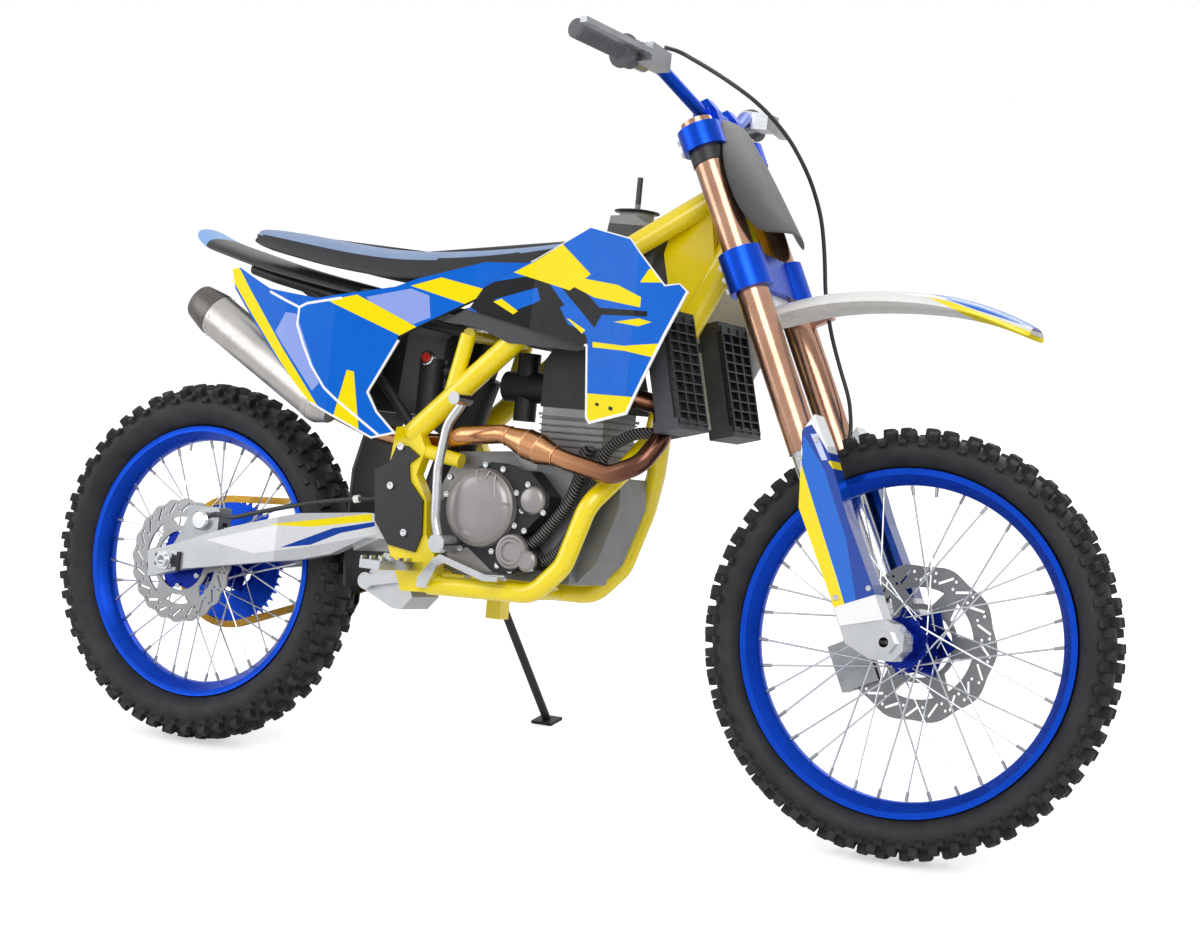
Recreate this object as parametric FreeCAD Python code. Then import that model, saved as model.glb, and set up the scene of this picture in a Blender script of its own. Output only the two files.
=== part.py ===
import FreeCAD
import Part
import math
import os

V = FreeCAD.Vector

# The bike is drawn upright: X forward from the rear axle, Y to the left, Z up from the ground.
# Only at the end is its front end steered and the whole leaned onto the side stand.
RIGHT = -1
LEFT = 1
SIDES = (RIGHT, LEFT)
ACROSS = V(0, 1, 0)

# Stance
WHEELBASE = 1427.0
LEAN_DEG = 13.5
STEER_DEG = 4.16

# Front end geometry
RAKE_DEG = 25.44
CLAMP_OFFSET = 22.0
AXLE_LEAD = 33.5
LEG_HALF_SPACING = 97.0

# Clearances
FIT_GAP = 0.3
SEAT_GAP = 0.3
# Mean of four corners, and the length of a through cutter in half widths
QUARTER_SHARE = 0.25
THROUGH_SHARE = 4.0
OVERRUN = 10.0
LONG_OVERRUN = 3 * OVERRUN

# Wheels
FRONT_TYRE_RADIUS = 350.0
FRONT_TYRE_WIDTH = 88.0
FRONT_RIM_RADIUS = 280.0
FRONT_RIM_WIDTH = 52.0
FRONT_KNOB_COUNT = 46
REAR_TYRE_RADIUS = 340.0
REAR_TYRE_WIDTH = 112.0
REAR_RIM_RADIUS = 255.0
REAR_RIM_WIDTH = 58.0
REAR_KNOB_COUNT = 42
KNOB_HEIGHT = 14.0
RIM_DEPTH = 25.0
RIM_WALL = 9.0
SPOKE_COUNT = 36
SPOKE_THICKNESS = 3.2
SPOKE_CLEARANCE = 2.0
SPOKE_SEAT = 0.75
AXLE_RADIUS = 12.5
AXLE_BORE = 8.0
AXLE_NUT = 19.0
AXLE_NUT_WIDTH = 9.0

# Front hub and brake
FRONT_HUB_HALF = 66.0
FRONT_BARREL = 21.0
FRONT_FLANGE = 44.0
FRONT_FLANGE_Y = 32.0
FRONT_CARRIER = 64.0
FRONT_DISC_Y = 60.0
FRONT_DISC_RADIUS = 131.0
FRONT_DISC_BORE = 56.0
DISC_THICKNESS = 4.0
DISC_WAVES = 12
FLANGE_THICKNESS = 5.0

# Rear hub, brake and sprocket
REAR_HUB_HALF = 73.0
REAR_BARREL = 28.0
REAR_FLANGE = 50.0
REAR_FLANGE_Y = 33.0
REAR_CARRIER = 64.0
REAR_DISC_Y = 75.0
REAR_DISC_RADIUS = 117.0
REAR_DISC_BORE = 56.0

# Chain drive
CHAIN_PITCH = 15.875
CHAIN_LINKS = 108
REAR_TEETH = 48
FRONT_TEETH = 13
CHAIN_LINE = 76.0
CHAIN_RISE_DEG = 10.87
CHAIN_WIDTH = 12.0
CHAIN_HEIGHT = 13.0
CHAIN_PLATE = 2.5
ROLLER_THICKNESS = 6.6
ROLLER_STRIDE = 2
SPROCKET_THICKNESS = 6.0
TOOTH_ROOT = 6.3
TOOTH_TIP = 4.2

# Frame
HEAD_LOW = 690.5
HEAD_HIGH = 870.5
HEAD_RADIUS = 29.0
STEM_RADIUS = 15.0
DOWNTUBE_RADIUS = 25.0
SPAR_RADIUS = 20.0
RAIL_RADIUS = 17.0
BRACE_RADIUS = 13.0
PLATE_THICKNESS = 24.0
PLATE_INNER_Y = 88.0
RAIL_Y = 108.0
SPAR_Y = 98.0
PIVOT_X = 525.0
PIVOT_Z = 450.0
FRAME_BEND = 60.0
RUN_SHARE = 0.45


def unit(vector):
    """A vector of length 1 along another."""
    return vector * (1 / vector.Length)


def corner_arc(before, corner, after, radius):
    """Start, middle and end of the arc that rounds one corner of a route."""
    inward = unit(corner - before)
    outward = unit(after - corner)
    half_turn = inward.getAngle(outward) / 2
    shortest = min((corner - before).Length, (after - corner).Length)
    reach = min(radius * math.tan(half_turn), RUN_SHARE * shortest)
    fitted = reach / math.tan(half_turn)
    middle = corner + unit(outward - inward) * (fitted / math.cos(half_turn) - fitted)
    return corner - inward * reach, middle, corner + outward * reach


def route_wire(points, radius):
    """Straight runs joined by tangent arcs."""
    edges = []
    cursor = points[0]
    for before, corner, after in zip(points, points[1:], points[2:]):
        start, middle, end = corner_arc(before, corner, after, radius)
        edges.append(Part.LineSegment(cursor, start).toShape())
        edges.append(Part.Arc(start, middle, end).toShape())
        cursor = end
    edges.append(Part.LineSegment(cursor, points[-1]).toShape())
    return Part.Wire(edges)


def tube(points, radius, bend):
    """A round tube along a route."""
    ring = Part.Wire(Part.makeCircle(radius, points[0], points[1] - points[0]))
    return route_wire(points, bend).makePipeShell([ring], True, False)


def rod(start, end, radius):
    """A round bar between two points."""
    return Part.makeCylinder(radius, (end - start).Length, start, end - start)


def square_bar(start, end, thickness):
    """A square bar between two points."""
    along = unit(end - start)
    first = unit(along.cross(ACROSS + V(0, 0, 1))) * (thickness / 2)
    second = along.cross(first)
    corners = [start + first + second, start - first + second, start - first - second, start + first - second]
    return flat_face(corners).extrude(end - start)


def flat_face(corners):
    """A flat face with straight edges through its corners."""
    return Part.Face(Part.makePolygon(list(corners) + [corners[0]]))


def closed_solid(faces):
    """One solid from faces that close it."""
    solid = Part.Solid(Part.Shell(faces))
    if solid.Volume < 0:
        solid.reverse()
    return solid


def side_points(shares, corner, size):
    """Side view points (x, z) of an outline given as shares of its length and height."""
    return [(corner[0] + a * size[0], corner[1] + b * size[1]) for a, b in shares]


def prism(points, y_from, y_to):
    """A side view outline, as thick as two y values are apart."""
    return flat_face([V(x, y_from, z) for x, z in points]).extrude(V(0, y_to - y_from, 0))


def both_sides(shape):
    """A shape on the left together with its mirror image on the right."""
    return Part.makeCompound([shape, shape.mirror(V(0, 0, 0), ACROSS)])


def mirrored(shape):
    """The right-hand twin of a left-hand shape."""
    return shape.mirror(V(0, 0, 0), ACROSS)


def bent_panel(outline, plan, thickness):
    """A left-hand sheet that follows a line in plan view, cut to a side view outline."""
    low = min(z for x, z in outline) - OVERRUN
    high = max(z for x, z in outline) + OVERRUN
    outer = [V(x, y, low) for x, y in plan]
    inner = [V(x, y - thickness, low) for x, y in reversed(plan)]
    sheet = flat_face(outer + inner).extrude(V(0, 0, high - low))
    reach = max(y for x, y in plan) + OVERRUN
    return sheet.common(prism(outline, 0, reach))


def loft(sections):
    """A solid with flat-sided skins between closed sections of as many corners."""
    wires = [Part.makePolygon(list(section) + [section[0]]) for section in sections]
    return Part.makeLoft(wires, True, True)


def turned(profile):
    """A solid turned about the axle line from (radius, y) points."""
    face = flat_face([V(radius, y, 0) for radius, y in profile])
    return face.revolve(V(0, 0, 0), ACROSS, 360)


def wheel_point(radius, y, angle):
    """A point at a radius and angle about the axle line."""
    return V(radius * math.cos(angle), y, radius * math.sin(angle))


def fused(shapes):
    """One solid from pieces that run into each other."""
    return shapes[0].multiFuse(shapes[1:]).removeSplitter()


# Tyre section, from the bead to the crown, as shares of its height over the rim and its half width
TYRE_SHARES = ((0.00, 0.50), (0.38, 0.90), (0.72, 0.91), (1.00, 0.46))
KNOB_LENGTH_SHARE = 0.55
KNOB_DRAFT_SHARE = 0.10


def tyre_profile(radius, width, rim_radius, pitches):
    """(radius, y) points across the carcass, from one bead to the other."""
    seat = (rim_radius + SEAT_GAP) / math.cos(math.pi / pitches)
    height = radius - KNOB_HEIGHT - seat
    half = [(seat + a * height, b * width / 2) for a, b in TYRE_SHARES]
    return [(r, -y) for r, y in half] + list(reversed(half))


def knob(base, outward):
    """The four walls and the top of a tapered block on a four-cornered base."""
    middle = (base[0] + base[1] + base[2] + base[3]) * QUARTER_SHARE
    top = [p + (middle - p) * KNOB_DRAFT_SHARE + outward * KNOB_HEIGHT for p in base]
    walls = [flat_face([base[i - 1], base[i], top[i], top[i - 1]]) for i in range(4)]
    return walls + [flat_face(top)]


def tyre(radius, width, rim_radius, pitches):
    """A knobbly tyre: each pitch is a flat facet with one crown knob and two shoulder knobs."""
    profile = tyre_profile(radius, width, rim_radius, pitches)
    strips = len(profile)
    knobbed = (strips // 2 - 2, strips // 2 - 1, strips // 2)
    step = 2 * math.pi / pitches
    faces = []
    for pitch in range(pitches):
        near = [wheel_point(r, y, pitch * step) for r, y in profile]
        far = [wheel_point(r, y, (pitch + 1) * step) for r, y in profile]
        split = [a + (b - a) * KNOB_LENGTH_SHARE for a, b in zip(near, far)]
        for i in range(strips):
            j = (i + 1) % strips
            if i in knobbed:
                across = near[j] - near[i]
                outward = unit((far[i] - near[i]).cross(across))
                if outward.dot(near[i] + near[j]) < 0:
                    outward = outward * -1
                faces += knob([near[i], near[j], split[j], split[i]], outward)
                faces.append(flat_face([split[i], split[j], far[j], far[i]]))
            else:
                corners = [near[i]]
                if (i - 1) % strips in knobbed:
                    corners.append(split[i])
                corners += [far[i], far[j]]
                if j in knobbed:
                    corners.append(split[j])
                corners.append(near[j])
                faces.append(flat_face(corners))
    return closed_solid(faces)


RIM_BED_SHARE = 0.42


def rim(radius, width):
    """Rim hoop: flat flanges, sloping walls and a narrow spoke bed."""
    half = width / 2
    bed = radius - RIM_DEPTH
    wall = radius - RIM_WALL
    bed_half = half * RIM_BED_SHARE
    return turned([(radius, -half), (radius, half), (wall, half), (bed, bed_half), (bed, -bed_half),
                   (wall, -half)])


SPOKE_LAP_SHARE = 1.5


def spokes(flange_radius, flange_y, rim_radius):
    """Crossed spokes, alternately from the outside and the inside of each hub flange."""
    hub_radius = flange_radius - SPOKE_THICKNESS
    rim_end = rim_radius - RIM_DEPTH - SPOKE_SEAT
    swing = math.radians(60)
    bars = []
    for k in range(SPOKE_COUNT):
        angle = (k + 0.5) * 2 * math.pi / SPOKE_COUNT
        side = SIDES[k % 2]
        lead = SIDES[(k // 2) % 2]
        clear = (FLANGE_THICKNESS + SPOKE_THICKNESS) / 2 + SPOKE_CLEARANCE
        hub_y = side * (flange_y + lead * clear)
        hub_end = wheel_point(hub_radius, hub_y, angle + lead * swing)
        rim_side = wheel_point(rim_end, side * SPOKE_THICKNESS * SPOKE_LAP_SHARE, angle)
        bars.append(square_bar(hub_end, rim_side, SPOKE_THICKNESS))
    return Part.makeCompound(bars)


def lobed_plate(radius, lobes, depth, y_middle, thickness):
    """A round plate with a scalloped edge, square to the axle."""
    points = []
    for k in range(lobes * 2):
        reach = radius - depth * (k % 2)
        points.append(wheel_point(reach, y_middle - thickness / 2, k * math.pi / lobes))
    return flat_face(points).extrude(V(0, thickness, 0))


HUB_LOBES = 18
HUB_LOBE_DEPTH = 4.0
CARRIER_LOBES = 6
CARRIER_LOBE_DEPTH = 16.0


def hub(half, barrel, flange, flange_y, carriers, carrier_radius):
    """Hub barrel with two spoke flanges and the plates that carry disc or sprocket."""
    body = Part.makeCylinder(barrel, 2 * half, V(0, -half, 0), ACROSS)
    plates = [lobed_plate(flange, HUB_LOBES, HUB_LOBE_DEPTH, side * flange_y, FLANGE_THICKNESS)
              for side in SIDES]
    for y in carriers:
        plates.append(lobed_plate(carrier_radius, CARRIER_LOBES, CARRIER_LOBE_DEPTH, y, FLANGE_THICKNESS))
    bore = Part.makeCylinder(AXLE_RADIUS + FIT_GAP, THROUGH_SHARE * half, V(0, -2 * half, 0), ACROSS)
    return fused([body] + plates).cut(bore)


SLOT_SHARES = ((0.62, -0.16), (0.88, 0.08), (0.88, 0.24), (0.62, 0.00))
WAVE_SHARE = 0.94
WAVE_PITCH_SHARE = 0.75


def brake_disc(radius, bore, y_middle):
    """Wave-edged brake disc with one slanted slot in each wave."""
    y = y_middle - DISC_THICKNESS / 2
    step = 2 * math.pi / DISC_WAVES
    edge = []
    for k in range(DISC_WAVES):
        edge += [wheel_point(radius, y, k * step), wheel_point(radius, y, (k + 0.5) * step)]
        edge.append(wheel_point(radius * WAVE_SHARE, y, (k + WAVE_PITCH_SHARE) * step))
    rings = [edge, [wheel_point(bore, y, k * step) for k in range(DISC_WAVES)]]
    for k in range(DISC_WAVES):
        rings.append([wheel_point(radius * a, y, (k + b) * step) for a, b in SLOT_SHARES])
    wires = [Part.makePolygon(ring + ring[:1]) for ring in rings]
    return Part.makeFace(wires, "Part::FaceMakerBullseye").extrude(V(0, DISC_THICKNESS, 0))


def pitch_radius(teeth):
    """Radius of the circle that a chain's pins follow on a sprocket."""
    return CHAIN_PITCH / (2 * math.sin(math.pi / teeth))


FIRST_GUESS_SHARE = 0.35


def chain_centres():
    """Sprocket centre distance that holds a whole number of links, and the tilt of the runs."""
    span = pitch_radius(REAR_TEETH) - pitch_radius(FRONT_TEETH)
    distance = CHAIN_PITCH * CHAIN_LINKS * FIRST_GUESS_SHARE
    for _ in range(40):
        tilt = math.asin(span / distance)
        wrapped = REAR_TEETH * (math.pi + 2 * tilt) + FRONT_TEETH * (math.pi - 2 * tilt)
        links = 2 * distance * math.cos(tilt) / CHAIN_PITCH + wrapped / (2 * math.pi)
        distance += (CHAIN_LINKS - links) * CHAIN_PITCH / 2
    return distance, tilt


CENTRES, RUN_TILT = chain_centres()
RISE = math.radians(CHAIN_RISE_DEG)
REAR_WRAP = REAR_TEETH * (math.pi + 2 * RUN_TILT) / (2 * math.pi)
FRONT_WRAP = FRONT_TEETH * (math.pi - 2 * RUN_TILT) / (2 * math.pi)
RUN_LINKS = CENTRES * math.cos(RUN_TILT) / CHAIN_PITCH
REAR_AXLE = V(0, 0, REAR_TYRE_RADIUS)
FRONT_AXLE = V(WHEELBASE, 0, FRONT_TYRE_RADIUS)
SPROCKET_AXLE = REAR_AXLE + V(CENTRES * math.cos(RISE), 0, CENTRES * math.sin(RISE))


def chain_point(links, offset):
    """The chain's line so many links from the top of the rear sprocket, moved outward by an offset."""
    open_angle = math.pi / 2 - RUN_TILT
    rear = pitch_radius(REAR_TEETH) + offset
    front = pitch_radius(FRONT_TEETH) + offset
    if links < REAR_WRAP:
        return REAR_AXLE + wheel_point(rear, 0, RISE + open_angle + links * 2 * math.pi / REAR_TEETH)
    links -= REAR_WRAP
    if links < RUN_LINKS:
        start = REAR_AXLE + wheel_point(rear, 0, RISE - open_angle)
        end = SPROCKET_AXLE + wheel_point(front, 0, RISE - open_angle)
        return start + (end - start) * (links / RUN_LINKS)
    links -= RUN_LINKS
    if links < FRONT_WRAP:
        return SPROCKET_AXLE + wheel_point(front, 0, RISE - open_angle + links * 2 * math.pi / FRONT_TEETH)
    links -= FRONT_WRAP
    start = SPROCKET_AXLE + wheel_point(front, 0, RISE + open_angle)
    end = REAR_AXLE + wheel_point(rear, 0, RISE + open_angle)
    return start + (end - start) * (links / RUN_LINKS)


def on_arc(links):
    """Whether a pin lies on a sprocket, not on a straight run."""
    past = links - REAR_WRAP - RUN_LINKS
    return links < REAR_WRAP or 0 < past < FRONT_WRAP


def chain():
    """One closed loop: two side plates and the rollers between them."""
    stations = [k for k in range(CHAIN_LINKS) if on_arc(k)]
    stations += [REAR_WRAP, REAR_WRAP + RUN_LINKS, REAR_WRAP + RUN_LINKS + FRONT_WRAP]
    stations.sort()
    half = CHAIN_HEIGHT / 2
    loops = [[chain_point(s, offset) for s in stations] for offset in (half, -half)]
    plates = []
    for y in (CHAIN_LINE - CHAIN_WIDTH / 2, CHAIN_LINE + CHAIN_WIDTH / 2 - CHAIN_PLATE):
        wires = [Part.makePolygon([p + V(0, y, 0) for p in loop + loop[:1]]) for loop in loops]
        plates.append(Part.makeFace(wires, "Part::FaceMakerBullseye").extrude(V(0, CHAIN_PLATE, 0)))
    span = CHAIN_WIDTH / 2 - CHAIN_PLATE
    rollers = []
    for k in range(0, CHAIN_LINKS, ROLLER_STRIDE):
        pin = chain_point(k, 0)
        rollers.append(square_bar(pin + V(0, CHAIN_LINE - span, 0), pin + V(0, CHAIN_LINE + span, 0),
                                  ROLLER_THICKNESS))
    return fused(plates + rollers)


VALLEY_SHARE = 0.64


def sprocket(teeth, valley_angle, bore):
    """Flat sprocket with pointed teeth and square valleys."""
    radius = pitch_radius(teeth)
    step = 2 * math.pi / teeth
    y = CHAIN_LINE - SPROCKET_THICKNESS / 2
    edge = []
    for k in range(teeth):
        valley = valley_angle + k * step
        floor = math.asin(ROLLER_THICKNESS * VALLEY_SHARE / radius)
        edge += [wheel_point(radius - TOOTH_ROOT, y, valley - floor)]
        edge += [wheel_point(radius - TOOTH_ROOT, y, valley + floor)]
        edge.append(wheel_point(radius + TOOTH_TIP, y, valley + step / 2))
    hole = [wheel_point(bore, y, k * math.pi / 6) for k in range(12)]
    wires = [Part.makePolygon(ring + ring[:1]) for ring in (edge, hole)]
    return Part.makeFace(wires, "Part::FaceMakerBullseye").extrude(V(0, SPROCKET_THICKNESS, 0))


REAR_SPROCKET_BORE = 58.0
OUTPUT_SHAFT = 11.0
CASE_HALF_WIDTH = 60.0


def rear_sprocket():
    """Driven sprocket, its valleys under the chain's pins."""
    return sprocket(REAR_TEETH, RISE + math.pi / 2 - RUN_TILT, REAR_SPROCKET_BORE)


SHAFT_BORE_SHARE = 0.9


def front_sprocket():
    """Drive sprocket with its collar on the engine's output shaft."""
    first = math.ceil(REAR_WRAP + RUN_LINKS) - REAR_WRAP - RUN_LINKS
    valley = RISE - math.pi / 2 + RUN_TILT + first * 2 * math.pi / FRONT_TEETH
    wheel = sprocket(FRONT_TEETH, valley, OUTPUT_SHAFT * SHAFT_BORE_SHARE)
    start = V(0, CASE_HALF_WIDTH, 0)
    shaft = rod(start, start + V(0, CHAIN_LINE - CASE_HALF_WIDTH + SPROCKET_THICKNESS, 0), OUTPUT_SHAFT)
    return fused([wheel, shaft]).translated(SPROCKET_AXLE)


# Steering axis and fork leg lines
RAKE = math.radians(RAKE_DEG)
UP_AXIS = V(-math.sin(RAKE), 0, math.cos(RAKE))
AHEAD = V(math.cos(RAKE), 0, math.sin(RAKE))
AXIS_FOOT = FRONT_AXLE - AHEAD * (CLAMP_OFFSET + AXLE_LEAD)


def on_axis(height):
    """A point on the steering axis."""
    return AXIS_FOOT + UP_AXIS * height


def leg(ahead, height, y):
    """A point in fork leg coordinates: ahead of the legs' plane, along the legs, and across."""
    return AXIS_FOOT + AHEAD * (CLAMP_OFFSET + ahead) + UP_AXIS * height + V(0, y, 0)


def leg_prism(points, y_from, y_to):
    """An outline of (ahead, height) points in leg coordinates, as thick as two y values are apart."""
    return flat_face([leg(a, h, y_from) for a, h in points]).extrude(V(0, y_to - y_from, 0))


# Side stand, in the upright frame: pivot below the left rail, foot on the leaned ground
STAND_PIVOT_X = 575.0
STAND_PIVOT_Y = 137.0
STAND_PIVOT_Z = 330.0
STAND_FOOT_X = 557.7
STAND_FOOT_Y = 386.0
STAND_RADIUS = 8.0
STAND_PIN = 6.0
STAND_EYE = 16.0
STAND_PAD_HALF = 22.0
STAND_PAD_THICKNESS = 6.0
STAND_LUG = 30.0
# Way that the foot sets off when the stand is folded: back, in and slightly down, so load holds it open
STAND_FOLD_SHARES = (-0.93, -0.08, -0.35)


def stand_hinge():
    """Middle of the stand's eye and the direction of its pivot pin."""
    pivot = V(STAND_PIVOT_X, STAND_PIVOT_Y, STAND_PIVOT_Z)
    foot = V(STAND_FOOT_X, STAND_FOOT_Y, STAND_FOOT_Y * math.tan(math.radians(LEAN_DEG)))
    return pivot, unit((foot - pivot).cross(V(*STAND_FOLD_SHARES)))


def stand_lug():
    """Lug under the left rail with the pin for the stand."""
    pivot, axis = stand_hinge()
    root = pivot - axis * STAND_LUG
    half = STAND_LUG / 2
    block = Part.makeBox(STAND_LUG, RAIL_RADIUS + half, CRADLE_LOW - root.z + half,
                         V(root.x - half, RAIL_Y - half / 2, root.z - half))
    clear = rod(pivot - axis * (STAND_RADIUS + FIT_GAP), pivot + axis * STAND_LUG * 2,
                STAND_EYE + RAIL_RADIUS * QUARTER_SHARE)
    pin = rod(root, pivot + axis * (STAND_RADIUS + STAND_PIN), STAND_PIN)
    return fused([block.cut(clear), pin])


CRADLE_LENGTH = 407.0
CRADLE_HEIGHT = 296.0
CRADLE_LOW = 354.0
CRADLE_REAR = 535.0
CRADLE_SHARES = ((1.00, 0.10, 1.00), (0.93, 0.55, 0.78), (0.84, 1.00, 0.56), (0.75, 1.00, 0.20),
                 (0.62, 1.00, 0.02), (0.10, 1.00, 0.00))
KNEE_X = 968.0
KNEE_Z = 820.0
SPAR_FRONT_X = 1010.0
SPAR_FRONT_Z = 1055.0
SPAR_FRONT_Y = 18.0
SPAR_ELBOW_X = 830.0
SPAR_ELBOW_Z = 912.0
SPAR_REAR_X = 503.0
SPAR_REAR_Z = 612.0
STUB_X = 602.0
STUB_Z = 796.0
STUB_FOOT_X = 578.0
STUB_FOOT_Z = 690.0
STUB_RADIUS = 14.0
BRACE_X = 612.0
BRACE_Z = 574.0
PLATE_X = 470.0
PLATE_Z = 338.0
PLATE_LENGTH = 120.0
PLATE_HEIGHT = 294.0
PLATE_SHARES = ((0.07, 0.97), (0.42, 1.00), (0.62, 0.86), (0.50, 0.70), (0.72, 0.55), (0.77, 0.35),
                (1.00, 0.19), (1.00, 0.01), (0.42, 0.00), (0.25, 0.14), (0.07, 0.31), (0.00, 0.69))
GUSSET_X = 930.0
GUSSET_Z = 860.0
GUSSET_LENGTH = 115.0
GUSSET_HEIGHT = 226.0
GUSSET_HALF = 22.0
GUSSET_SHARES = ((0.66, 0.96), (0.46, 0.88), (0.12, 0.68), (0.00, 0.44), (0.13, 0.18), (0.39, 0.00),
                 (0.90, 0.25))
CROSS_TUBE_RADIUS = 12.0
CROSS_SHARE = 0.45
DOWNTUBE_WELD = 50.0
LINK_TUBE_X = 545.0
LINK_TUBE_Z = 372.0
LINK_TUBE_RADIUS = 9.0


def downtube(radius):
    """The single tube from the steering head to where the cradle splits."""
    route = [on_axis(HEAD_LOW + DOWNTUBE_WELD), V(KNEE_X, 0, KNEE_Z),
             V(CRADLE_REAR + CRADLE_LENGTH, 0, CRADLE_LOW + CRADLE_HEIGHT)]
    return tube(route, radius, FRAME_BEND)


def frame():
    """Welded tube frame: head, downtube, twin cradle rails, twin spars and cast pivot plates."""
    head = rod(on_axis(HEAD_LOW), on_axis(HEAD_HIGH), HEAD_RADIUS)
    cradle = [V(CRADLE_REAR + a * CRADLE_LENGTH, b * RAIL_Y, CRADLE_LOW + c * CRADLE_HEIGHT)
              for a, b, c in CRADLE_SHARES]
    down = downtube(DOWNTUBE_RADIUS)
    rail = tube(cradle, RAIL_RADIUS, FRAME_BEND)
    spar_route = [V(SPAR_FRONT_X, SPAR_FRONT_Y, SPAR_FRONT_Z), V(SPAR_ELBOW_X, SPAR_Y, SPAR_ELBOW_Z),
                  V(SPAR_REAR_X, SPAR_Y, SPAR_REAR_Z)]
    spar = tube(spar_route, SPAR_RADIUS, FRAME_BEND)
    stub = rod(V(STUB_FOOT_X, SPAR_Y, STUB_FOOT_Z), V(STUB_X, SPAR_Y, STUB_Z), STUB_RADIUS)
    brace = rod(V(SPAR_REAR_X, SPAR_Y, SPAR_REAR_Z - SPAR_RADIUS), V(BRACE_X, SPAR_Y, BRACE_Z), BRACE_RADIUS)
    plate_outline = side_points(PLATE_SHARES, (PLATE_X, PLATE_Z), (PLATE_LENGTH, PLATE_HEIGHT))
    plate = prism(plate_outline, PLATE_INNER_Y, PLATE_INNER_Y + PLATE_THICKNESS)
    half = [rail, spar, stub, brace, plate]
    gusset_outline = side_points(GUSSET_SHARES, (GUSSET_X, GUSSET_Z), (GUSSET_LENGTH, GUSSET_HEIGHT))
    gusset = prism(gusset_outline, -GUSSET_HALF, GUSSET_HALF)
    cross_x = CRADLE_REAR + CROSS_SHARE * CRADLE_LENGTH
    cross = rod(V(cross_x, -RAIL_Y, CRADLE_LOW), V(cross_x, RAIL_Y, CRADLE_LOW), CROSS_TUBE_RADIUS)
    shock_bar = rod(V(STUB_X, -SPAR_Y, STUB_Z), V(STUB_X, SPAR_Y, STUB_Z), CROSS_TUBE_RADIUS)
    link_tube = rod(V(LINK_TUBE_X, -PLATE_INNER_Y, LINK_TUBE_Z), V(LINK_TUBE_X, PLATE_INNER_Y, LINK_TUBE_Z),
                    LINK_TUBE_RADIUS)
    middle = [head, down, gusset, cross, shock_bar, link_tube, stand_lug()]
    whole = fused(middle + half + [mirrored(piece) for piece in half])
    bore = rod(on_axis(HEAD_LOW - OVERRUN), on_axis(HEAD_HIGH + OVERRUN), STEM_RADIUS + FIT_GAP)
    return whole.cut(bore)


SUBFRAME_RADIUS = 10.0
SUBFRAME_Y = 80.0
SUBFRAME_X = 95.0
SUBFRAME_Z = 640.0
SUBFRAME_LENGTH = 520.0
SUBFRAME_HEIGHT = 255.0
UPPER_RAIL_SHARES = ((0.951, 0.90, 0.62), (0.62, 1.00, 0.73), (0.12, 0.90, 0.94), (0.00, 0.75, 1.00))
STRUT_SHARES = ((0.7615, 0.971, -0.057), (0.40, 0.95, 0.72), (0.25, 0.91, 0.88))
FENDER_PAD_X = 190.0
FENDER_PAD_Y = 68.0
FENDER_PAD_LOW = 873.0
FENDER_PAD_HIGH = 895.3
FENDER_PAD_RADIUS = 6.0


def subframe_route(shares):
    """Points of one subframe tube on the left."""
    return [V(SUBFRAME_X + a * SUBFRAME_LENGTH, b * SUBFRAME_Y, SUBFRAME_Z + c * SUBFRAME_HEIGHT)
            for a, b, c in shares]


def subframe():
    """Bolted-on rear loop that carries seat, fender and airbox."""
    upper = tube(subframe_route(UPPER_RAIL_SHARES), SUBFRAME_RADIUS, FRAME_BEND)
    strut = tube(subframe_route(STRUT_SHARES), SUBFRAME_RADIUS, FRAME_BEND)
    end = subframe_route(UPPER_RAIL_SHARES)[-1]
    hoop = rod(end, V(end.x, -end.y, end.z), SUBFRAME_RADIUS)
    pad = rod(V(FENDER_PAD_X, FENDER_PAD_Y, FENDER_PAD_LOW), V(FENDER_PAD_X, FENDER_PAD_Y, FENDER_PAD_HIGH),
              FENDER_PAD_RADIUS)
    half = [upper, strut, pad]
    return fused([hoop] + half + [mirrored(piece) for piece in half])


ARM_X = -44.0
ARM_Z = 306.0
ARM_EYE = 26.0
ARM_LENGTH = PIVOT_X + ARM_EYE - ARM_X
ARM_HEIGHT = 164.0
ARM_SHARES = ((0.00, 0.29), (0.11, 0.41), (0.31, 0.66), (0.56, 0.90), (0.77, 0.98), (0.91, 0.99),
              (0.97, 0.99), (1.00, 0.88), (0.97, 0.76), (0.91, 0.72), (0.78, 0.71), (0.67, 0.49),
              (0.58, 0.40), (0.14, 0.13), (0.01, 0.00))
ARM_THICKNESS = 26.0
ARM_REAR_Y = 122.0
ARM_FRONT_Y = 85.0
ARM_PLAN_SHARES = ((-0.05, 1.0), (0.49, 1.0), (0.81, 0.0), (1.05, -0.05))
ARM_CROSS_SHARES = ((0.72, 0.55), (0.72, 0.93), (0.80, 0.96), (0.82, 0.73))
PIVOT_RADIUS = 9.0


def swingarm_pivot():
    """Tube on the pivot bolt, through both arms and up to the frame plates."""
    reach = PLATE_INNER_Y - SEAT_GAP
    return rod(V(PIVOT_X, -reach, PIVOT_Z), V(PIVOT_X, reach, PIVOT_Z), PIVOT_RADIUS)


def swingarm():
    """The two box arms of the swingarm, one on each side of the wheel."""
    outline = side_points(ARM_SHARES, (ARM_X, ARM_Z), (ARM_LENGTH, ARM_HEIGHT))
    taper = ARM_REAR_Y - ARM_FRONT_Y
    plan = [(ARM_X + a * ARM_LENGTH, ARM_FRONT_Y + b * taper) for a, b in ARM_PLAN_SHARES]
    arm = bent_panel(outline, plan, ARM_THICKNESS)
    hole = Part.makeCylinder(AXLE_RADIUS + FIT_GAP, THROUGH_SHARE * ARM_REAR_Y,
                             REAR_AXLE - ACROSS * 2 * ARM_REAR_Y, ACROSS)
    pivot = swingarm_pivot()
    return Part.makeCompound([side.cut(hole).cut(pivot) for side in (arm, mirrored(arm))])


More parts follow.
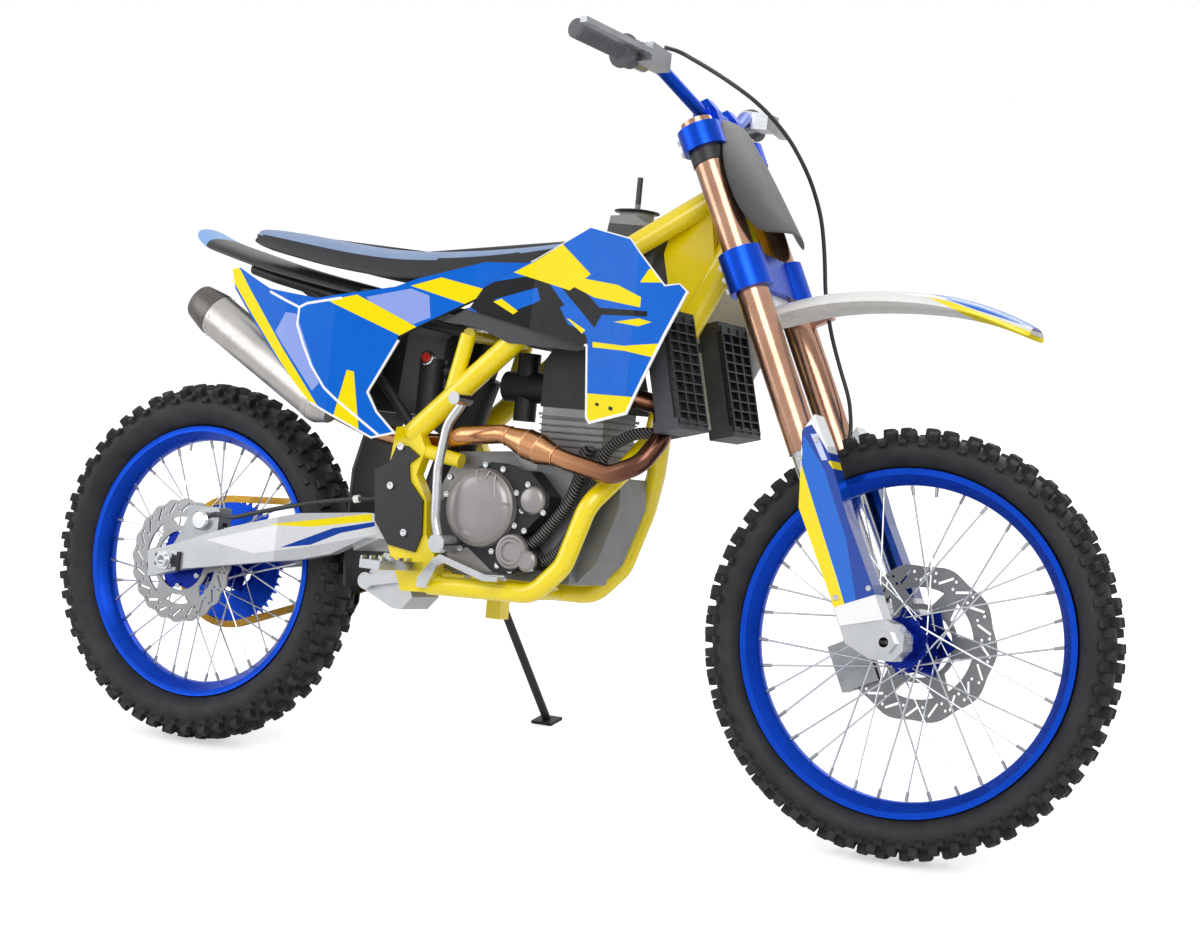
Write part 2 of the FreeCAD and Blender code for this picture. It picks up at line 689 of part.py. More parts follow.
def swingarm_bridge():
    """Casting that joins the arms ahead of the wheel, and the tube on their pivot bolt."""
    cross = side_points(ARM_CROSS_SHARES, (ARM_X, ARM_Z), (ARM_LENGTH, ARM_HEIGHT))
    bridge = prism(cross, -ARM_FRONT_Y + ARM_THICKNESS / 2, ARM_FRONT_Y - ARM_THICKNESS / 2)
    return Part.makeCompound([bridge.cut(swingarm()), swingarm_pivot()])


SHOCK_TOP_X = 607.0
SHOCK_TOP_Z = 812.0
SHOCK_LOW_X = 466.5
SHOCK_LOW_Z = 372.0
SPRING_RADIUS = 33.0
SPRING_SHARES = (0.27, 0.81)
SHOCK_BODY = 21.0
RESERVOIR_RADIUS = 24.0
RESERVOIR_X = 498.0
RESERVOIR_Y = -42.0
RESERVOIR_LOW = 648.0
RESERVOIR_HIGH = 752.0
RESERVOIR_NECK_SHARE = 0.6


def shock():
    """Rear shock: eye to eye damper, spring envelope and the reservoir beside it."""
    top = V(SHOCK_TOP_X, 0, SHOCK_TOP_Z)
    low = V(SHOCK_LOW_X, 0, SHOCK_LOW_Z)
    body = rod(low, top, SHOCK_BODY)
    spring = rod(low + (top - low) * SPRING_SHARES[0], low + (top - low) * SPRING_SHARES[1], SPRING_RADIUS)
    can = rod(V(RESERVOIR_X, RESERVOIR_Y, RESERVOIR_LOW), V(RESERVOIR_X, RESERVOIR_Y, RESERVOIR_HIGH),
              RESERVOIR_RADIUS)
    bridge_z = RESERVOIR_HIGH - SHOCK_BODY
    bridge_x = low.x + (top.x - low.x) * (bridge_z - low.z) / (top.z - low.z)
    bridge = rod(V(RESERVOIR_X, RESERVOIR_Y, bridge_z), V(bridge_x, 0, bridge_z),
                 SHOCK_BODY * RESERVOIR_NECK_SHARE)
    bar_clear = rod(V(STUB_X, -SPAR_Y, STUB_Z), V(STUB_X, SPAR_Y, STUB_Z), CROSS_TUBE_RADIUS + SEAT_GAP)
    return fused([body, spring, can, bridge]).cut(bar_clear)


LINK_REAR_X = 404.0
LINK_REAR_Z = 344.0
LINK_WIDTH = 12.0
LINK_RADIUS = 15.0
ROCKER_SHARES = ((0.38, 1.00), (0.62, 0.98), (1.00, 0.25), (0.80, 0.00), (0.62, 0.00), (0.00, 0.30),
                 (0.00, 0.45))
ROCKER_X = 392.0
ROCKER_Z = 300.0
ROCKER_LENGTH = 110.0
ROCKER_HEIGHT = 98.0
ROCKER_HALF = 44.0
LINK_LIFT_SHARE = 0.7


def shock_linkage():
    """Rocker under the shock with a pull rod on each side."""
    rocker_outline = side_points(ROCKER_SHARES, (ROCKER_X, ROCKER_Z), (ROCKER_LENGTH, ROCKER_HEIGHT))
    rocker = prism(rocker_outline, -ROCKER_HALF, ROCKER_HALF)
    rear = V(LINK_REAR_X, ROCKER_HALF, LINK_REAR_Z)
    front = V(LINK_TUBE_X, ROCKER_HALF, LINK_TUBE_Z)
    ends = [Part.makeCylinder(LINK_RADIUS, LINK_WIDTH, point, ACROSS) for point in (rear, front)]
    lift = V(0, 0, LINK_RADIUS * LINK_LIFT_SHARE)
    web = flat_face([rear + lift, front + lift, front - lift, rear - lift]).extrude(V(0, LINK_WIDTH, 0))
    half = [web] + ends
    whole = fused([rocker] + half + [mirrored(piece) for piece in half])
    low = V(SHOCK_LOW_X, 0, SHOCK_LOW_Z)
    top = V(SHOCK_TOP_X, 0, SHOCK_TOP_Z)
    pocket = rod(low - unit(top - low) * SEAT_GAP, top, SHOCK_BODY + SEAT_GAP)
    pin_hole = rod(front - ACROSS * 2 * PLATE_INNER_Y, front + ACROSS * 2 * PLATE_INNER_Y,
                   LINK_TUBE_RADIUS + FIT_GAP)
    return whole.cut(pocket).cut(pin_hole)


CASE_X = 556.0
CASE_Z = 376.0
CASE_LENGTH = 349.0
CASE_HEIGHT = 224.0
CASE_SHARES = ((0.02, 0.11), (0.00, 0.64), (0.10, 0.96), (0.41, 1.00), (0.50, 0.87), (0.99, 0.87),
               (1.00, 0.64), (0.90, 0.20), (0.79, 0.02), (0.13, 0.00))
CASE_RIGHT_WIDTH = 75.0


CASE_NOSE_SHARE = 0.80
CASE_NOSE_HALF = 48.0
# Slab cut from each side of the nose, as shares of the case
CASE_CHEEK_SHARES = ((CASE_NOSE_SHARE, -0.10), (1.10, -0.10), (1.10, 1.10), (CASE_NOSE_SHARE, 1.10))


def engine_case():
    """Crankcase halves as one casting, slimmer in front where it stands between the cradle rails."""
    outline = side_points(CASE_SHARES, (CASE_X, CASE_Z), (CASE_LENGTH, CASE_HEIGHT))
    block = prism(outline, -CASE_RIGHT_WIDTH, CASE_HALF_WIDTH)
    nose_x = CASE_X + CASE_NOSE_SHARE * CASE_LENGTH
    for y_from, y_to in ((-2 * CASE_RIGHT_WIDTH, -CASE_NOSE_HALF), (CASE_NOSE_HALF, 2 * CASE_RIGHT_WIDTH)):
        cheek = side_points(CASE_CHEEK_SHARES, (CASE_X, CASE_Z), (CASE_LENGTH, CASE_HEIGHT))
        block = block.cut(prism(cheek, y_from, y_to))
    return block


COVER_DEPTH = 42.0
CLUTCH_X = 675.0
CLUTCH_Z = 498.0
CLUTCH_RADIUS = 67.0
CLUTCH_DEPTH = 22.0
CLUTCH_DOME = 52.0
OIL_LID_X = 770.0
OIL_LID_Z = 518.0
OIL_LID_RADIUS = 22.0
OIL_LID_DEPTH = 8.0
PUMP_X = 742.0
PUMP_Z = 424.0
PUMP_RADIUS = 30.0
# The two slanted edges before and after the sixth corner are the hose ports
COVER_SHARES = ((1.00, 0.74), (1.00, 0.65), (0.77, 0.36), (0.88, 0.22), (0.95, 0.07), (0.69, 0.00),
                (0.20, 0.02), (0.04, 0.18), (0.00, 0.60), (0.20, 0.88), (0.44, 1.00), (0.80, 0.95))
COVER_X = 590.0
COVER_Z = 388.0
COVER_LENGTH = 216.0
COVER_HEIGHT = 190.0
COVER_PORTS = (2, 3)


def cover_outline():
    """Side view corners of the clutch cover."""
    return side_points(COVER_SHARES, (COVER_X, COVER_Z), (COVER_LENGTH, COVER_HEIGHT))


def clutch_cover():
    """Right-hand engine cover: base casting, round clutch lid, oil lid and water pump."""
    outline = cover_outline()
    face = -CASE_RIGHT_WIDTH
    base = prism(outline, face, face - COVER_DEPTH)
    front = face - COVER_DEPTH
    lid = turned([(0, 0), (CLUTCH_RADIUS, 0), (CLUTCH_RADIUS, -CLUTCH_DEPTH / 2),
                  (CLUTCH_DOME, -CLUTCH_DEPTH),
                  (0, -CLUTCH_DEPTH)]).translated(V(CLUTCH_X, front, CLUTCH_Z))
    oil_lid = rod(V(OIL_LID_X, front, OIL_LID_Z), V(OIL_LID_X, front - OIL_LID_DEPTH, OIL_LID_Z),
                  OIL_LID_RADIUS)
    pump = rod(V(PUMP_X, front, PUMP_Z), V(PUMP_X, front - OIL_LID_DEPTH, PUMP_Z), PUMP_RADIUS)
    return fused([base, lid, oil_lid, pump])


FLYWHEEL_X = 722.0
FLYWHEEL_Z = 470.0
FLYWHEEL_RADIUS = 62.0
FLYWHEEL_DEPTH = 44.0
FLYWHEEL_RIM_SHARE = 0.6
FLYWHEEL_FACE_SHARE = 0.8


def flywheel_cover():
    """Left-hand engine cover over the flywheel."""
    return turned([(0, 0), (FLYWHEEL_RADIUS, 0), (FLYWHEEL_RADIUS, FLYWHEEL_DEPTH * FLYWHEEL_RIM_SHARE),
                   (FLYWHEEL_RADIUS * FLYWHEEL_FACE_SHARE, FLYWHEEL_DEPTH), (0, FLYWHEEL_DEPTH)]
                  ).translated(V(FLYWHEEL_X, CASE_HALF_WIDTH, FLYWHEEL_Z))


BARREL_X = 742.0
BARREL_LENGTH = 122.0
BARREL_TOP = 682.0
BARREL_HALF = 58.0
FIN_COUNT = 3
FIN_REACH = 5.0
FIN_THICKNESS = 5.0
DECK_SHARE = 0.87
DECK_Z = CASE_Z + DECK_SHARE * CASE_HEIGHT
FIN_START_SHARE = 0.6


def cylinder():
    """Cylinder barrel with flange ribs round it."""
    height = BARREL_TOP - DECK_Z
    barrel = Part.makeBox(BARREL_LENGTH, 2 * BARREL_HALF, height, V(BARREL_X, -BARREL_HALF, DECK_Z))
    ribs = []
    for k in range(FIN_COUNT):
        level = DECK_Z + height * (k + FIN_START_SHARE) / FIN_COUNT
        ribs.append(Part.makeBox(BARREL_LENGTH + 2 * FIN_REACH, 2 * (BARREL_HALF + FIN_REACH), FIN_THICKNESS,
                                 V(BARREL_X - FIN_REACH, -BARREL_HALF - FIN_REACH, level)))
    return fused([barrel] + ribs)


HEAD_X = 738.0
HEAD_LENGTH = 152.0
HEAD_HEIGHT = 133.0
HEAD_HALF = 60.0
HEAD_SHARES = ((0.00, 0.00), (1.00, 0.00), (0.94, 0.36), (0.82, 0.81), (0.75, 1.00), (0.23, 0.98),
               (0.00, 0.59))
PORT_Z = 708.0
PORT_Y = -36.0
HEADER_RADIUS = 16.5
SPIGOT_SHARE = 1.4


def cylinder_head():
    """Cylinder head with its valve cover and the exhaust spigot at the front."""
    outline = side_points(HEAD_SHARES, (HEAD_X, BARREL_TOP), (HEAD_LENGTH, HEAD_HEIGHT))
    block = prism(outline, -HEAD_HALF, HEAD_HALF)
    reach = HEAD_X + HEAD_LENGTH
    spigot = rod(V(reach - 2 * HEADER_RADIUS, PORT_Y, PORT_Z), V(reach + OVERRUN, PORT_Y, PORT_Z),
                 HEADER_RADIUS * SPIGOT_SHARE)
    return fused([block, spigot])


CARB_Z = 715.0
CARB_RADIUS = 27.0
CARB_REAR = 632.0
BOWL_LOW = 655.0
BOWL_TOP = 775.0
BOWL_X = 672.0
BOWL_RADIUS = 20.0


def carburettor():
    """Carburettor body between the head and its bellmouth, with bowl and slide tower."""
    throat = rod(V(CARB_REAR, 0, CARB_Z), V(HEAD_X - SEAT_GAP, 0, CARB_Z), CARB_RADIUS)
    tower = rod(V(BOWL_X, 0, BOWL_LOW), V(BOWL_X, 0, BOWL_TOP), BOWL_RADIUS)
    return fused([throat, tower])


RADIATOR_LOW_X = 1038.0
RADIATOR_LOW_Z = 655.0
RADIATOR_TOP_X = 988.0
RADIATOR_TOP_Z = 850.0
RADIATOR_INNER = 48.0
RADIATOR_OUTER = 160.0
RADIATOR_DEPTH = 34.0
TANK_DEPTH = 46.0
TANK_STRIP = 18.0
MOUNT_SHARE = 0.80
MOUNT_RADIUS = 8.0


def cooler_axes():
    """Foot, upward direction, forward direction and length of the coolers."""
    low = V(RADIATOR_LOW_X, 0, RADIATOR_LOW_Z)
    run = V(RADIATOR_TOP_X, 0, RADIATOR_TOP_Z) - low
    up = unit(run)
    return low, up, V(up.z, 0, -up.x), run.Length


def cooler_port():
    """Where the coolant hose meets the back of the right-hand cooler."""
    low, up, ahead, length = cooler_axes()
    back = low + up * (TANK_STRIP / 2) - ahead * (TANK_DEPTH / 2 + SEAT_GAP)
    return back - V(0, RADIATOR_INNER + HOSE_RADIUS, 0)


def radiators():
    """A slim cooler on each side of the downtube, with a header tank along top and foot."""
    low, up, ahead, length = cooler_axes()

    def slab(start, end, depth):
        corners = [low + up * start + ahead * (depth / 2), low + up * end + ahead * (depth / 2),
                   low + up * end - ahead * (depth / 2), low + up * start - ahead * (depth / 2)]
        shift = V(0, RADIATOR_INNER, 0)
        return flat_face([p + shift for p in corners]).extrude(V(0, RADIATOR_OUTER - RADIATOR_INNER, 0))

    core = slab(0, length, RADIATOR_DEPTH)
    foot = slab(0, TANK_STRIP, TANK_DEPTH)
    top = slab(length - TANK_STRIP, length, TANK_DEPTH)
    spot = low + up * (length * MOUNT_SHARE) - ahead * (RADIATOR_DEPTH / 2)
    mount = rod(spot, spot + ACROSS * (RADIATOR_INNER + MOUNT_RADIUS), MOUNT_RADIUS)
    return both_sides(fused([core, foot, top, mount]).cut(downtube(DOWNTUBE_RADIUS + SEAT_GAP)))


HOSE_RADIUS = 10.0
HOSE_BEND = 70.0
HOSE_STUB = 26.0
HOSE_X = 806.0
HOSE_Z = 428.0
HOSE_LENGTH = 208.0
HOSE_HEIGHT = 224.0
HOSE_Y = -CASE_RIGHT_WIDTH - HOSE_RADIUS
# Each hose starts at a port so far outside the case and then runs through these points
BARREL_HOSE_SHARES = ((0.12, 1.13, 0.40), (0.18, 1.05, 0.60))
COOLER_HOSE_SHARES = ((0.14, 1.02, 0.15), (0.25, 0.92, 0.41), (0.31, 0.87, 0.66), (0.37, 0.84, 0.86),
                      (0.62, 0.78, 0.99))
BARREL_PORT_X = 846.0
BARREL_PORT_Z = 611.0


def hose(port, y, shares, end, arrival):
    """A coolant hose from a port of the clutch cover to an end that it meets squarely."""
    outline = cover_outline()
    (x_a, z_a), (x_b, z_b) = outline[port], outline[port + 1]
    outward = unit(V(z_a - z_b, 0, x_b - x_a))
    middle = V((x_a + x_b) / 2, y, (z_a + z_b) / 2)
    points = [middle + outward * SEAT_GAP, middle + outward * HOSE_STUB]
    points += [V(HOSE_X + a * HOSE_LENGTH, HOSE_Y * b, HOSE_Z + c * HOSE_HEIGHT) for a, b, c in shares]
    points += [end - arrival * HOSE_STUB, end]
    return tube(points, HOSE_RADIUS, HOSE_BEND)


BARREL_HOSE_SHARE = 1.18
COOLER_HOSE_SHARE = 1.02


def coolant_hoses():
    """Two ribbed hoses from the water pump, one to the cylinder and one to the right-hand cooler."""
    barrel_end = V(BARREL_PORT_X, -BARREL_HALF - SEAT_GAP, BARREL_PORT_Z)
    to_barrel = hose(COVER_PORTS[0], HOSE_Y * BARREL_HOSE_SHARE, BARREL_HOSE_SHARES, barrel_end, ACROSS)
    to_cooler = hose(COVER_PORTS[1], HOSE_Y * COOLER_HOSE_SHARE, COOLER_HOSE_SHARES, cooler_port(),
                     cooler_axes()[2])
    return Part.makeCompound([to_barrel, to_cooler])


HEADER_X = 335.0
HEADER_Y = -130.0
HEADER_Z = 574.0
HEADER_LENGTH = 670.0
HEADER_HEIGHT = 134.0
HEADER_SHARES = ((0.958, 0.46, 0.92), (0.992, 0.76, 0.52), (0.960, 0.98, 0.16), (0.880, 1.00, 0.00),
                 (0.755, 1.00, 0.13), (0.560, 0.98, 0.40), (0.415, 0.84, 0.33), (0.330, 0.46, 0.22),
                 (0.215, 0.44, 0.20), (0.110, 0.66, 0.32), (0.025, 0.90, 0.52))
HEADER_BEND = 45.0
CHAMBER_RUN = 6
CHAMBER_RADIUS = 26.0
CHAMBER_SHARES = (0.18, 0.42, 0.62, 0.92)


def header_points():
    """The exhaust's centre line from the port to the silencer."""
    port = V(HEAD_X + HEAD_LENGTH + OVERRUN + SEAT_GAP, PORT_Y, PORT_Z)
    run = [V(HEADER_X + a * HEADER_LENGTH, b * HEADER_Y, HEADER_Z + c * HEADER_HEIGHT)
           for a, b, c in HEADER_SHARES]
    return [port, port + V(HEADER_RADIUS, 0, 0)] + run


def exhaust_header():
    """Front pipe looped past the downtube, with its resonance chamber beside the cylinder."""
    points = header_points()
    pipe = tube(points, HEADER_RADIUS, HEADER_BEND)
    start = points[CHAMBER_RUN]
    run = points[CHAMBER_RUN + 1] - start
    marks = [start + run * share for share in CHAMBER_SHARES]
    swell = Part.makeCone(HEADER_RADIUS, CHAMBER_RADIUS, (marks[1] - marks[0]).Length, marks[0], run)
    middle = rod(marks[1], marks[2], CHAMBER_RADIUS)
    neck = Part.makeCone(CHAMBER_RADIUS, HEADER_RADIUS, (marks[3] - marks[2]).Length, marks[2], run)
    return fused([pipe, swell, middle, neck])


SILENCER_FRONT_X = 345.0
SILENCER_FRONT_Z = 642.0
SILENCER_REAR_X = 22.0
SILENCER_REAR_Z = 826.0
SILENCER_FRONT_Y = -118.0
SILENCER_REAR_Y = -122.0
SILENCER_HALF_HEIGHT = 42.0
SILENCER_HALF_WIDTH = 37.0
CAP_SHARE = 0.90
OVAL_SHARES = ((1.00, 0.35), (0.72, 0.82), (0.30, 1.00))


def oval(centre, up, across, scale):
    """Twelve corners of an oval section, worked out from one quarter."""
    quarter = [(a * SILENCER_HALF_WIDTH, b * SILENCER_HALF_HEIGHT) for a, b in OVAL_SHARES]
    ring = quarter + [(-a, b) for a, b in reversed(quarter)]
    ring += [(-a, -b) for a, b in quarter] + [(a, -b) for a, b in reversed(quarter)]
    return [centre + across * (a * scale) + up * (b * scale) for a, b in ring]


# Stations along the can: place and girth shares
CAN_SHARES = ((0.0, 0.48), (0.12, 1.0), (CAP_SHARE, 1.0), (1.0, 0.62))


def silencer():
    """Oval silencer with a tapered nose and a tapered end cap."""
    front = V(SILENCER_FRONT_X, SILENCER_FRONT_Y, SILENCER_FRONT_Z)
    rear = V(SILENCER_REAR_X, SILENCER_REAR_Y, SILENCER_REAR_Z)
    along = unit(rear - front)
    up = unit(along.cross(ACROSS))
    if up.z < 0:
        up = up * -1
    across = along.cross(up)
    reach = (rear - front).Length
    sections = [oval(front + along * (reach * a), up, across, b) for a, b in CAN_SHARES]
    body = loft(sections)
    pipe = header_points()
    last = unit(pipe[-1] - pipe[-2])
    clear = rod(pipe[-1] - last * OVERRUN, pipe[-1] + last * LONG_OVERRUN, HEADER_RADIUS + FIT_GAP)
    return body.cut(clear)


AIRBOX_X = 240.0
AIRBOX_Z = 652.0
AIRBOX_LENGTH = 260.0
AIRBOX_HEIGHT = 210.0
AIRBOX_HALF = 63.1
AIRBOX_SHARES = ((0.00, 1.00), (0.10, 0.35), (0.35, 0.00), (0.77, 0.00), (0.82, 0.67), (1.00, 0.88),
                 (1.00, 0.95))


def airbox():
    """Air filter housing under the seat, behind the shock."""
    outline = side_points(AIRBOX_SHARES, (AIRBOX_X, AIRBOX_Z), (AIRBOX_LENGTH, AIRBOX_HEIGHT))
    return prism(outline, -AIRBOX_HALF, AIRBOX_HALF)


TANK_X = 640.0
TANK_Z = 775.0
TANK_LENGTH = 285.0
TANK_HEIGHT = 247.0
TANK_HALF = 77.7
TANK_SHARES = ((0.00, 0.10), (0.00, 0.36), (0.28, 0.50), (0.56, 0.64), (0.69, 0.80), (0.71, 0.98),
               (0.84, 1.00), (0.95, 0.91), (0.98, 0.75), (0.93, 0.43), (0.77, 0.22), (0.42, 0.17),
               (0.30, 0.02))
FILLER_X = 859.0
FILLER_Z = 1008.0
FILLER_HEIGHT = 24.0
FILLER_RADIUS = 30.0
VENT_RADIUS = 5.0
VENT_HEIGHT = 60.0


TANK_PLAN_SHARES = ((-0.05, 1.00), (0.60, 1.00), (0.84, 0.595), (1.02, 0.378))


def fuel_tank():
    """Narrow tank between the spars, tapered to the front, with its filler cap and vent tube."""
    outline = side_points(TANK_SHARES, (TANK_X, TANK_Z), (TANK_LENGTH, TANK_HEIGHT))
    left = [V(TANK_X + a * TANK_LENGTH, b * TANK_HALF, TANK_Z) for a, b in TANK_PLAN_SHARES]
    right = [V(point.x, -point.y, point.z) for point in reversed(left)]
    plan = flat_face(left + right).extrude(V(0, 0, TANK_HEIGHT + OVERRUN))
    body = prism(outline, -TANK_HALF, TANK_HALF).common(plan)
    cap = rod(V(FILLER_X, 0, FILLER_Z), V(FILLER_X, 0, FILLER_Z + FILLER_HEIGHT), FILLER_RADIUS)
    top = FILLER_Z + FILLER_HEIGHT
    vent = rod(V(FILLER_X, 0, top), V(FILLER_X, 0, top + VENT_HEIGHT), VENT_RADIUS)
    return fused([body, cap, vent])


SEAT_X = 28.0
SEAT_LENGTH = 794.0
SEAT_Z = 943.0
SEAT_DIP = 42.0
SEAT_HALF = 108.0
SEAT_DEPTH = 75.0
# Station, top height, depth, half width at the top and at the foot, each as a share
SEAT_SHARES = ((0.00, 0.79, 0.30, 0.55, 0.64), (0.14, 0.79, 0.82, 0.66, 0.82), (0.30, 0.36, 0.90, 0.74, 0.93),
               (0.49, 0.00, 1.00, 0.76, 1.00), (0.65, 0.14, 1.00, 0.72, 0.90), (0.78, 0.36, 0.84, 0.64, 0.78),
               (0.90, 0.68, 0.55, 0.52, 0.62), (1.00, 1.00, 0.30, 0.38, 0.48))
BROW_SHARE = 0.25
SEAT_TOP_SHARE = 0.8


def seat():
    """Long thin saddle with sloping sides."""
    sections = []
    for along, top, depth, narrow, wide in SEAT_SHARES:
        x = SEAT_X + along * SEAT_LENGTH
        high = SEAT_Z + top * SEAT_DIP
        low = high - depth * SEAT_DEPTH
        brow = high - (high - low) * BROW_SHARE
        sections.append([V(x, narrow * SEAT_HALF * SEAT_TOP_SHARE, high), V(x, narrow * SEAT_HALF, brow),
                         V(x, wide * SEAT_HALF, low), V(x, -wide * SEAT_HALF, low),
                         V(x, -narrow * SEAT_HALF, brow), V(x, -narrow * SEAT_HALF * SEAT_TOP_SHARE, high)])
    return loft(sections)


PANEL_THICKNESS = 3.0
SIDE_PANEL_X = 112.0
SIDE_PANEL_Z = 599.0
SIDE_PANEL_LENGTH = 654.0
SIDE_PANEL_HEIGHT = 325.0
SIDE_PANEL_Y = 168.0
SIDE_PANEL_TUCK = 46.0
POST_X = 417.4
POST_Z = 825.9
POST_END_Y = 154.0
POST_RADIUS = 7.0
SIDE_PANEL_SHARES = ((0.00, 0.88), (0.03, 0.89), (0.15, 0.78), (0.23, 0.76), (0.32, 0.74), (0.55, 0.83),
                     (0.61, 0.88), (0.80, 0.99), (1.00, 1.00), (0.80, 0.80), (0.62, 0.61), (0.58, 0.56),
                     (0.50, 0.25), (0.53, 0.15), (0.59, 0.04), (0.52, 0.00), (0.33, 0.16), (0.21, 0.38),
                     (0.02, 0.77))
SIDE_PLAN_SHARES = ((-0.05, 0.55), (0.08, 0.20), (0.22, 0.00), (0.38, 0.06), (0.60, 0.60), (0.78, 0.96),
                    (1.05, 1.00))


def side_panels():
    """Number panels under the seat, bulged out over the silencer."""
    outline = side_points(SIDE_PANEL_SHARES, (SIDE_PANEL_X, SIDE_PANEL_Z),
                          (SIDE_PANEL_LENGTH, SIDE_PANEL_HEIGHT))
    plan = [(SIDE_PANEL_X + a * SIDE_PANEL_LENGTH, SIDE_PANEL_Y - b * SIDE_PANEL_TUCK)
            for a, b in SIDE_PLAN_SHARES]
    sheet = bent_panel(outline, plan, PANEL_THICKNESS)
    post = rod(V(POST_X, SUBFRAME_Y + SUBFRAME_RADIUS + SEAT_GAP, POST_Z), V(POST_X, POST_END_Y, POST_Z),
               POST_RADIUS)
    return both_sides(fused([sheet, post]))


SHROUD_X = 614.0
SHROUD_Z = 655.0
SHROUD_LENGTH = 461.0
SHROUD_HEIGHT = 330.0
SHROUD_REAR_Y = 126.2
SHROUD_FLARE = 76.0
SHROUD_SHARES = ((0.00, 0.55), (0.06, 0.67), (0.26, 0.82), (0.53, 1.00), (0.73, 0.94), (0.90, 0.71),
                 (0.96, 0.72), (1.00, 0.68), (0.92, 0.46), (0.83, 0.19), (0.79, 0.06), (0.61, 0.00),
                 (0.59, 0.03), (0.56, 0.39))
SHROUD_PLAN_SHARES = ((-0.05, 0.00), (0.28, 0.05), (0.55, 0.42), (0.78, 0.85), (1.05, 1.02))


def shrouds():
    """Radiator shrouds, flared out towards the front."""
    outline = side_points(SHROUD_SHARES, (SHROUD_X, SHROUD_Z), (SHROUD_LENGTH, SHROUD_HEIGHT))
    plan = [(SHROUD_X + a * SHROUD_LENGTH, SHROUD_REAR_Y + b * SHROUD_FLARE) for a, b in SHROUD_PLAN_SHARES]
    return both_sides(bent_panel(outline, plan, PANEL_THICKNESS))


KNEE_PANEL_X = 560.0
KNEE_PANEL_Z = 778.0
KNEE_PANEL_LENGTH = 300.0
KNEE_PANEL_HEIGHT = 150.0
KNEE_PANEL_SHARES = ((0.00, 0.24), (0.26, 0.51), (0.60, 0.84), (1.00, 1.00), (1.00, 0.03), (0.91, 0.00),
                     (0.46, 0.04), (0.27, 0.18), (0.13, 0.22))


def knee_panels():
    """Black covers between spars, side panels and shrouds."""
    outline = side_points(KNEE_PANEL_SHARES, (KNEE_PANEL_X, KNEE_PANEL_Z),
                          (KNEE_PANEL_LENGTH, KNEE_PANEL_HEIGHT))
    inner = SPAR_Y + SPAR_RADIUS + SEAT_GAP
    return both_sides(prism(outline, inner, inner + PANEL_THICKNESS))


FENDER_SHEET = 4.0
REAR_FENDER_X = -63.0
REAR_FENDER_LENGTH = 420.0
REAR_FENDER_HALF = 96.0
REAR_FENDER_Z = 865.4
REAR_FENDER_RISE = 110.0
REAR_FENDER_SKIRT = 22.0
# Station, crown height and half width, each as a share
REAR_FENDER_SHARES = ((0.00, 1.00, 0.48), (0.10, 0.80, 0.74), (0.22, 0.70, 0.90), (0.48, 0.44, 0.98),
                      (0.77, 0.235, 1.00), (1.00, 0.09, 1.00))
FENDER_BROW_SHARE = 0.82
FENDER_CROWN_SHARE = 0.4
FENDER_FALL_SHARE = 0.2


def arched_sheet(stations, skirt, sheet):
    """A thin arched sheet through stations of (x, crown height, half width)."""
    sections = []
    for x, crown, half in stations:
        rim_z = crown - skirt
        outer = [V(x, half, rim_z), V(x, half * FENDER_BROW_SHARE, crown - skirt * FENDER_FALL_SHARE),
                 V(x, half * FENDER_CROWN_SHARE, crown),
                 V(x, -half * FENDER_CROWN_SHARE, crown),
                 V(x, -half * FENDER_BROW_SHARE, crown - skirt * FENDER_FALL_SHARE), V(x, -half, rim_z)]
        drop = V(0, 0, sheet)
        inner = [outer[5] + V(0, sheet, 0), outer[4] - drop, outer[3] - drop, outer[2] - drop,
                 outer[1] - drop,
                 outer[0] - V(0, sheet, 0)]
        sections.append(outer + inner)
    return loft(sections)


def rear_fender():
    """Tail fender under the seat, its tip turned up."""
    stations = [(REAR_FENDER_X + a * REAR_FENDER_LENGTH, REAR_FENDER_Z + b * REAR_FENDER_RISE,
                 c * REAR_FENDER_HALF)
                for a, b, c in REAR_FENDER_SHARES]
    return arched_sheet(stations, REAR_FENDER_SKIRT, FENDER_SHEET)


FLAP_X = 351.0
FLAP_Z = 259.0
FLAP_LENGTH = 36.0
FLAP_HALF = 54.0
FLAP_SHARES = ((0.86, 1.00), (0.03, 0.72), (0.03, 0.30), (0.40, 0.00), (0.54, 0.00), (0.17, 0.31),
               (0.17, 0.71), (1.00, 1.00))


def mud_flap():
    """Flap ahead of the rear wheel, hung from the airbox."""
    outline = side_points(FLAP_SHARES, (FLAP_X, FLAP_Z), (FLAP_LENGTH, AIRBOX_Z - SEAT_GAP - FLAP_Z))
    return prism(outline, -FLAP_HALF, FLAP_HALF)


GUIDE_X = 232.0
GUIDE_Z = 258.0
GUIDE_LENGTH = 78.0
GUIDE_HEIGHT = 118.0
GUIDE_THICKNESS = 4.0
GUIDE_SHARES = ((0.10, 0.96), (0.90, 1.04), (0.86, 0.30), (0.66, 0.04), (0.20, 0.00), (0.00, 0.20))
# Guide floor and the tab that reaches the arm, as shares of the guide's length and height
GUIDE_FOOT_SHARES = ((0.10, 0.02), (0.62, 0.06), (0.62, 0.16), (0.10, 0.12))
GUIDE_TAB_SHARES = ((0.15, 0.80), (0.85, 0.86), (0.90, 1.04), (0.10, 0.96))
GUIDE_PLAY = 1.2


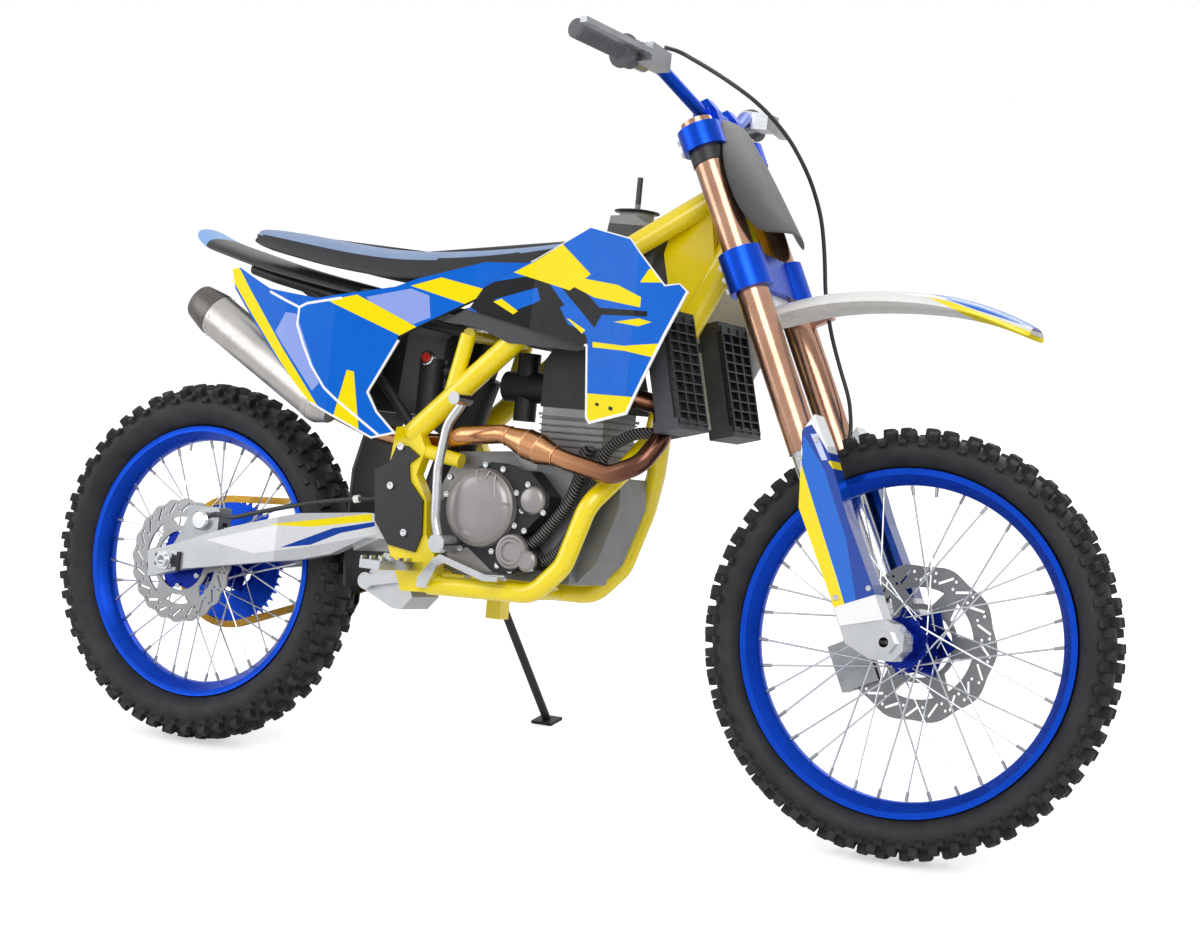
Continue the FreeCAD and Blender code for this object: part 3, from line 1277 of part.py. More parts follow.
def chain_guide():
    """Guide plates hung from the left arm on both sides of the lower chain run."""
    outline = side_points(GUIDE_SHARES, (GUIDE_X, GUIDE_Z), (GUIDE_LENGTH, GUIDE_HEIGHT))
    gap = CHAIN_WIDTH / 2 + GUIDE_PLAY
    outer = prism(outline, CHAIN_LINE + gap, CHAIN_LINE + gap + GUIDE_THICKNESS)
    inner = prism(outline, CHAIN_LINE - gap - GUIDE_THICKNESS, CHAIN_LINE - gap)
    foot = side_points(GUIDE_FOOT_SHARES, (GUIDE_X, GUIDE_Z), (GUIDE_LENGTH, GUIDE_HEIGHT))
    floor = prism(foot, CHAIN_LINE - gap - GUIDE_THICKNESS, CHAIN_LINE + gap + GUIDE_THICKNESS)
    tab = prism(side_points(GUIDE_TAB_SHARES, (GUIDE_X, GUIDE_Z), (GUIDE_LENGTH, GUIDE_HEIGHT)),
                CHAIN_LINE + gap,
                ARM_REAR_Y - ARM_THICKNESS / 2)
    guide = fused([outer, inner, floor, tab])
    return guide.cut(swingarm()).cut(swingarm_bridge())


PEG_X = 538.0
PEG_Z = 392.0
PEG_LENGTH = 108.0
PEG_WIDTH = 52.0
PEG_THICKNESS = 15.0
PEG_RISE = 8.0
PEG_TEETH = 4
TOOTH_HEIGHT = 6.0
PEG_HINGE = 22.0
PEG_TIP_SHARE = 0.4
PEG_WALL_SHARE = 0.26
TOOTH_BACK_SHARE = 0.44
TOOTH_FRONT_SHARE = 0.34
TOOTH_START_SHARE = 0.35
TOOTH_WIDTH_SHARE = 0.07
TOOTH_LENGTH_SHARE = 0.12


def footpeg():
    """Left footpeg: hinge block, open platform and a row of teeth."""
    face = PLATE_INNER_Y + PLATE_THICKNESS + SEAT_GAP
    block = Part.makeBox(PEG_HINGE * 2, PEG_HINGE, PEG_THICKNESS,
                         V(PEG_X - PEG_HINGE, face, PEG_Z - PEG_THICKNESS))
    start = face + PEG_HINGE
    ring = [V(PEG_X - PEG_WIDTH / 2, start, PEG_Z - PEG_THICKNESS),
            V(PEG_X + PEG_WIDTH / 2, start, PEG_Z - PEG_THICKNESS),
            V(PEG_X + PEG_WIDTH * PEG_TIP_SHARE, start + PEG_LENGTH, PEG_Z - PEG_THICKNESS),
            V(PEG_X - PEG_WIDTH * PEG_TIP_SHARE, start + PEG_LENGTH, PEG_Z - PEG_THICKNESS)]
    plate = flat_face(ring).extrude(V(0, 0, PEG_THICKNESS))
    middle = (ring[0] + ring[1] + ring[2] + ring[3]) * QUARTER_SHARE
    hole = flat_face([p + (middle - p) * PEG_WALL_SHARE - V(0, 0, OVERRUN) for p in ring])
    platform = plate.cut(hole.extrude(V(0, 0, PEG_THICKNESS + 2 * OVERRUN)))
    teeth = []
    for k in range(PEG_TEETH):
        y = start + PEG_LENGTH * (k + TOOTH_START_SHARE) / PEG_TEETH
        for x in (PEG_X - PEG_WIDTH * TOOTH_BACK_SHARE, PEG_X + PEG_WIDTH * TOOTH_FRONT_SHARE):
            teeth.append(Part.makeBox(PEG_WIDTH * TOOTH_WIDTH_SHARE, PEG_LENGTH * TOOTH_LENGTH_SHARE,
                                      TOOTH_HEIGHT, V(x, y, PEG_Z)))
    return fused([block, platform] + teeth)


def footpegs():
    """The pair of footpegs."""
    return both_sides(footpeg())


PEDAL_Y = -141.0
PEDAL_THICKNESS = 8.0
PEDAL_X = 571.0
PEDAL_Z = 350.0
PEDAL_LENGTH = 175.0
PEDAL_HEIGHT = 62.0
PEDAL_SHARES = ((0.00, 0.00), (0.00, 0.26), (0.16, 0.84), (0.24, 0.98), (0.78, 0.56), (1.00, 0.60),
                (1.00, 0.42), (0.76, 0.38), (0.28, 0.76), (0.22, 0.66), (0.10, 0.00))
PEDAL_PAD = 30.0
SHIFT_X = 652.0
SHIFT_Z = 420.0
SHIFT_Y = 128.0
SHIFT_REACH = 118.0
SHIFT_DROP = 24.0
SHIFT_RADIUS = 6.0
SHIFT_PAD = 34.0
PAD_ALONG_SHARE = 0.86
PAD_HEIGHT_SHARE = 0.42
PAD_LENGTH_SHARE = 0.14


def foot_levers():
    """Rear brake pedal on the right and shift lever on the left."""
    outline = side_points(PEDAL_SHARES, (PEDAL_X, PEDAL_Z), (PEDAL_LENGTH, PEDAL_HEIGHT))
    arm = prism(outline, PEDAL_Y, PEDAL_Y + PEDAL_THICKNESS)
    boss_end = -(RAIL_Y + RAIL_RADIUS + SEAT_GAP)
    pivot = V(PEDAL_X + PEDAL_THICKNESS, PEDAL_Y, PEDAL_Z + PEDAL_THICKNESS)
    boss = rod(pivot, V(pivot.x, boss_end, pivot.z), PEDAL_THICKNESS)
    pad_x = PEDAL_X + PEDAL_LENGTH * PAD_ALONG_SHARE
    pad_z = PEDAL_Z + PEDAL_HEIGHT * PAD_HEIGHT_SHARE
    pad = Part.makeBox(PEDAL_LENGTH * PAD_LENGTH_SHARE, PEDAL_PAD, PEDAL_THICKNESS,
                       V(pad_x, PEDAL_Y - PEDAL_PAD + PEDAL_THICKNESS, pad_z))
    pedal = fused([arm, boss, pad])
    shaft = rod(V(SHIFT_X, CASE_HALF_WIDTH + SEAT_GAP, SHIFT_Z), V(SHIFT_X, SHIFT_Y, SHIFT_Z), SHIFT_RADIUS)
    tip = V(SHIFT_X + SHIFT_REACH, SHIFT_Y, SHIFT_Z - SHIFT_DROP)
    lever = rod(V(SHIFT_X, SHIFT_Y, SHIFT_Z), tip, SHIFT_RADIUS)
    peg = rod(tip, tip + V(0, SHIFT_PAD, 0), SHIFT_RADIUS)
    return Part.makeCompound([pedal, fused([shaft, lever, peg])])


KICK_Y = -166.0
KICK_X = 608.0
KICK_Z = 430.0
KICK_LENGTH = 44.0
KICK_HEIGHT = 250.0
KICK_RADIUS = 8.0
KICK_BOSS = 16.0
KICK_BEND = 60.0
KICK_SHARES = ((0.40, 0.00), (0.10, 0.16), (0.00, 0.51), (0.25, 0.82), (0.95, 1.00))
KICK_PAD = 36.0
KICK_PAD_RADIUS = 11.0


def kick_starter():
    """Kick lever folded up along the engine, on its splined boss."""
    points = [V(KICK_X + a * KICK_LENGTH, KICK_Y, KICK_Z + b * KICK_HEIGHT) for a, b in KICK_SHARES]
    lever = tube(points, KICK_RADIUS, KICK_BEND)
    seat_y = -CASE_RIGHT_WIDTH - COVER_DEPTH
    boss_y = KICK_Y - KICK_PAD_RADIUS
    boss = rod(V(points[0].x, seat_y, points[0].z), V(points[0].x, boss_y, points[0].z), KICK_BOSS)
    top = points[-1]
    pad = rod(top + V(0, KICK_PAD_RADIUS, 0), top - V(0, KICK_PAD, 0), KICK_PAD_RADIUS)
    return fused([lever, boss, pad])


CALIPER_X = 20.0
CALIPER_Z = 392.0
CALIPER_LENGTH = 74.0
CALIPER_HEIGHT = 54.0
CALIPER_INNER = 58.0
DISC_CLEARANCE = 5.0
BRACKET_THICKNESS = 8.0
BRACKET_SHARES = ((-0.50, -0.66), (0.00, -1.28), (0.30, -1.20), (0.62, -0.10), (1.00, 0.10), (1.00, 0.80),
                  (0.10, 0.80), (-0.30, -0.30))


def rear_caliper():
    """Caliper astride the rear disc on a bracket that the axle carries."""
    outer = -ARM_REAR_Y + ARM_THICKNESS + SEAT_GAP
    body = Part.makeBox(CALIPER_LENGTH, -outer - CALIPER_INNER, CALIPER_HEIGHT,
                        V(CALIPER_X, outer, CALIPER_Z))
    outline = side_points(BRACKET_SHARES, (CALIPER_X, CALIPER_Z), (CALIPER_LENGTH, CALIPER_HEIGHT))
    bracket = prism(outline, outer, outer + BRACKET_THICKNESS)
    slot_half = DISC_THICKNESS / 2 + DISC_CLEARANCE
    slot = Part.makeCylinder(REAR_DISC_RADIUS + DISC_CLEARANCE, 2 * slot_half,
                             REAR_AXLE - ACROSS * (REAR_DISC_Y + slot_half), ACROSS)
    hole = Part.makeCylinder(AXLE_RADIUS + FIT_GAP, 2 * ARM_REAR_Y, REAR_AXLE - ACROSS * 2 * ARM_REAR_Y,
                             ACROSS)
    carrier_y = -(REAR_DISC_Y - DISC_THICKNESS / 2 - FLANGE_THICKNESS - DISC_CLEARANCE)
    carrier = Part.makeCylinder(REAR_CARRIER + DISC_CLEARANCE, slot_half,
                                REAR_AXLE + ACROSS * (carrier_y - slot_half), ACROSS)
    return fused([body, bracket]).cut(slot).cut(carrier).cut(hole)


GUARD_X = 445.0
GUARD_Z = 408.0
GUARD_LENGTH = 111.0
GUARD_HEIGHT = 198.0
GUARD_THICKNESS = 5.0
GUARD_SHARES = ((0.38, 0.93), (0.58, 0.93), (0.81, 0.85), (0.63, 0.77), (0.68, 0.62), (0.96, 0.46),
                (1.00, 0.16), (0.90, 0.00), (0.38, 0.04), (0.09, 0.24), (0.00, 0.69), (0.27, 0.77))


def frame_guards():
    """Black guard plates outside the pivot plates."""
    outline = side_points(GUARD_SHARES, (GUARD_X, GUARD_Z), (GUARD_LENGTH, GUARD_HEIGHT))
    face = PLATE_INNER_Y + PLATE_THICKNESS + SEAT_GAP
    return both_sides(prism(outline, face, face + GUARD_THICKNESS))


COLLAR_RADIUS = 17.0


def nut(y_from, y_to, radius):
    """A hexagon about the axle line."""
    corners = [wheel_point(radius, y_from, k * math.pi / 3) for k in range(6)]
    return flat_face(corners).extrude(V(0, y_to - y_from, 0))


def axle(half, nut_seat):
    """Hollow wheel axle with a head on one end and a nut on the other."""
    shaft = Part.makeCylinder(AXLE_RADIUS, 2 * half, V(0, -half, 0), ACROSS)
    heads = [nut(side * nut_seat, side * (nut_seat + AXLE_NUT_WIDTH), AXLE_NUT) for side in SIDES]
    bore = Part.makeCylinder(AXLE_BORE, THROUGH_SHARE * half, V(0, -2 * half, 0), ACROSS)
    return fused([shaft] + heads).cut(bore)


def collar(y_from, y_to):
    """A spacer on the axle."""
    ring = Part.makeCylinder(COLLAR_RADIUS, abs(y_to - y_from), V(0, min(y_from, y_to), 0), ACROSS)
    return ring


def rear_axle():
    """Rear axle with its spacers between hub and swingarm."""
    seat_y = ARM_REAR_Y + SEAT_GAP
    shaft = axle(seat_y + AXLE_NUT_WIDTH + OVERRUN / 2, seat_y)
    inner = REAR_HUB_HALF + 2 * FIT_GAP
    left = collar(inner, ARM_REAR_Y - ARM_THICKNESS - SEAT_GAP)
    right = collar(-inner, -(ARM_REAR_Y - ARM_THICKNESS - BRACKET_THICKNESS - 2 * SEAT_GAP))
    bore = Part.makeCylinder(AXLE_BORE, THROUGH_SHARE * seat_y, V(0, -2 * seat_y, 0), ACROSS)
    return fused([shaft, left, right]).cut(bore).translated(REAR_AXLE)


# Fork
CLAMP_LOW = 618.0
CLAMP_LOW_TOP = 687.0
CLAMP_HIGH = 872.0
CLAMP_HIGH_TOP = 912.0
CLAMP_WALL = 10.0
OUTER_RADIUS = 27.0
OUTER_LOW = 336.0
OUTER_HIGH = 924.0
SLIDER_RADIUS = 24.0
SLIDER_LOW = 40.0
SLIDER_OVERLAP = 60.0
FOOT_INNER_Y = 72.0
FOOT_OUTER_Y = 122.0
FOOT_EYE = 32.0
CLAMP_BRIDGE_AHEAD = 20.0
CLAMP_BRIDGE_BACK = 40.0
# Half width of the bridge behind the stem, narrow so that it passes under the downtube at full lock
CLAMP_BACK_SHARE = 0.15


def clamp_plate(low, high):
    """One triple clamp: a ring for each leg and the bridge over the stem."""
    radius = OUTER_RADIUS + CLAMP_WALL
    rings = [rod(leg(0, low, side * LEG_HALF_SPACING), leg(0, high, side * LEG_HALF_SPACING),
                 radius) for side in SIDES]
    corners = [leg(CLAMP_BRIDGE_AHEAD, low, -LEG_HALF_SPACING),
               leg(CLAMP_BRIDGE_AHEAD, low, LEG_HALF_SPACING),
               leg(-CLAMP_WALL, low, LEG_HALF_SPACING),
               leg(-CLAMP_BRIDGE_BACK, low, LEG_HALF_SPACING * CLAMP_BACK_SHARE),
               leg(-CLAMP_BRIDGE_BACK, low, -LEG_HALF_SPACING * CLAMP_BACK_SHARE),
               leg(-CLAMP_WALL, low, -LEG_HALF_SPACING)]
    bridge = flat_face(corners).extrude(UP_AXIS * (high - low))
    plate = fused(rings + [bridge])
    for side in SIDES:
        plate = plate.cut(rod(leg(0, low - OVERRUN, side * LEG_HALF_SPACING),
                              leg(0, high + OVERRUN, side * LEG_HALF_SPACING), OUTER_RADIUS + FIT_GAP))
    return plate


BAR_HEIGHT = 944.0
BAR_AHEAD = 6.0
BAR_RADIUS = 14.3
RISER_Y = 46.0
RISER_HALF = 14.0
RISER_DEPTH = 22.0
RISER_TOP_SHARE = 0.6


def triple_clamps():
    """Lower and upper clamp on the steering stem, with the handlebar risers."""
    stem = rod(on_axis(CLAMP_LOW), on_axis(CLAMP_HIGH_TOP), STEM_RADIUS)
    pieces = [clamp_plate(CLAMP_LOW, CLAMP_LOW_TOP), clamp_plate(CLAMP_HIGH, CLAMP_HIGH_TOP), stem]
    top = BAR_HEIGHT + BAR_RADIUS + CLAMP_WALL
    profile = [(BAR_AHEAD - RISER_DEPTH, CLAMP_HIGH_TOP - OVERRUN),
               (BAR_AHEAD + RISER_DEPTH, CLAMP_HIGH_TOP - OVERRUN),
               (BAR_AHEAD + RISER_DEPTH, BAR_HEIGHT), (BAR_AHEAD + RISER_DEPTH * RISER_TOP_SHARE, top),
               (BAR_AHEAD - RISER_DEPTH * RISER_TOP_SHARE, top), (BAR_AHEAD - RISER_DEPTH, BAR_HEIGHT)]
    for side in SIDES:
        y = side * RISER_Y
        pieces.append(leg_prism(profile, y - RISER_HALF, y + RISER_HALF))
    bore = rod(leg(BAR_AHEAD, BAR_HEIGHT, -2 * RISER_Y), leg(BAR_AHEAD, BAR_HEIGHT, 2 * RISER_Y),
               BAR_RADIUS + FIT_GAP)
    return fused(pieces).cut(bore)


def fork_outers():
    """Upper fork tubes through both clamps."""
    tubes = []
    for side in SIDES:
        y = side * LEG_HALF_SPACING
        outer = rod(leg(0, OUTER_LOW, y), leg(0, OUTER_HIGH, y), OUTER_RADIUS)
        inner = rod(leg(0, OUTER_LOW - OVERRUN, y), leg(0, OUTER_LOW + SLIDER_OVERLAP, y),
                    SLIDER_RADIUS + FIT_GAP)
        if side == LEFT:
            outer = fused([outer, hose_clip()])
        tubes.append(outer.cut(inner))
    return Part.makeCompound(tubes)


FOOT_HEIGHT = 80.0
FOOT_DEPTH = 30.0
FOOT_WAIST_SHARE = 0.25
FOOT_BROW_SHARE = 0.6
FOOT_EYE_SHARE = 0.7


def fork_foot(side):
    """Cast foot at the end of one slider, with the eye that holds the axle."""
    y_from = side * FOOT_INNER_Y
    y_to = side * FOOT_OUTER_Y
    outline = [(-FOOT_DEPTH, FOOT_HEIGHT), (-FOOT_DEPTH, FOOT_HEIGHT * FOOT_WAIST_SHARE), (0, -FOOT_EYE / 2),
               (AXLE_LEAD, -FOOT_EYE), (AXLE_LEAD + FOOT_EYE * FOOT_EYE_SHARE, -FOOT_EYE * FOOT_EYE_SHARE),
               (AXLE_LEAD + FOOT_EYE, 0), (AXLE_LEAD + FOOT_EYE * FOOT_EYE_SHARE,
                                           FOOT_EYE * FOOT_EYE_SHARE),
                                           (FOOT_DEPTH, FOOT_HEIGHT * FOOT_BROW_SHARE),
               (FOOT_DEPTH, FOOT_HEIGHT)]
    body = leg_prism(outline, y_from, y_to)
    hole = Part.makeCylinder(AXLE_RADIUS + FIT_GAP, THROUGH_SHARE * FOOT_OUTER_Y,
                             FRONT_AXLE - ACROSS * 2 * FOOT_OUTER_Y, ACROSS)
    return body.cut(hole)


def fork_sliders():
    """Chromed lower tubes with their axle feet."""
    legs = []
    for side in SIDES:
        y = side * LEG_HALF_SPACING
        tube_part = rod(leg(0, SLIDER_LOW, y), leg(0, OUTER_LOW + SLIDER_OVERLAP - SEAT_GAP, y),
                        SLIDER_RADIUS)
        legs.append(fused([tube_part, fork_foot(side)]))
    return Part.makeCompound(legs)


FORK_GUARD_GAP = 4.0
FORK_GUARD_THICKNESS = 3.5
FORK_GUARD_LOW = 34.0
FORK_GUARD_HEIGHT = 346.0
FORK_GUARD_BACK = 30.0
FORK_GUARD_DEPTH = 76.0
FORK_GUARD_SHARES = ((0.05, 0.04), (0.05, 0.12), (0.00, 0.62), (0.60, 0.95), (0.97, 1.00), (1.00, 0.84),
                     (0.94, 0.50), (0.98, 0.17), (0.98, 0.00))
FORK_GUARD_LIP = 4 * FORK_GUARD_THICKNESS


def fork_guards():
    """Plastic guards outside and in front of the sliders."""
    outline = [(-FORK_GUARD_BACK + a * FORK_GUARD_DEPTH, FORK_GUARD_LOW + b * FORK_GUARD_HEIGHT)
               for a, b in FORK_GUARD_SHARES]
    outer_y = FOOT_OUTER_Y + FORK_GUARD_GAP
    wall = leg_prism(outline, outer_y, outer_y + FORK_GUARD_THICKNESS)
    front_band = leg_prism(outline, LEG_HALF_SPACING - OUTER_RADIUS / 2, outer_y)
    front = FORK_GUARD_DEPTH - FORK_GUARD_BACK
    keep = leg_prism([(front - FORK_GUARD_LIP, 0), (front + OVERRUN, 0),
                      (front + OVERRUN, FORK_GUARD_LOW + 2 * FORK_GUARD_HEIGHT),
                      (front - FORK_GUARD_LIP, FORK_GUARD_LOW + 2 * FORK_GUARD_HEIGHT)],
                     LEG_HALF_SPACING - OUTER_RADIUS, outer_y)
    lip = front_band.common(keep)
    guard = fused([wall, lip])
    boss_half = SLIDER_RADIUS / 2
    boss_low = FORK_GUARD_LOW + OVERRUN
    boss_high = FORK_GUARD_LOW + LONG_OVERRUN
    boss_outline = [(-boss_half, boss_low), (boss_half, boss_low), (boss_half, boss_high),
                    (-boss_half, boss_high)]
    boss = leg_prism(boss_outline, FOOT_OUTER_Y + SEAT_GAP, outer_y)
    shell = fused([guard, boss])
    clear = rod(leg(0, OUTER_LOW - SEAT_GAP, LEG_HALF_SPACING), leg(0, OUTER_HIGH, LEG_HALF_SPACING),
                OUTER_RADIUS + SEAT_GAP)
    return both_sides(shell.cut(clear).cut(fork_foot(LEFT)))


def front_axle():
    """Front axle through both fork feet, with spacers to the hub."""
    seat_y = FOOT_OUTER_Y + SEAT_GAP
    shaft = axle(seat_y + AXLE_NUT_WIDTH, seat_y)
    rings = [collar(side * (FRONT_HUB_HALF + 2 * FIT_GAP),
                    side * (FOOT_INNER_Y - SEAT_GAP)) for side in SIDES]
    bore = Part.makeCylinder(AXLE_BORE, THROUGH_SHARE * seat_y, V(0, -2 * seat_y, 0), ACROSS)
    return fused([shaft] + rings).cut(bore).translated(FRONT_AXLE)


BAR_HALF_LENGTH = 400.0
BAR_RISE = 62.0
BAR_SWEEP = 88.0
GRIP_RADIUS = 16.5
GRIP_LENGTH = 125.0
BAR_END_RADIUS = 11.0
BAR_BEND = 60.0
# Sideways, rearward and upward shares of the bar's half length, sweep and rise
BAR_SHARES = ((0.00, 0.00, 0.00), (0.19, 0.00, 0.00), (0.47, 0.34, 0.76), (1.00, 1.00, 1.00))


def bar_points(side):
    """Half of the handlebar's centre line, from the middle to one end."""
    middle = leg(BAR_AHEAD, BAR_HEIGHT, 0)
    return [middle + V(-b * BAR_SWEEP, side * a * BAR_HALF_LENGTH, c * BAR_RISE) for a, b, c in BAR_SHARES]


def handlebar():
    """Tapered handlebar, swept back and up from its clamps."""
    right = bar_points(RIGHT)
    left = bar_points(LEFT)
    centre = rod(right[1], left[1], BAR_RADIUS)
    wings = [tube([points[0]] + points[1:], BAR_END_RADIUS, BAR_BEND) for points in (right, left)]
    return fused([centre] + wings)


GRIP_END_WALL = 1.8
GRIP_BORE_LAP = 1.0
GRIP_FLANGE_SHARE = 1.5


def grips():
    """Rubber grips with an inner flange."""
    pieces = []
    for side in SIDES:
        points = bar_points(side)
        along = unit(points[-2] - points[-1])
        end = points[-1] - along * GRIP_END_WALL
        start = points[-1] + along * GRIP_LENGTH
        sleeve = rod(end, start, GRIP_RADIUS)
        flange = rod(start - along * FLANGE_THICKNESS, start, GRIP_RADIUS * GRIP_FLANGE_SHARE)
        bore = rod(points[-1] - along * SEAT_GAP, start + along * GRIP_BORE_LAP, BAR_END_RADIUS + FIT_GAP)
        pieces.append(fused([sleeve, flange]).cut(bore))
    return Part.makeCompound(pieces)


PERCH_LENGTH = 46.0
PERCH_RADIUS = 19.0
LEVER_LENGTH = 165.0
LEVER_REACH = 52.0
LEVER_THICKNESS = 9.0
LEVER_DEPTH = 15.0
PERCH_GAP = 6.0
LEVER_BLOCK_SHARE = 0.75
LEVER_ROOT_SHARE = 0.85
LEVER_TIP_SHARE = 0.2
LEVER_FRONT_SHARE = 0.4
PERCH_DROP_SHARE = 0.8
PERCH_HEIGHT_SHARE = 1.6


def hand_lever(side):
    """Perch round the bar, master block ahead of it and the lever in front of the grip."""
    points = bar_points(side)
    along = unit(points[-2] - points[-1])
    start = points[-1] + along * (GRIP_LENGTH + PERCH_GAP)
    end = start + along * PERCH_LENGTH
    perch = rod(start, end, PERCH_RADIUS)
    ahead = unit(along.cross(V(0, 0, 1)) * -side)
    up = V(0, 0, 1)
    drop = up * (LEVER_THICKNESS / 2)
    inner_end = end + along * PERCH_RADIUS
    near = ahead * (PERCH_RADIUS / 2)
    block_corners = [start + near, inner_end + near, inner_end + ahead * LEVER_REACH * LEVER_BLOCK_SHARE,
                     start + ahead * LEVER_REACH]
    floor = flat_face([p - up * PERCH_RADIUS * PERCH_DROP_SHARE for p in block_corners])
    block = floor.extrude(up * PERCH_RADIUS * PERCH_HEIGHT_SHARE)
    root = start + ahead * LEVER_REACH * LEVER_ROOT_SHARE
    tip = root - along * LEVER_LENGTH + ahead * LEVER_DEPTH * LEVER_TIP_SHARE
    blade = [root - ahead * LEVER_DEPTH, root + ahead * LEVER_DEPTH * LEVER_FRONT_SHARE,
             tip + ahead * LEVER_DEPTH * LEVER_FRONT_SHARE,
             tip - ahead * (LEVER_DEPTH / 2)]
    lever = flat_face([p - drop for p in blade]).extrude(drop * 2)
    bore = rod(start - along * OVERRUN, end + along * LONG_OVERRUN, BAR_END_RADIUS + FIT_GAP)
    return fused([perch, block, lever]).cut(bore)


def hand_levers():
    """Front brake lever on the right and clutch lever on the left."""
    return Part.makeCompound([hand_lever(side) for side in SIDES])


FRONT_FENDER_X = 1125.0
FRONT_FENDER_LENGTH = 465.0
FRONT_FENDER_HALF = 80.0
FRONT_FENDER_Z = 858.0
FRONT_FENDER_RISE = 60.0
FRONT_FENDER_SKIRT = 24.0
FENDER_BOSS = 39.0
FRONT_FENDER_SHARES = ((0.00, 0.20, 0.74), (0.16, 0.66, 0.78), (0.34, 0.92, 0.90), (0.60, 1.00, 1.00),
                       (0.82, 0.78, 0.90), (1.00, 0.22, 0.58))


def front_fender():
    """High front fender bolted under the lower clamp."""
    stations = [(FRONT_FENDER_X + a * FRONT_FENDER_LENGTH, FRONT_FENDER_Z + b * FRONT_FENDER_RISE,
                 c * FRONT_FENDER_HALF) for a, b, c in FRONT_FENDER_SHARES]
    sheet = arched_sheet(stations, FRONT_FENDER_SKIRT, FENDER_SHEET)
    low = CLAMP_LOW - FENDER_BOSS
    boss = leg_prism([(-CLAMP_WALL, low), (CLAMP_WALL, low), (CLAMP_WALL, CLAMP_LOW - SEAT_GAP),
                      (-CLAMP_WALL, CLAMP_LOW - SEAT_GAP)], -RISER_Y, RISER_Y)
    return fused([sheet, boss])


BOARD_LOW = 700.0
BOARD_HIGH = 925.0
BOARD_THICKNESS = 3.5
BOARD_HALF = 128.0
BOARD_AHEAD = 78.0
# Plan line of the number board: sideways and forward shares
BOARD_PLAN_SHARES = ((-1.00, 0.45), (-0.70, 0.86), (-0.40, 1.00), (0.40, 1.00), (0.70, 0.86), (1.00, 0.45))
# Front view outline of the board: sideways share and height share
BOARD_FRONT_SHARES = ((-0.42, 1.00), (-1.00, 0.55), (-0.92, 0.12), (-0.50, 0.00), (0.50, 0.00), (0.92, 0.12),
                      (1.00, 0.55), (0.42, 1.00))
BOARD_REACH_SHARE = 1.02


def number_plate():
    """Front number board, folded back at both sides, on a strut from the upper clamp."""
    plan = [(a * BOARD_HALF * BOARD_REACH_SHARE, b * BOARD_AHEAD) for a, b in BOARD_PLAN_SHARES]
    outer = [leg(ahead, BOARD_LOW - OVERRUN, y) for y, ahead in plan]
    inner = [leg(ahead - BOARD_THICKNESS, BOARD_LOW - OVERRUN, y) for y, ahead in reversed(plan)]
    sheet = flat_face(outer + inner).extrude(UP_AXIS * (BOARD_HIGH - BOARD_LOW + 2 * OVERRUN))
    front = [leg(0, BOARD_LOW + b * (BOARD_HIGH - BOARD_LOW), a * BOARD_HALF) for a, b in BOARD_FRONT_SHARES]
    board = sheet.common(flat_face(front).extrude(AHEAD * BOARD_AHEAD * 2))
    middle = (CLAMP_HIGH + CLAMP_HIGH_TOP) / 2
    strut = leg_prism([(CLAMP_BRIDGE_AHEAD + SEAT_GAP, middle - OVERRUN),
                       (BOARD_AHEAD - BOARD_THICKNESS / 2, middle - OVERRUN),
                       (BOARD_AHEAD - BOARD_THICKNESS / 2, middle + OVERRUN),
                       (CLAMP_BRIDGE_AHEAD + SEAT_GAP, middle + OVERRUN)],
                      -OVERRUN, OVERRUN)
    return fused([board, strut])


FRONT_CALIPER_BACK = 114.0
FRONT_CALIPER_LENGTH = 64.0
FRONT_CALIPER_HEIGHT = 80.0
FRONT_CALIPER_LOW = -36.0
FRONT_CALIPER_INNER = 46.0
LUG_NEAR_RISE = 4 * OVERRUN
LUG_FAR_RISE = 6 * OVERRUN


def front_caliper():
    """Caliper astride the front disc, behind the left leg."""
    back = -FRONT_CALIPER_BACK
    near = back + FRONT_CALIPER_LENGTH
    top = FRONT_CALIPER_LOW + FRONT_CALIPER_HEIGHT
    outer = FOOT_INNER_Y + OVERRUN
    body = leg_prism([(back, FRONT_CALIPER_LOW), (near, FRONT_CALIPER_LOW), (near, top), (back, top)],
                     FRONT_CALIPER_INNER, outer)
    lug = leg_prism([(near - OVERRUN, FRONT_CALIPER_LOW + LUG_NEAR_RISE),
                     (-FOOT_DEPTH - SEAT_GAP, FRONT_CALIPER_LOW + LUG_FAR_RISE),
                     (-FOOT_DEPTH - SEAT_GAP, top + 2 * OVERRUN), (near - OVERRUN, top)],
                    FOOT_INNER_Y + SEAT_GAP, outer + OVERRUN)
    slot_half = DISC_THICKNESS / 2 + DISC_CLEARANCE
    slot = Part.makeCylinder(FRONT_DISC_RADIUS + DISC_CLEARANCE, 2 * slot_half,
                             FRONT_AXLE + ACROSS * (FRONT_DISC_Y - slot_half), ACROSS)
    return fused([body, lug]).cut(slot).cut(fork_foot(LEFT))


# Route of the front brake hose in leg coordinates: ahead, along, across
HOSE_LINE_RADIUS = 3.5
HOSE_LINE_BEND = 500.0
HOSE_ROUTE = ((26.8, 1017.5, -217.5), (36.0, 1015.7, -184.5), (80.0, 960.0, -156.0), (118.0, 900.0, -120.0),
              (132.0, 845.0, -62.0), (128.0, 785.0, -2.0), (112.0, 728.0, 46.0), (86.0, 672.0, 80.0),
              (60.0, 612.0, 97.0), (47.0, 545.0, 101.0), (43.0, 480.0, 101.0), (43.0, 430.0, 96.0),
              (36.0, 375.0, 72.0), (14.0, 330.0, 63.0), (-20.0, 270.0, 63.0), (-50.0, 190.0, 72.0),
              (-72.0, 110.0, 77.0), (-75.0, 44.3, 76.0))
CLIP_LOW = 570.0
CLIP_HIGH = 584.0
CLIP_HALF = 7.0
CLIP_AHEAD = 62.0


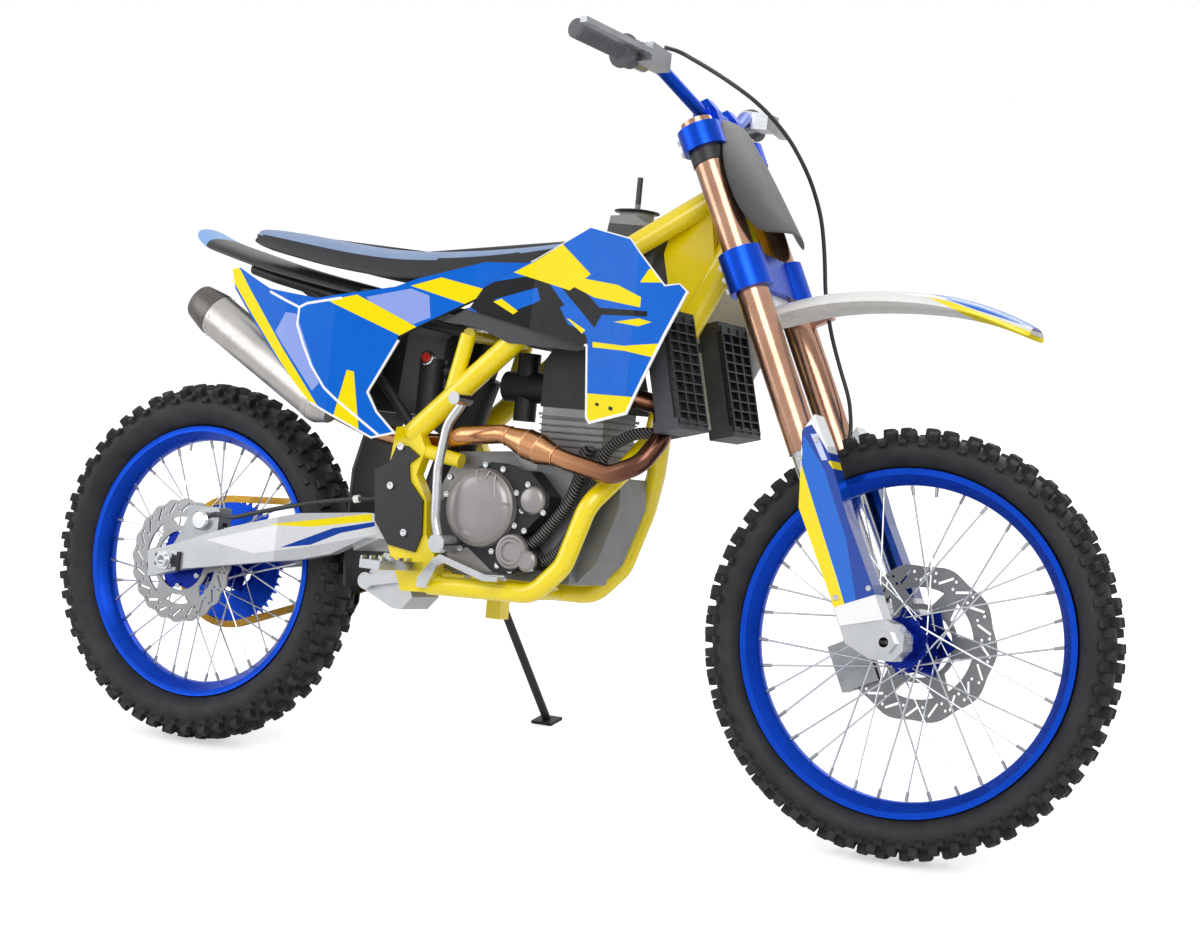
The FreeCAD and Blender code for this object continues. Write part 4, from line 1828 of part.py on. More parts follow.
def hose_wire():
    """The hose's line, each arc as large as its two runs allow."""
    points = [leg(a, h, y) for a, h, y in HOSE_ROUTE]
    edges = []
    cursor = points[0]
    for before, corner, after in zip(points, points[1:], points[2:]):
        half_turn = (corner - before).getAngle(after - corner) / 2
        shortest = min((corner - before).Length, (after - corner).Length)
        start, middle, end = corner_arc(before, corner, after, RUN_SHARE * shortest / math.tan(half_turn))
        edges.append(Part.LineSegment(cursor, start).toShape())
        edges.append(Part.Arc(start, middle, end).toShape())
        cursor = end
    edges.append(Part.LineSegment(cursor, points[-1]).toShape())
    return Part.Wire(edges)


def brake_hose(radius):
    """Front brake hose from the hand lever round the number board and down the left leg to the caliper."""
    path = hose_wire()
    first = path.Edges[0]
    start = first.valueAt(first.FirstParameter)
    ring = Part.Wire(Part.makeCircle(radius, start, first.tangentAt(first.FirstParameter)))
    return path.makePipeShell([ring], True, False)


CLIP_FRONT_SHARE = 1.5


def hose_clip():
    """Clip on the left fork tube that the brake hose passes through."""
    middle = LEG_HALF_SPACING
    block = leg_prism([(0, CLIP_LOW), (CLIP_AHEAD, CLIP_LOW), (CLIP_AHEAD, CLIP_HIGH), (0, CLIP_HIGH)],
                      middle - CLIP_HALF, middle + CLIP_HALF * CLIP_FRONT_SHARE)
    return block.cut(brake_hose(HOSE_LINE_RADIUS + SEAT_GAP))


def front_wheel_nodes():
    """Everything that turns with the front wheel."""
    nodes = {
        "front_tyre": tyre(FRONT_TYRE_RADIUS, FRONT_TYRE_WIDTH, FRONT_RIM_RADIUS, FRONT_KNOB_COUNT),
        "front_rim": rim(FRONT_RIM_RADIUS, FRONT_RIM_WIDTH),
        "front_spokes": spokes(FRONT_FLANGE, FRONT_FLANGE_Y, FRONT_RIM_RADIUS),
        "front_hub": hub(FRONT_HUB_HALF, FRONT_BARREL, FRONT_FLANGE, FRONT_FLANGE_Y,
                         [FRONT_DISC_Y - DISC_THICKNESS / 2 - FLANGE_THICKNESS / 2], FRONT_CARRIER),
        "front_disc": brake_disc(FRONT_DISC_RADIUS, FRONT_DISC_BORE, FRONT_DISC_Y),
    }
    return {name: shape.translated(FRONT_AXLE) for name, shape in nodes.items()}


def rear_wheel_nodes():
    """Everything that turns with the rear wheel."""
    disc_face = -(REAR_DISC_Y - DISC_THICKNESS / 2 - FLANGE_THICKNESS / 2)
    sprocket_face = CHAIN_LINE - SPROCKET_THICKNESS / 2 - FLANGE_THICKNESS / 2
    nodes = {
        "rear_tyre": tyre(REAR_TYRE_RADIUS, REAR_TYRE_WIDTH, REAR_RIM_RADIUS, REAR_KNOB_COUNT),
        "rear_rim": rim(REAR_RIM_RADIUS, REAR_RIM_WIDTH),
        "rear_spokes": spokes(REAR_FLANGE, REAR_FLANGE_Y, REAR_RIM_RADIUS),
        "rear_hub": hub(REAR_HUB_HALF, REAR_BARREL, REAR_FLANGE, REAR_FLANGE_Y, [disc_face, sprocket_face],
                        REAR_CARRIER),
        "rear_disc": brake_disc(REAR_DISC_RADIUS, REAR_DISC_BORE, -REAR_DISC_Y),
        "rear_sprocket": rear_sprocket(),
    }
    return {name: shape.translated(REAR_AXLE) for name, shape in nodes.items()}


def steering_nodes():
    """Everything that turns with the handlebar but not with the wheel."""
    return {
        "triple_clamps": triple_clamps(),
        "fork_outers": fork_outers(),
        "fork_sliders": fork_sliders(),
        "fork_guards": fork_guards(),
        "front_axle": front_axle(),
        "handlebar": handlebar(),
        "grips": grips(),
        "hand_levers": hand_levers(),
        "front_fender": front_fender(),
        "number_plate": number_plate(),
        "front_caliper": front_caliper(),
        "brake_hose": brake_hose(HOSE_LINE_RADIUS),
    }


def chassis_nodes():
    """Everything fixed to the frame."""
    return {
        "frame": frame(),
        "subframe": subframe(),
        "swingarm": swingarm(),
        "swingarm_bridge": swingarm_bridge(),
        "shock": shock(),
        "shock_linkage": shock_linkage(),
        "engine_case": engine_case(),
        "clutch_cover": clutch_cover(),
        "flywheel_cover": flywheel_cover(),
        "cylinder": cylinder(),
        "cylinder_head": cylinder_head(),
        "carburettor": carburettor(),
        "radiators": radiators(),
        "coolant_hoses": coolant_hoses(),
        "exhaust_header": exhaust_header(),
        "silencer": silencer(),
        "airbox": airbox(),
        "fuel_tank": fuel_tank(),
        "seat": seat(),
        "side_panels": side_panels(),
        "shrouds": shrouds(),
        "knee_panels": knee_panels(),
        "rear_fender": rear_fender(),
        "mud_flap": mud_flap(),
        "chain": chain(),
        "front_sprocket": front_sprocket(),
        "chain_guide": chain_guide(),
        "footpegs": footpegs(),
        "foot_levers": foot_levers(),
        "kick_starter": kick_starter(),
        "rear_caliper": rear_caliper(),
        "frame_guards": frame_guards(),
        "rear_axle": rear_axle(),
    }


def lowest(shape):
    """Height of a shape's lowest point."""
    return shape.BoundBox.ZMin


def steered(shape):
    """Turns a front end shape to its parked angle."""
    return shape.rotated(AXIS_FOOT, UP_AXIS, STEER_DEG)


def leaned(shape):
    """Leans a shape to the left about the ground line under the wheels."""
    return shape.rotated(V(0, 0, 0), V(1, 0, 0), -LEAN_DEG)


def parked(front_low, rear_low):
    """The small pitch and lift that put both tyres on the ground."""
    pitch = math.degrees(math.asin((front_low - rear_low) / WHEELBASE))
    return pitch, -rear_low


def settle(shape, pitch, lift):
    """Puts a leaned shape on the ground."""
    tilted = shape.rotated(V(0, 0, 0), ACROSS, pitch)
    return tilted.translated(V(0, 0, lift))


def ground_height(x, y, pitch, lift):
    """Height, in the upright frame, of the ground under a point beside the bike."""
    lean = math.radians(LEAN_DEG)
    tilt = math.radians(pitch)
    return (y * math.sin(lean) - lift / math.cos(tilt) + x * math.tan(tilt)) / math.cos(lean)


def side_stand(foot_z):
    """Side stand: eye on its pivot bolt, leg and a foot pad that lies flat on the ground."""
    pivot, axis = stand_hinge()
    foot = V(STAND_FOOT_X, STAND_FOOT_Y, foot_z)
    down = V(0, math.sin(math.radians(LEAN_DEG)), -math.cos(math.radians(LEAN_DEG)))
    sole = foot - down * STAND_PAD_THICKNESS
    bar = rod(pivot, sole, STAND_RADIUS)
    eye = rod(pivot - axis * STAND_RADIUS, pivot + axis * STAND_RADIUS, STAND_EYE)
    bore = rod(pivot - axis * STAND_EYE, pivot + axis * STAND_EYE, STAND_PIN + FIT_GAP)
    out = unit(down.cross(V(1, 0, 0)))
    ahead = unit(out.cross(down))
    corners = [sole + ahead * STAND_PAD_HALF + out * STAND_PAD_HALF,
               sole - ahead * STAND_PAD_HALF + out * STAND_PAD_HALF,
               sole - ahead * STAND_PAD_HALF - out * STAND_PAD_HALF,
               sole + ahead * STAND_PAD_HALF - out * STAND_PAD_HALF]
    pad = flat_face(corners).extrude(down * STAND_PAD_THICKNESS)
    return fused([bar, eye, pad]).cut(bore)


def main():
    """Builds every node upright, parks the bike and writes one file a node."""
    os.makedirs("parts", exist_ok=True)
    front = {name: steered(shape) for name, shape in front_wheel_nodes().items()}
    rear = rear_wheel_nodes()
    turning = {name: steered(shape) for name, shape in steering_nodes().items()}
    fixed = chassis_nodes()
    pitch, lift = parked(lowest(leaned(front["front_tyre"])), lowest(leaned(rear["rear_tyre"])))
    foot_z = ground_height(STAND_FOOT_X, STAND_FOOT_Y, pitch, lift)
    fixed_all = dict(fixed)
    fixed_all.update(rear)
    fixed_all.update(front)
    fixed_all.update(turning)
    fixed_all["side_stand"] = side_stand(foot_z)
    placed = {name: settle(leaned(shape), pitch, lift) for name, shape in fixed_all.items()}
    box = Part.makeCompound(list(placed.values())).BoundBox
    shift = V(-box.Center.x, -box.Center.y, 0)
    print("placement", repr((pitch, lift, shift.x, shift.y, foot_z)))
    for name, shape in placed.items():
        shape.translated(shift).exportStep("parts/" + name + ".step")


main()
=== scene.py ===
"""Dresses the packed dirt bike: finishes, tyres, wheels, seat, stripes, hoses and small fittings.

Sizes are millimetres in the upright bike: X forward from the rear axle, Y to the left, Z up from the ground.
Stance turns them into the parked pose, in metres.
"""
import logging
import math
from dataclasses import dataclass, field
from enum import Enum
from typing import Callable, Iterable, Sequence

import bpy
from mathutils import Matrix, Vector


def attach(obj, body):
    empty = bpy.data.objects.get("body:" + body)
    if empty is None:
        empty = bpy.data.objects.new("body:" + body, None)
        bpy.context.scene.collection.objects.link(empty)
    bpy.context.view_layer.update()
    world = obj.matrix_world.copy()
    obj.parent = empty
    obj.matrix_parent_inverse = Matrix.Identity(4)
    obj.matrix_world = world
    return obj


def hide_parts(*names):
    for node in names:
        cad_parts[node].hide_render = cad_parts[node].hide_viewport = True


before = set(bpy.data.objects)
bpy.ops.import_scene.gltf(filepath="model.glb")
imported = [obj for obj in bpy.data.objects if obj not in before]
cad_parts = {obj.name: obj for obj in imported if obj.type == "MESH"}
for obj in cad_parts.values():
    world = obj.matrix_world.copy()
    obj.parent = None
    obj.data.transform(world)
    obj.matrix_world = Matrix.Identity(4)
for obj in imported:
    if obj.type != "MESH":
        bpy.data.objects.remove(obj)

log = logging.getLogger("dirt_bike")
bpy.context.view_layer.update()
MM = 0.001
TURN = 2 * math.pi

Point = tuple[float, float, float]
Flat = tuple[float, float]
Piece = bpy.types.Object
Socket = bpy.types.NodeSocket

LEFT = (0.0, 1.0, 0.0)
RIGHT = (0.0, -1.0, 0.0)
UP = (0.0, 0.0, 1.0)
SIDES = (-1, 1)


# The parked bike


@dataclass(frozen=True)
class Stance:
    """How the upright bike stands when it is parked on its side stand.

    Args:
        lean_deg: Lean to the left.
        pitch_deg: Small nose pitch that puts both tyres on the ground.
        steer_deg: Turn of the front end.
        lift, shift_x, shift_y: Move onto the floor and to the middle of the frame.
    """

    lean_deg: float = 13.5
    pitch_deg: float = 0.0829284
    steer_deg: float = 4.16
    lift: float = 4.5258217
    shift_x: float = -719.1432941
    shift_y: float = -288.7990117
    rake_deg: float = 25.44
    wheelbase: float = 1427.0
    front_axle_z: float = 350.0
    rear_axle_z: float = 340.0
    clamp_offset: float = 22.0
    axle_lead: float = 33.5
    leg_half_spacing: float = 97.0

    @property
    def up_axis(self) -> Vector:
        """Direction of the steering axis."""
        rake = math.radians(self.rake_deg)
        return Vector((-math.sin(rake), 0.0, math.cos(rake)))

    @property
    def ahead(self) -> Vector:
        """Direction square to the steering axis, forward."""
        rake = math.radians(self.rake_deg)
        return Vector((math.cos(rake), 0.0, math.sin(rake)))

    @property
    def axis_foot(self) -> Vector:
        """Foot of the steering axis, level with the axle."""
        return Vector(self.front_axle) - self.ahead * (self.clamp_offset + self.axle_lead)

    @property
    def front_axle(self) -> Point:
        """Middle of the front wheel."""
        return self.wheelbase, 0.0, self.front_axle_z

    @property
    def rear_axle(self) -> Point:
        """Middle of the rear wheel."""
        return 0.0, 0.0, self.rear_axle_z

    def leg(self, ahead: float, height: float, y: float) -> Vector:
        """A point in fork leg coordinates, as an upright bike point."""
        forward = self.ahead * (self.clamp_offset + ahead)
        return self.axis_foot + forward + self.up_axis * height + Vector((0, y, 0))

    def matrix(self, steered: bool) -> Matrix:
        """Upright millimetres to parked metres.

        Args:
            steered: Whether the piece turns with the handlebar.

        Returns:
            The whole placement as one matrix.
        """
        lean = Matrix.Rotation(math.radians(-self.lean_deg), 4, "X")
        pitch = Matrix.Rotation(math.radians(self.pitch_deg), 4, "Y")
        move = Matrix.Translation((self.shift_x, self.shift_y, self.lift))
        turn = Matrix.Identity(4)
        if steered:
            foot = Matrix.Translation(self.axis_foot)
            turn = foot @ Matrix.Rotation(math.radians(self.steer_deg), 4, self.up_axis) @ foot.inverted()
        return Matrix.Scale(MM, 4) @ move @ pitch @ lean @ turn

    def leg_matrix(self) -> Matrix:
        """Fork leg coordinates (ahead, across, along) in millimetres to parked metres."""
        base = axes(self.ahead, Vector(LEFT), self.up_axis)
        return self.matrix(True) @ Matrix.Translation(self.leg(0, 0, 0)) @ base


def axes(x: Vector, y: Vector, z: Vector) -> Matrix:
    """A turn that takes the drawing's axes to three directions."""
    return Matrix((x, y, z)).transposed().to_4x4()


STANCE = Stance()


# Finishes


def linear(hex_colour: str) -> tuple[float, float, float, float]:
    """An sRGB hex colour as linear light.

    Args:
        hex_colour: Six hex digits.

    Returns:
        Red, green, blue and an alpha of 1.
    """
    values = [int(hex_colour[i:i + 2], 16) / 255 for i in (0, 2, 4)]
    out = [v / 12.92 if v <= 0.04045 else ((v + 0.055) / 1.055) ** 2.4 for v in values]
    return out[0], out[1], out[2], 1.0


@dataclass(frozen=True)
class Graph:
    """Adds shader nodes to one node tree and hands back their sockets."""

    tree: bpy.types.NodeTree

    def add(self, kind: str, settings: dict | None = None, inputs: dict | None = None) -> bpy.types.Node:
        """Adds one node with its settings and links.

        Args:
            kind: The node type, as its name goes on after ShaderNode.
            settings: Attributes to set on the node.
            inputs: Values or sockets by input name or index.

        Returns:
            The new node.
        """
        node = self.tree.nodes.new("ShaderNode" + kind)
        for key, value in (settings or {}).items():
            setattr(node, key, value)
        for key, value in (inputs or {}).items():
            if isinstance(value, Socket):
                self.tree.links.new(value, node.inputs[key])
            else:
                node.inputs[key].default_value = value
        return node

    def calc(self, operation: str, *values: Socket | float) -> Socket:
        """A sum of plain values."""
        return self.add("Math", {"operation": operation}, dict(enumerate(values))).outputs["Value"]

    def vector(self, operation: str, *values: Socket | Point) -> Socket:
        """A sum of vectors, whose result is a value or a vector."""
        node = self.add("VectorMath", {"operation": operation}, dict(enumerate(values)))
        return node.outputs["Value" if operation in ("DOT_PRODUCT", "LENGTH", "DISTANCE") else "Vector"]

    def flat(self, spot: Socket) -> Socket:
        """A point dropped onto the side view."""
        return self.vector("MULTIPLY", spot, (1.0, 0.0, 1.0))

    def part(self, spot: Socket, axis: str) -> Socket:
        """One coordinate of a point."""
        return self.add("SeparateXYZ", None, {"Vector": spot}).outputs[axis]

    def ramp(self, value: Socket, low: float, high: float, start: float = 0.0, end: float = 1.0) -> Socket:
        """Takes one range of values to another."""
        node = self.add("MapRange", None,
                        {"Value": value, "From Min": low, "From Max": high, "To Min": start, "To Max": end})
        return node.outputs["Result"]

    def mix(self, share: Socket, first: Socket | tuple, second: Socket | tuple) -> Socket:
        """Mixes two colours."""
        return self.add("Mix", {"data_type": "RGBA"},
                        {"Factor": share, "A": first, "B": second}).outputs["Result"]

    def noise(self, spot: Socket, size: float, detail: float) -> Socket:
        """Cloudy values with spots of a size in millimetres."""
        return self.add("TexNoise", None,
                        {"Vector": spot, "Scale": 1 / size, "Detail": detail}).outputs["Fac"]

    def rings(self, run: Socket, pitch: float) -> Socket:
        """A wave along a run in millimetres."""
        return self.calc("SINE", self.calc("MULTIPLY", run, TURN / pitch))

    def bump(self, height: Socket, depth: float) -> Socket:
        """The normal of a relief this many millimetres deep."""
        return self.add("Bump", None,
                        {"Height": height, "Distance": depth * MM, "Strength": 1.0}).outputs["Normal"]

    def drawing(self, placement: Matrix) -> Socket:
        """Object coordinates taken back to the upright drawing, in millimetres."""
        spot, turn, size = placement.decompose()
        where = self.add("TexCoord").outputs["Object"]
        return self.add("Mapping", {"vector_type": "TEXTURE"}, {
            "Vector": where, "Location": spot, "Rotation": turn.to_euler("XYZ"),
            "Scale": size}).outputs["Vector"]


class Surface(Enum):
    """How a surface was made, noted in the log beside its finish."""

    MOULDED = "fine pebbled grain of a mould"
    CAST = "rougher grain of a sand or die casting"
    COATED = "slow ripple of a paint or powder coat"
    BRUSHED = "fine lines along the piece"
    RUBBER = "dull skin with paler dust in the low places"
    PLAIN = "smooth, only slightly uneven"


@dataclass(frozen=True)
class Finish:
    """One finish of the bike.

    Args:
        name: Maker's name of the material and how its surface was made.
        colour, second: sRGB hex of the main colour and of its slow variation.
        surface: Kind of grain.
        grain, bump: Size and height of the grain in millimetres.
        blend: How far the second colour shows.
        spread: How far roughness strays to each side.
        stretch: Scale of the grain along X, Y and Z.
    """

    name: str
    colour: str
    second: str
    surface: Surface
    roughness: float
    metallic: float = 0.0
    coat: float = 0.0
    grain: float = 2.0
    bump: float = 0.05
    blend: float = 0.5
    spread: float = 0.08
    stretch: Point = (1.0, 1.0, 1.0)
    specular: float = 0.5
    cloud: float = 45.0

    def paint(self, graph: Graph, spot: Socket) -> Socket:
        """Slow colour change over a hand's width, as light and handling give it."""
        share = graph.ramp(graph.noise(spot, self.cloud, 4.0), 0.35, 0.7, 0.0, self.blend)
        return graph.mix(share, linear(self.colour), linear(self.second))

    def relief(self, graph: Graph, spot: Socket, grain: Socket) -> Socket:
        """The grain as a relief."""
        return graph.bump(grain, self.bump)

    def build(self, placement: Matrix | None = None) -> bpy.types.Material:
        """Makes the material.

        Args:
            placement: Where the pattern's drawing lies, the chassis if none is given.

        Returns:
            The finished material.
        """
        material = bpy.data.materials.new(self.name)
        material.use_nodes = True
        graph = Graph(material.node_tree)
        shader = graph.tree.nodes["Principled BSDF"]
        spot = graph.drawing(placement or STANCE.matrix(False))
        scaled = graph.add("Mapping", None, {"Vector": spot, "Scale": self.stretch}).outputs["Vector"]
        grain = graph.noise(scaled, self.grain, 3.0)
        rough = graph.ramp(grain, 0.3, 0.7, self.roughness - self.spread, self.roughness + self.spread)
        for name, value in (("Metallic", self.metallic), ("Coat Weight", self.coat),
                            ("Specular IOR Level", self.specular)):
            shader.inputs[name].default_value = value
        for name, source in (("Base Color", self.paint(graph, spot)), ("Roughness", rough),
                             ("Normal", self.relief(graph, spot, grain))):
            graph.tree.links.new(source, shader.inputs[name])
        log.info("%s: %s", self.name, self.surface.value)
        return material


@dataclass(frozen=True)
class RibbedHose(Finish):
    """Black corrugated sleeve over a coolant hose: rings that catch the light every few millimetres, with a
    painted highlight in pale grey on each crest.
    """

    pitch: float = 5.2
    run: Point = (0.70, 0.0, 0.72)
    depth: float = 1.0

    def wave(self, graph: Graph, spot: Socket) -> Socket:
        """Rings square to the hose's run."""
        return graph.rings(graph.vector("DOT_PRODUCT", spot, self.run), self.pitch)

    def paint(self, graph: Graph, spot: Socket) -> Socket:
        """Painted highlight: paler grey on the crests of the rings."""
        crest_highlight = graph.ramp(self.wave(graph, spot), 0.2, 1.0, 0.0, 0.85)
        return graph.mix(crest_highlight, linear(self.colour), linear(self.second))

    def relief(self, graph: Graph, spot: Socket, grain: Socket) -> Socket:
        """The rings as a relief."""
        return graph.bump(self.wave(graph, spot), self.depth)


@dataclass(frozen=True)
class HeatTint(Finish):
    """Bare pipe that has been hot: copper near the chamber, brown and violet at the front bend."""

    hot: str = "5B3A35"
    cool_x: float = 820.0
    hot_x: float = 960.0

    def paint(self, graph: Graph, spot: Socket) -> Socket:
        """Mixes the tint in along the bike."""
        heat = graph.ramp(graph.part(spot, "X"), self.cool_x, self.hot_x, 0.0, 0.9)
        return graph.mix(heat, super().paint(graph, spot), linear(self.hot))


@dataclass(frozen=True)
class TurnedSteel(Finish):
    """Ground steel with fine circles about the axle."""

    centre: Point = STANCE.rear_axle
    ring: float = 2.4
    light: str = "DADADA"

    def paint(self, graph: Graph, spot: Socket) -> Socket:
        """Light and dark grinding circles, drawn coarser than real so that they show."""
        reach = graph.vector("LENGTH", graph.flat(graph.vector("SUBTRACT", spot, self.centre)))
        amount = graph.ramp(graph.rings(reach, self.ring), -1.0, 1.0, 0.0, 0.3)
        return graph.mix(amount, super().paint(graph, spot), linear(self.light))


@dataclass(frozen=True)
class Mark:
    """One mark of a sticker set, drawn in the side view."""

    colour: str

    def depth(self, graph: Graph, spot: Socket) -> Socket:
        """How far inside the mark a point lies, in millimetres."""
        raise NotImplementedError

    @staticmethod
    def least(graph: Graph, values: Iterable[Socket]) -> Socket:
        """The smallest of some values."""
        lowest, *rest = values
        for value in rest:
            lowest = graph.calc("MINIMUM", lowest, value)
        return lowest


@dataclass(frozen=True)
class Patch(Mark):
    """A convex patch."""

    corners: tuple[Flat, ...]

    def depth(self, graph: Graph, spot: Socket) -> Socket:
        """The least distance to its edges."""
        pairs = list(zip(self.corners, self.corners[1:] + self.corners[:1]))
        area = sum(a[0] * b[1] - b[0] * a[1] for a, b in pairs)
        edges = []
        for a, b in pairs:
            run = math.copysign(math.dist(a, b), area)
            normal = ((a[1] - b[1]) / run, (b[0] - a[0]) / run)
            along = graph.vector("DOT_PRODUCT", spot, (normal[0], 0.0, normal[1]))
            edges.append(graph.calc("SUBTRACT", along, normal[0] * a[0] + normal[1] * a[1]))
        return self.least(graph, edges)


@dataclass(frozen=True)
class Round(Mark):
    """A round zone."""

    middle: Flat
    radius: float

    def depth(self, graph: Graph, spot: Socket) -> Socket:
        """Its radius less the distance to its middle."""
        gap = graph.vector("DISTANCE", graph.flat(spot), (self.middle[0], 0.0, self.middle[1]))
        return graph.calc("SUBTRACT", self.radius, gap)


@dataclass(frozen=True)
class Stroke(Mark):
    """A drawn line."""

    width: float
    corners: tuple[Flat, ...]

    def depth(self, graph: Graph, spot: Socket) -> Socket:
        """Half its width less the distance to it."""
        gaps = []
        for a, b in zip(self.corners, self.corners[1:]):
            run = Vector((b[0] - a[0], 0.0, b[1] - a[1]))
            away = graph.flat(graph.vector("SUBTRACT", spot, (a[0], 0.0, a[1])))
            share = graph.vector("DOT_PRODUCT", away, run / run.length_squared)
            held = graph.add("Clamp", None, {"Value": share}).outputs["Result"]
            foot = graph.add("VectorMath", {"operation": "SCALE"}, {0: run, "Scale": held}).outputs["Vector"]
            gaps.append(graph.vector("DISTANCE", away, foot))
        return graph.calc("SUBTRACT", self.width / 2, self.least(graph, gaps))


@dataclass(frozen=True)
class Livery(Finish):
    """Glossy plastic with a sticker set.

    Args:
        marks: Patches and lines, the later over the earlier.
        back: sRGB hex of the bare plastic behind, where it shows.
    """

    marks: tuple[Mark, ...] = ()
    back: str = ""
    edge: float = 0.3

    def paint(self, graph: Graph, spot: Socket) -> Socket:
        """Lays the marks over the base colour, one after another."""
        colour = super().paint(graph, spot)
        for mark in self.marks:
            cover = graph.ramp(mark.depth(graph, spot), -self.edge, self.edge)
            colour = graph.mix(cover, colour, linear(mark.colour))
        return self.rear(graph, spot, colour) if self.back else colour

    def rear(self, graph: Graph, spot: Socket, colour: Socket) -> Socket:
        """Bare plastic on the faces that look towards the middle of the bike."""
        across = (STANCE.matrix(False).to_3x3() @ Vector(LEFT)).normalized()
        facing = graph.vector("DOT_PRODUCT", graph.add("NewGeometry").outputs["Normal"], across)
        outward = graph.calc("MULTIPLY", facing, graph.calc("SIGN", graph.part(spot, "Y")))
        return graph.mix(graph.ramp(outward, -0.15, -0.25), colour, linear(self.back))


BLUE = "0066D2"
DEEP_BLUE = "003C9E"
LAVENDER = "8FA4E6"
YELLOW = "F6E000"
WHITE = "F4F5F6"
INK = "17181A"

FINISHES = {
    # Yellow powder coat over welded tube: high gloss with a slow ripple
    "frame_yellow": Finish("powder_coat_yellow", "FBE300", "F2D500", Surface.COATED, 0.24, coat=0.6,
                           grain=7.0, bump=0.06),
    # Aluminium extrusion, sanded and anodised: soft metal sheen
    "arm_silver": Finish("satin_aluminium_extrusion", "C9CBCE", "B4B7BB", Surface.BRUSHED, 0.34, 0.75,
                         grain=1.2, bump=0.02, stretch=(0.08, 1.0, 1.0)),
    # Blue anodised aluminium: saturated metal that keeps a clear highlight
    "blue_metal": Finish("blue_anodised_aluminium", "0A49CC", "0640B0", Surface.PLAIN, 0.3, 0.75, grain=3.0,
                         bump=0.0, specular=0.3),
    "blue_hub": Finish("blue_anodised_hub", "0B2A9A", "081F78", Surface.PLAIN, 0.28, 0.7, grain=3.0, bump=0.0,
                       specular=0.3),
    # Bronze anodised fork tube, polished along its length
    "bronze": Finish("bronze_anodised_tube", "C49A82", "9A705B", Surface.BRUSHED, 0.2, 0.95, grain=1.5,
                     bump=0.008, stretch=(1.0, 1.0, 0.05)),
    # Hard chrome and zinc plating
    "bright": Finish("bright_plated_steel", "D5D7DA", "B9BCC0", Surface.PLAIN, 0.2, 1.0, grain=2.0,
                     bump=0.01),
    "steel": Finish("zinc_plated_steel", "A9ABAE", "85888C", Surface.PLAIN, 0.34, 0.9, grain=2.0, bump=0.03),
    # Natural rubber with dust in the low places
    "tyre": Finish("tyre_rubber", "1B1B1D", "2D2D2F", Surface.RUBBER, 0.62, grain=2.6, bump=0.35, blend=0.9,
                   specular=0.4),
    "grip": Finish("grip_rubber", "5F6165", "4B4D51", Surface.RUBBER, 0.6, grain=1.5, bump=0.12),
    # The hose's second colour, pale grey, is a painted highlight on the ring crests
    "hose": RibbedHose("corrugated_hose_sleeve", "0E0E10", "8F9194", Surface.RUBBER, 0.4, grain=1.5,
                       bump=0.02),
    "line": Finish("brake_line_sleeve", "232427", "3A3C3F", Surface.PLAIN, 0.35, grain=1.5, bump=0.02),
    # Black polypropylene and nylon mouldings: satin with a pebbled grain
    "black_plastic": Finish("moulded_black_plastic", "1A1A1C", "242427", Surface.MOULDED, 0.42, grain=1.4,
                            bump=0.05),
    "grey_plastic": Finish("moulded_graphite_plastic", "3B3C3F", "2E2F32", Surface.MOULDED, 0.45, grain=1.4,
                           bump=0.05),
    # White injection-moulded fender plastic: clear gloss
    "white_plastic": Finish("moulded_white_plastic", "ECECEA", "DEDDD8", Surface.MOULDED, 0.25, coat=0.35,
                            grain=5.0, bump=0.02),
    # Die-cast engine aluminium, bead blasted or painted
    "casting": Finish("die_cast_aluminium", "8E8F90", "747577", Surface.CAST, 0.46, 0.75, grain=1.1,
                      bump=0.10),
    "engine_black": Finish("black_painted_casting", "202124", "2D2E31", Surface.CAST, 0.5, 0.3, grain=1.3,
                           bump=0.12),
    "cover_grey": Finish("grey_painted_cover", "9B9696", "8B8686", Surface.COATED, 0.36, 0.55, coat=0.2,
                         grain=1.6, bump=0.04),
    "cooler": Finish("painted_radiator_core", "43454A", "55585D", Surface.PLAIN, 0.5, 0.6, grain=2.0,
                     bump=0.15, stretch=(1.0, 1.0, 6.0)),
    # Bare steel pipe, coppery from heat
    "header": HeatTint("heat_tinted_pipe", "D39A70", "B97C54", Surface.BRUSHED, 0.24, 1.0, grain=2.0,
                       bump=0.01),
    "silencer": Finish("brushed_stainless_can", "C6C3BF", "A9A6A2", Surface.BRUSHED, 0.36, 0.9, grain=1.0,
                       bump=0.02, stretch=(0.1, 1.0, 0.1)),
    "can_cap": Finish("dark_end_cap", "6E6A66", "55524F", Surface.BRUSHED, 0.4, 0.85, grain=1.4, bump=0.03),
    "front_disc": TurnedSteel("ground_front_disc", "77797B", "6A6C6E", Surface.PLAIN, 0.36, 0.9, grain=1.5,
                              bump=0.01, centre=STANCE.front_axle),
    "rear_disc": TurnedSteel("ground_rear_disc", "8A8C8E", "77797B", Surface.PLAIN, 0.36, 0.9, grain=1.5,
                             bump=0.01),
    "gold": Finish("gold_plated_chain", "B98F3A", "8A6A2B", Surface.PLAIN, 0.32, 0.95, grain=4.0, bump=0.05,
                   blend=0.8),
    "seat_top": Finish("seat_vinyl_slate", "8FA4C8", "7C92B8", Surface.MOULDED, 0.5, grain=1.6, bump=0.10),
    "seat_side": Finish("seat_vinyl_black", "1B1C20", "25262B", Surface.MOULDED, 0.5, grain=1.6, bump=0.10),
    # Bead of a welded seam, paler than the pipe
    "weld": Finish("pale_weld_bead", "E2B48C", "C99468", Surface.PLAIN, 0.3, 0.9, grain=2.0, bump=0.05),
    "cap_grey": Finish("satin_grey_cap", "77797C", "66686B", Surface.MOULDED, 0.36, 0.3, grain=2.0,
                       bump=0.02),
    "red_cap": Finish("red_anodised_cap", "D8352B", "B32A22", Surface.PLAIN, 0.3, 0.4, grain=3.0, bump=0.02),
}

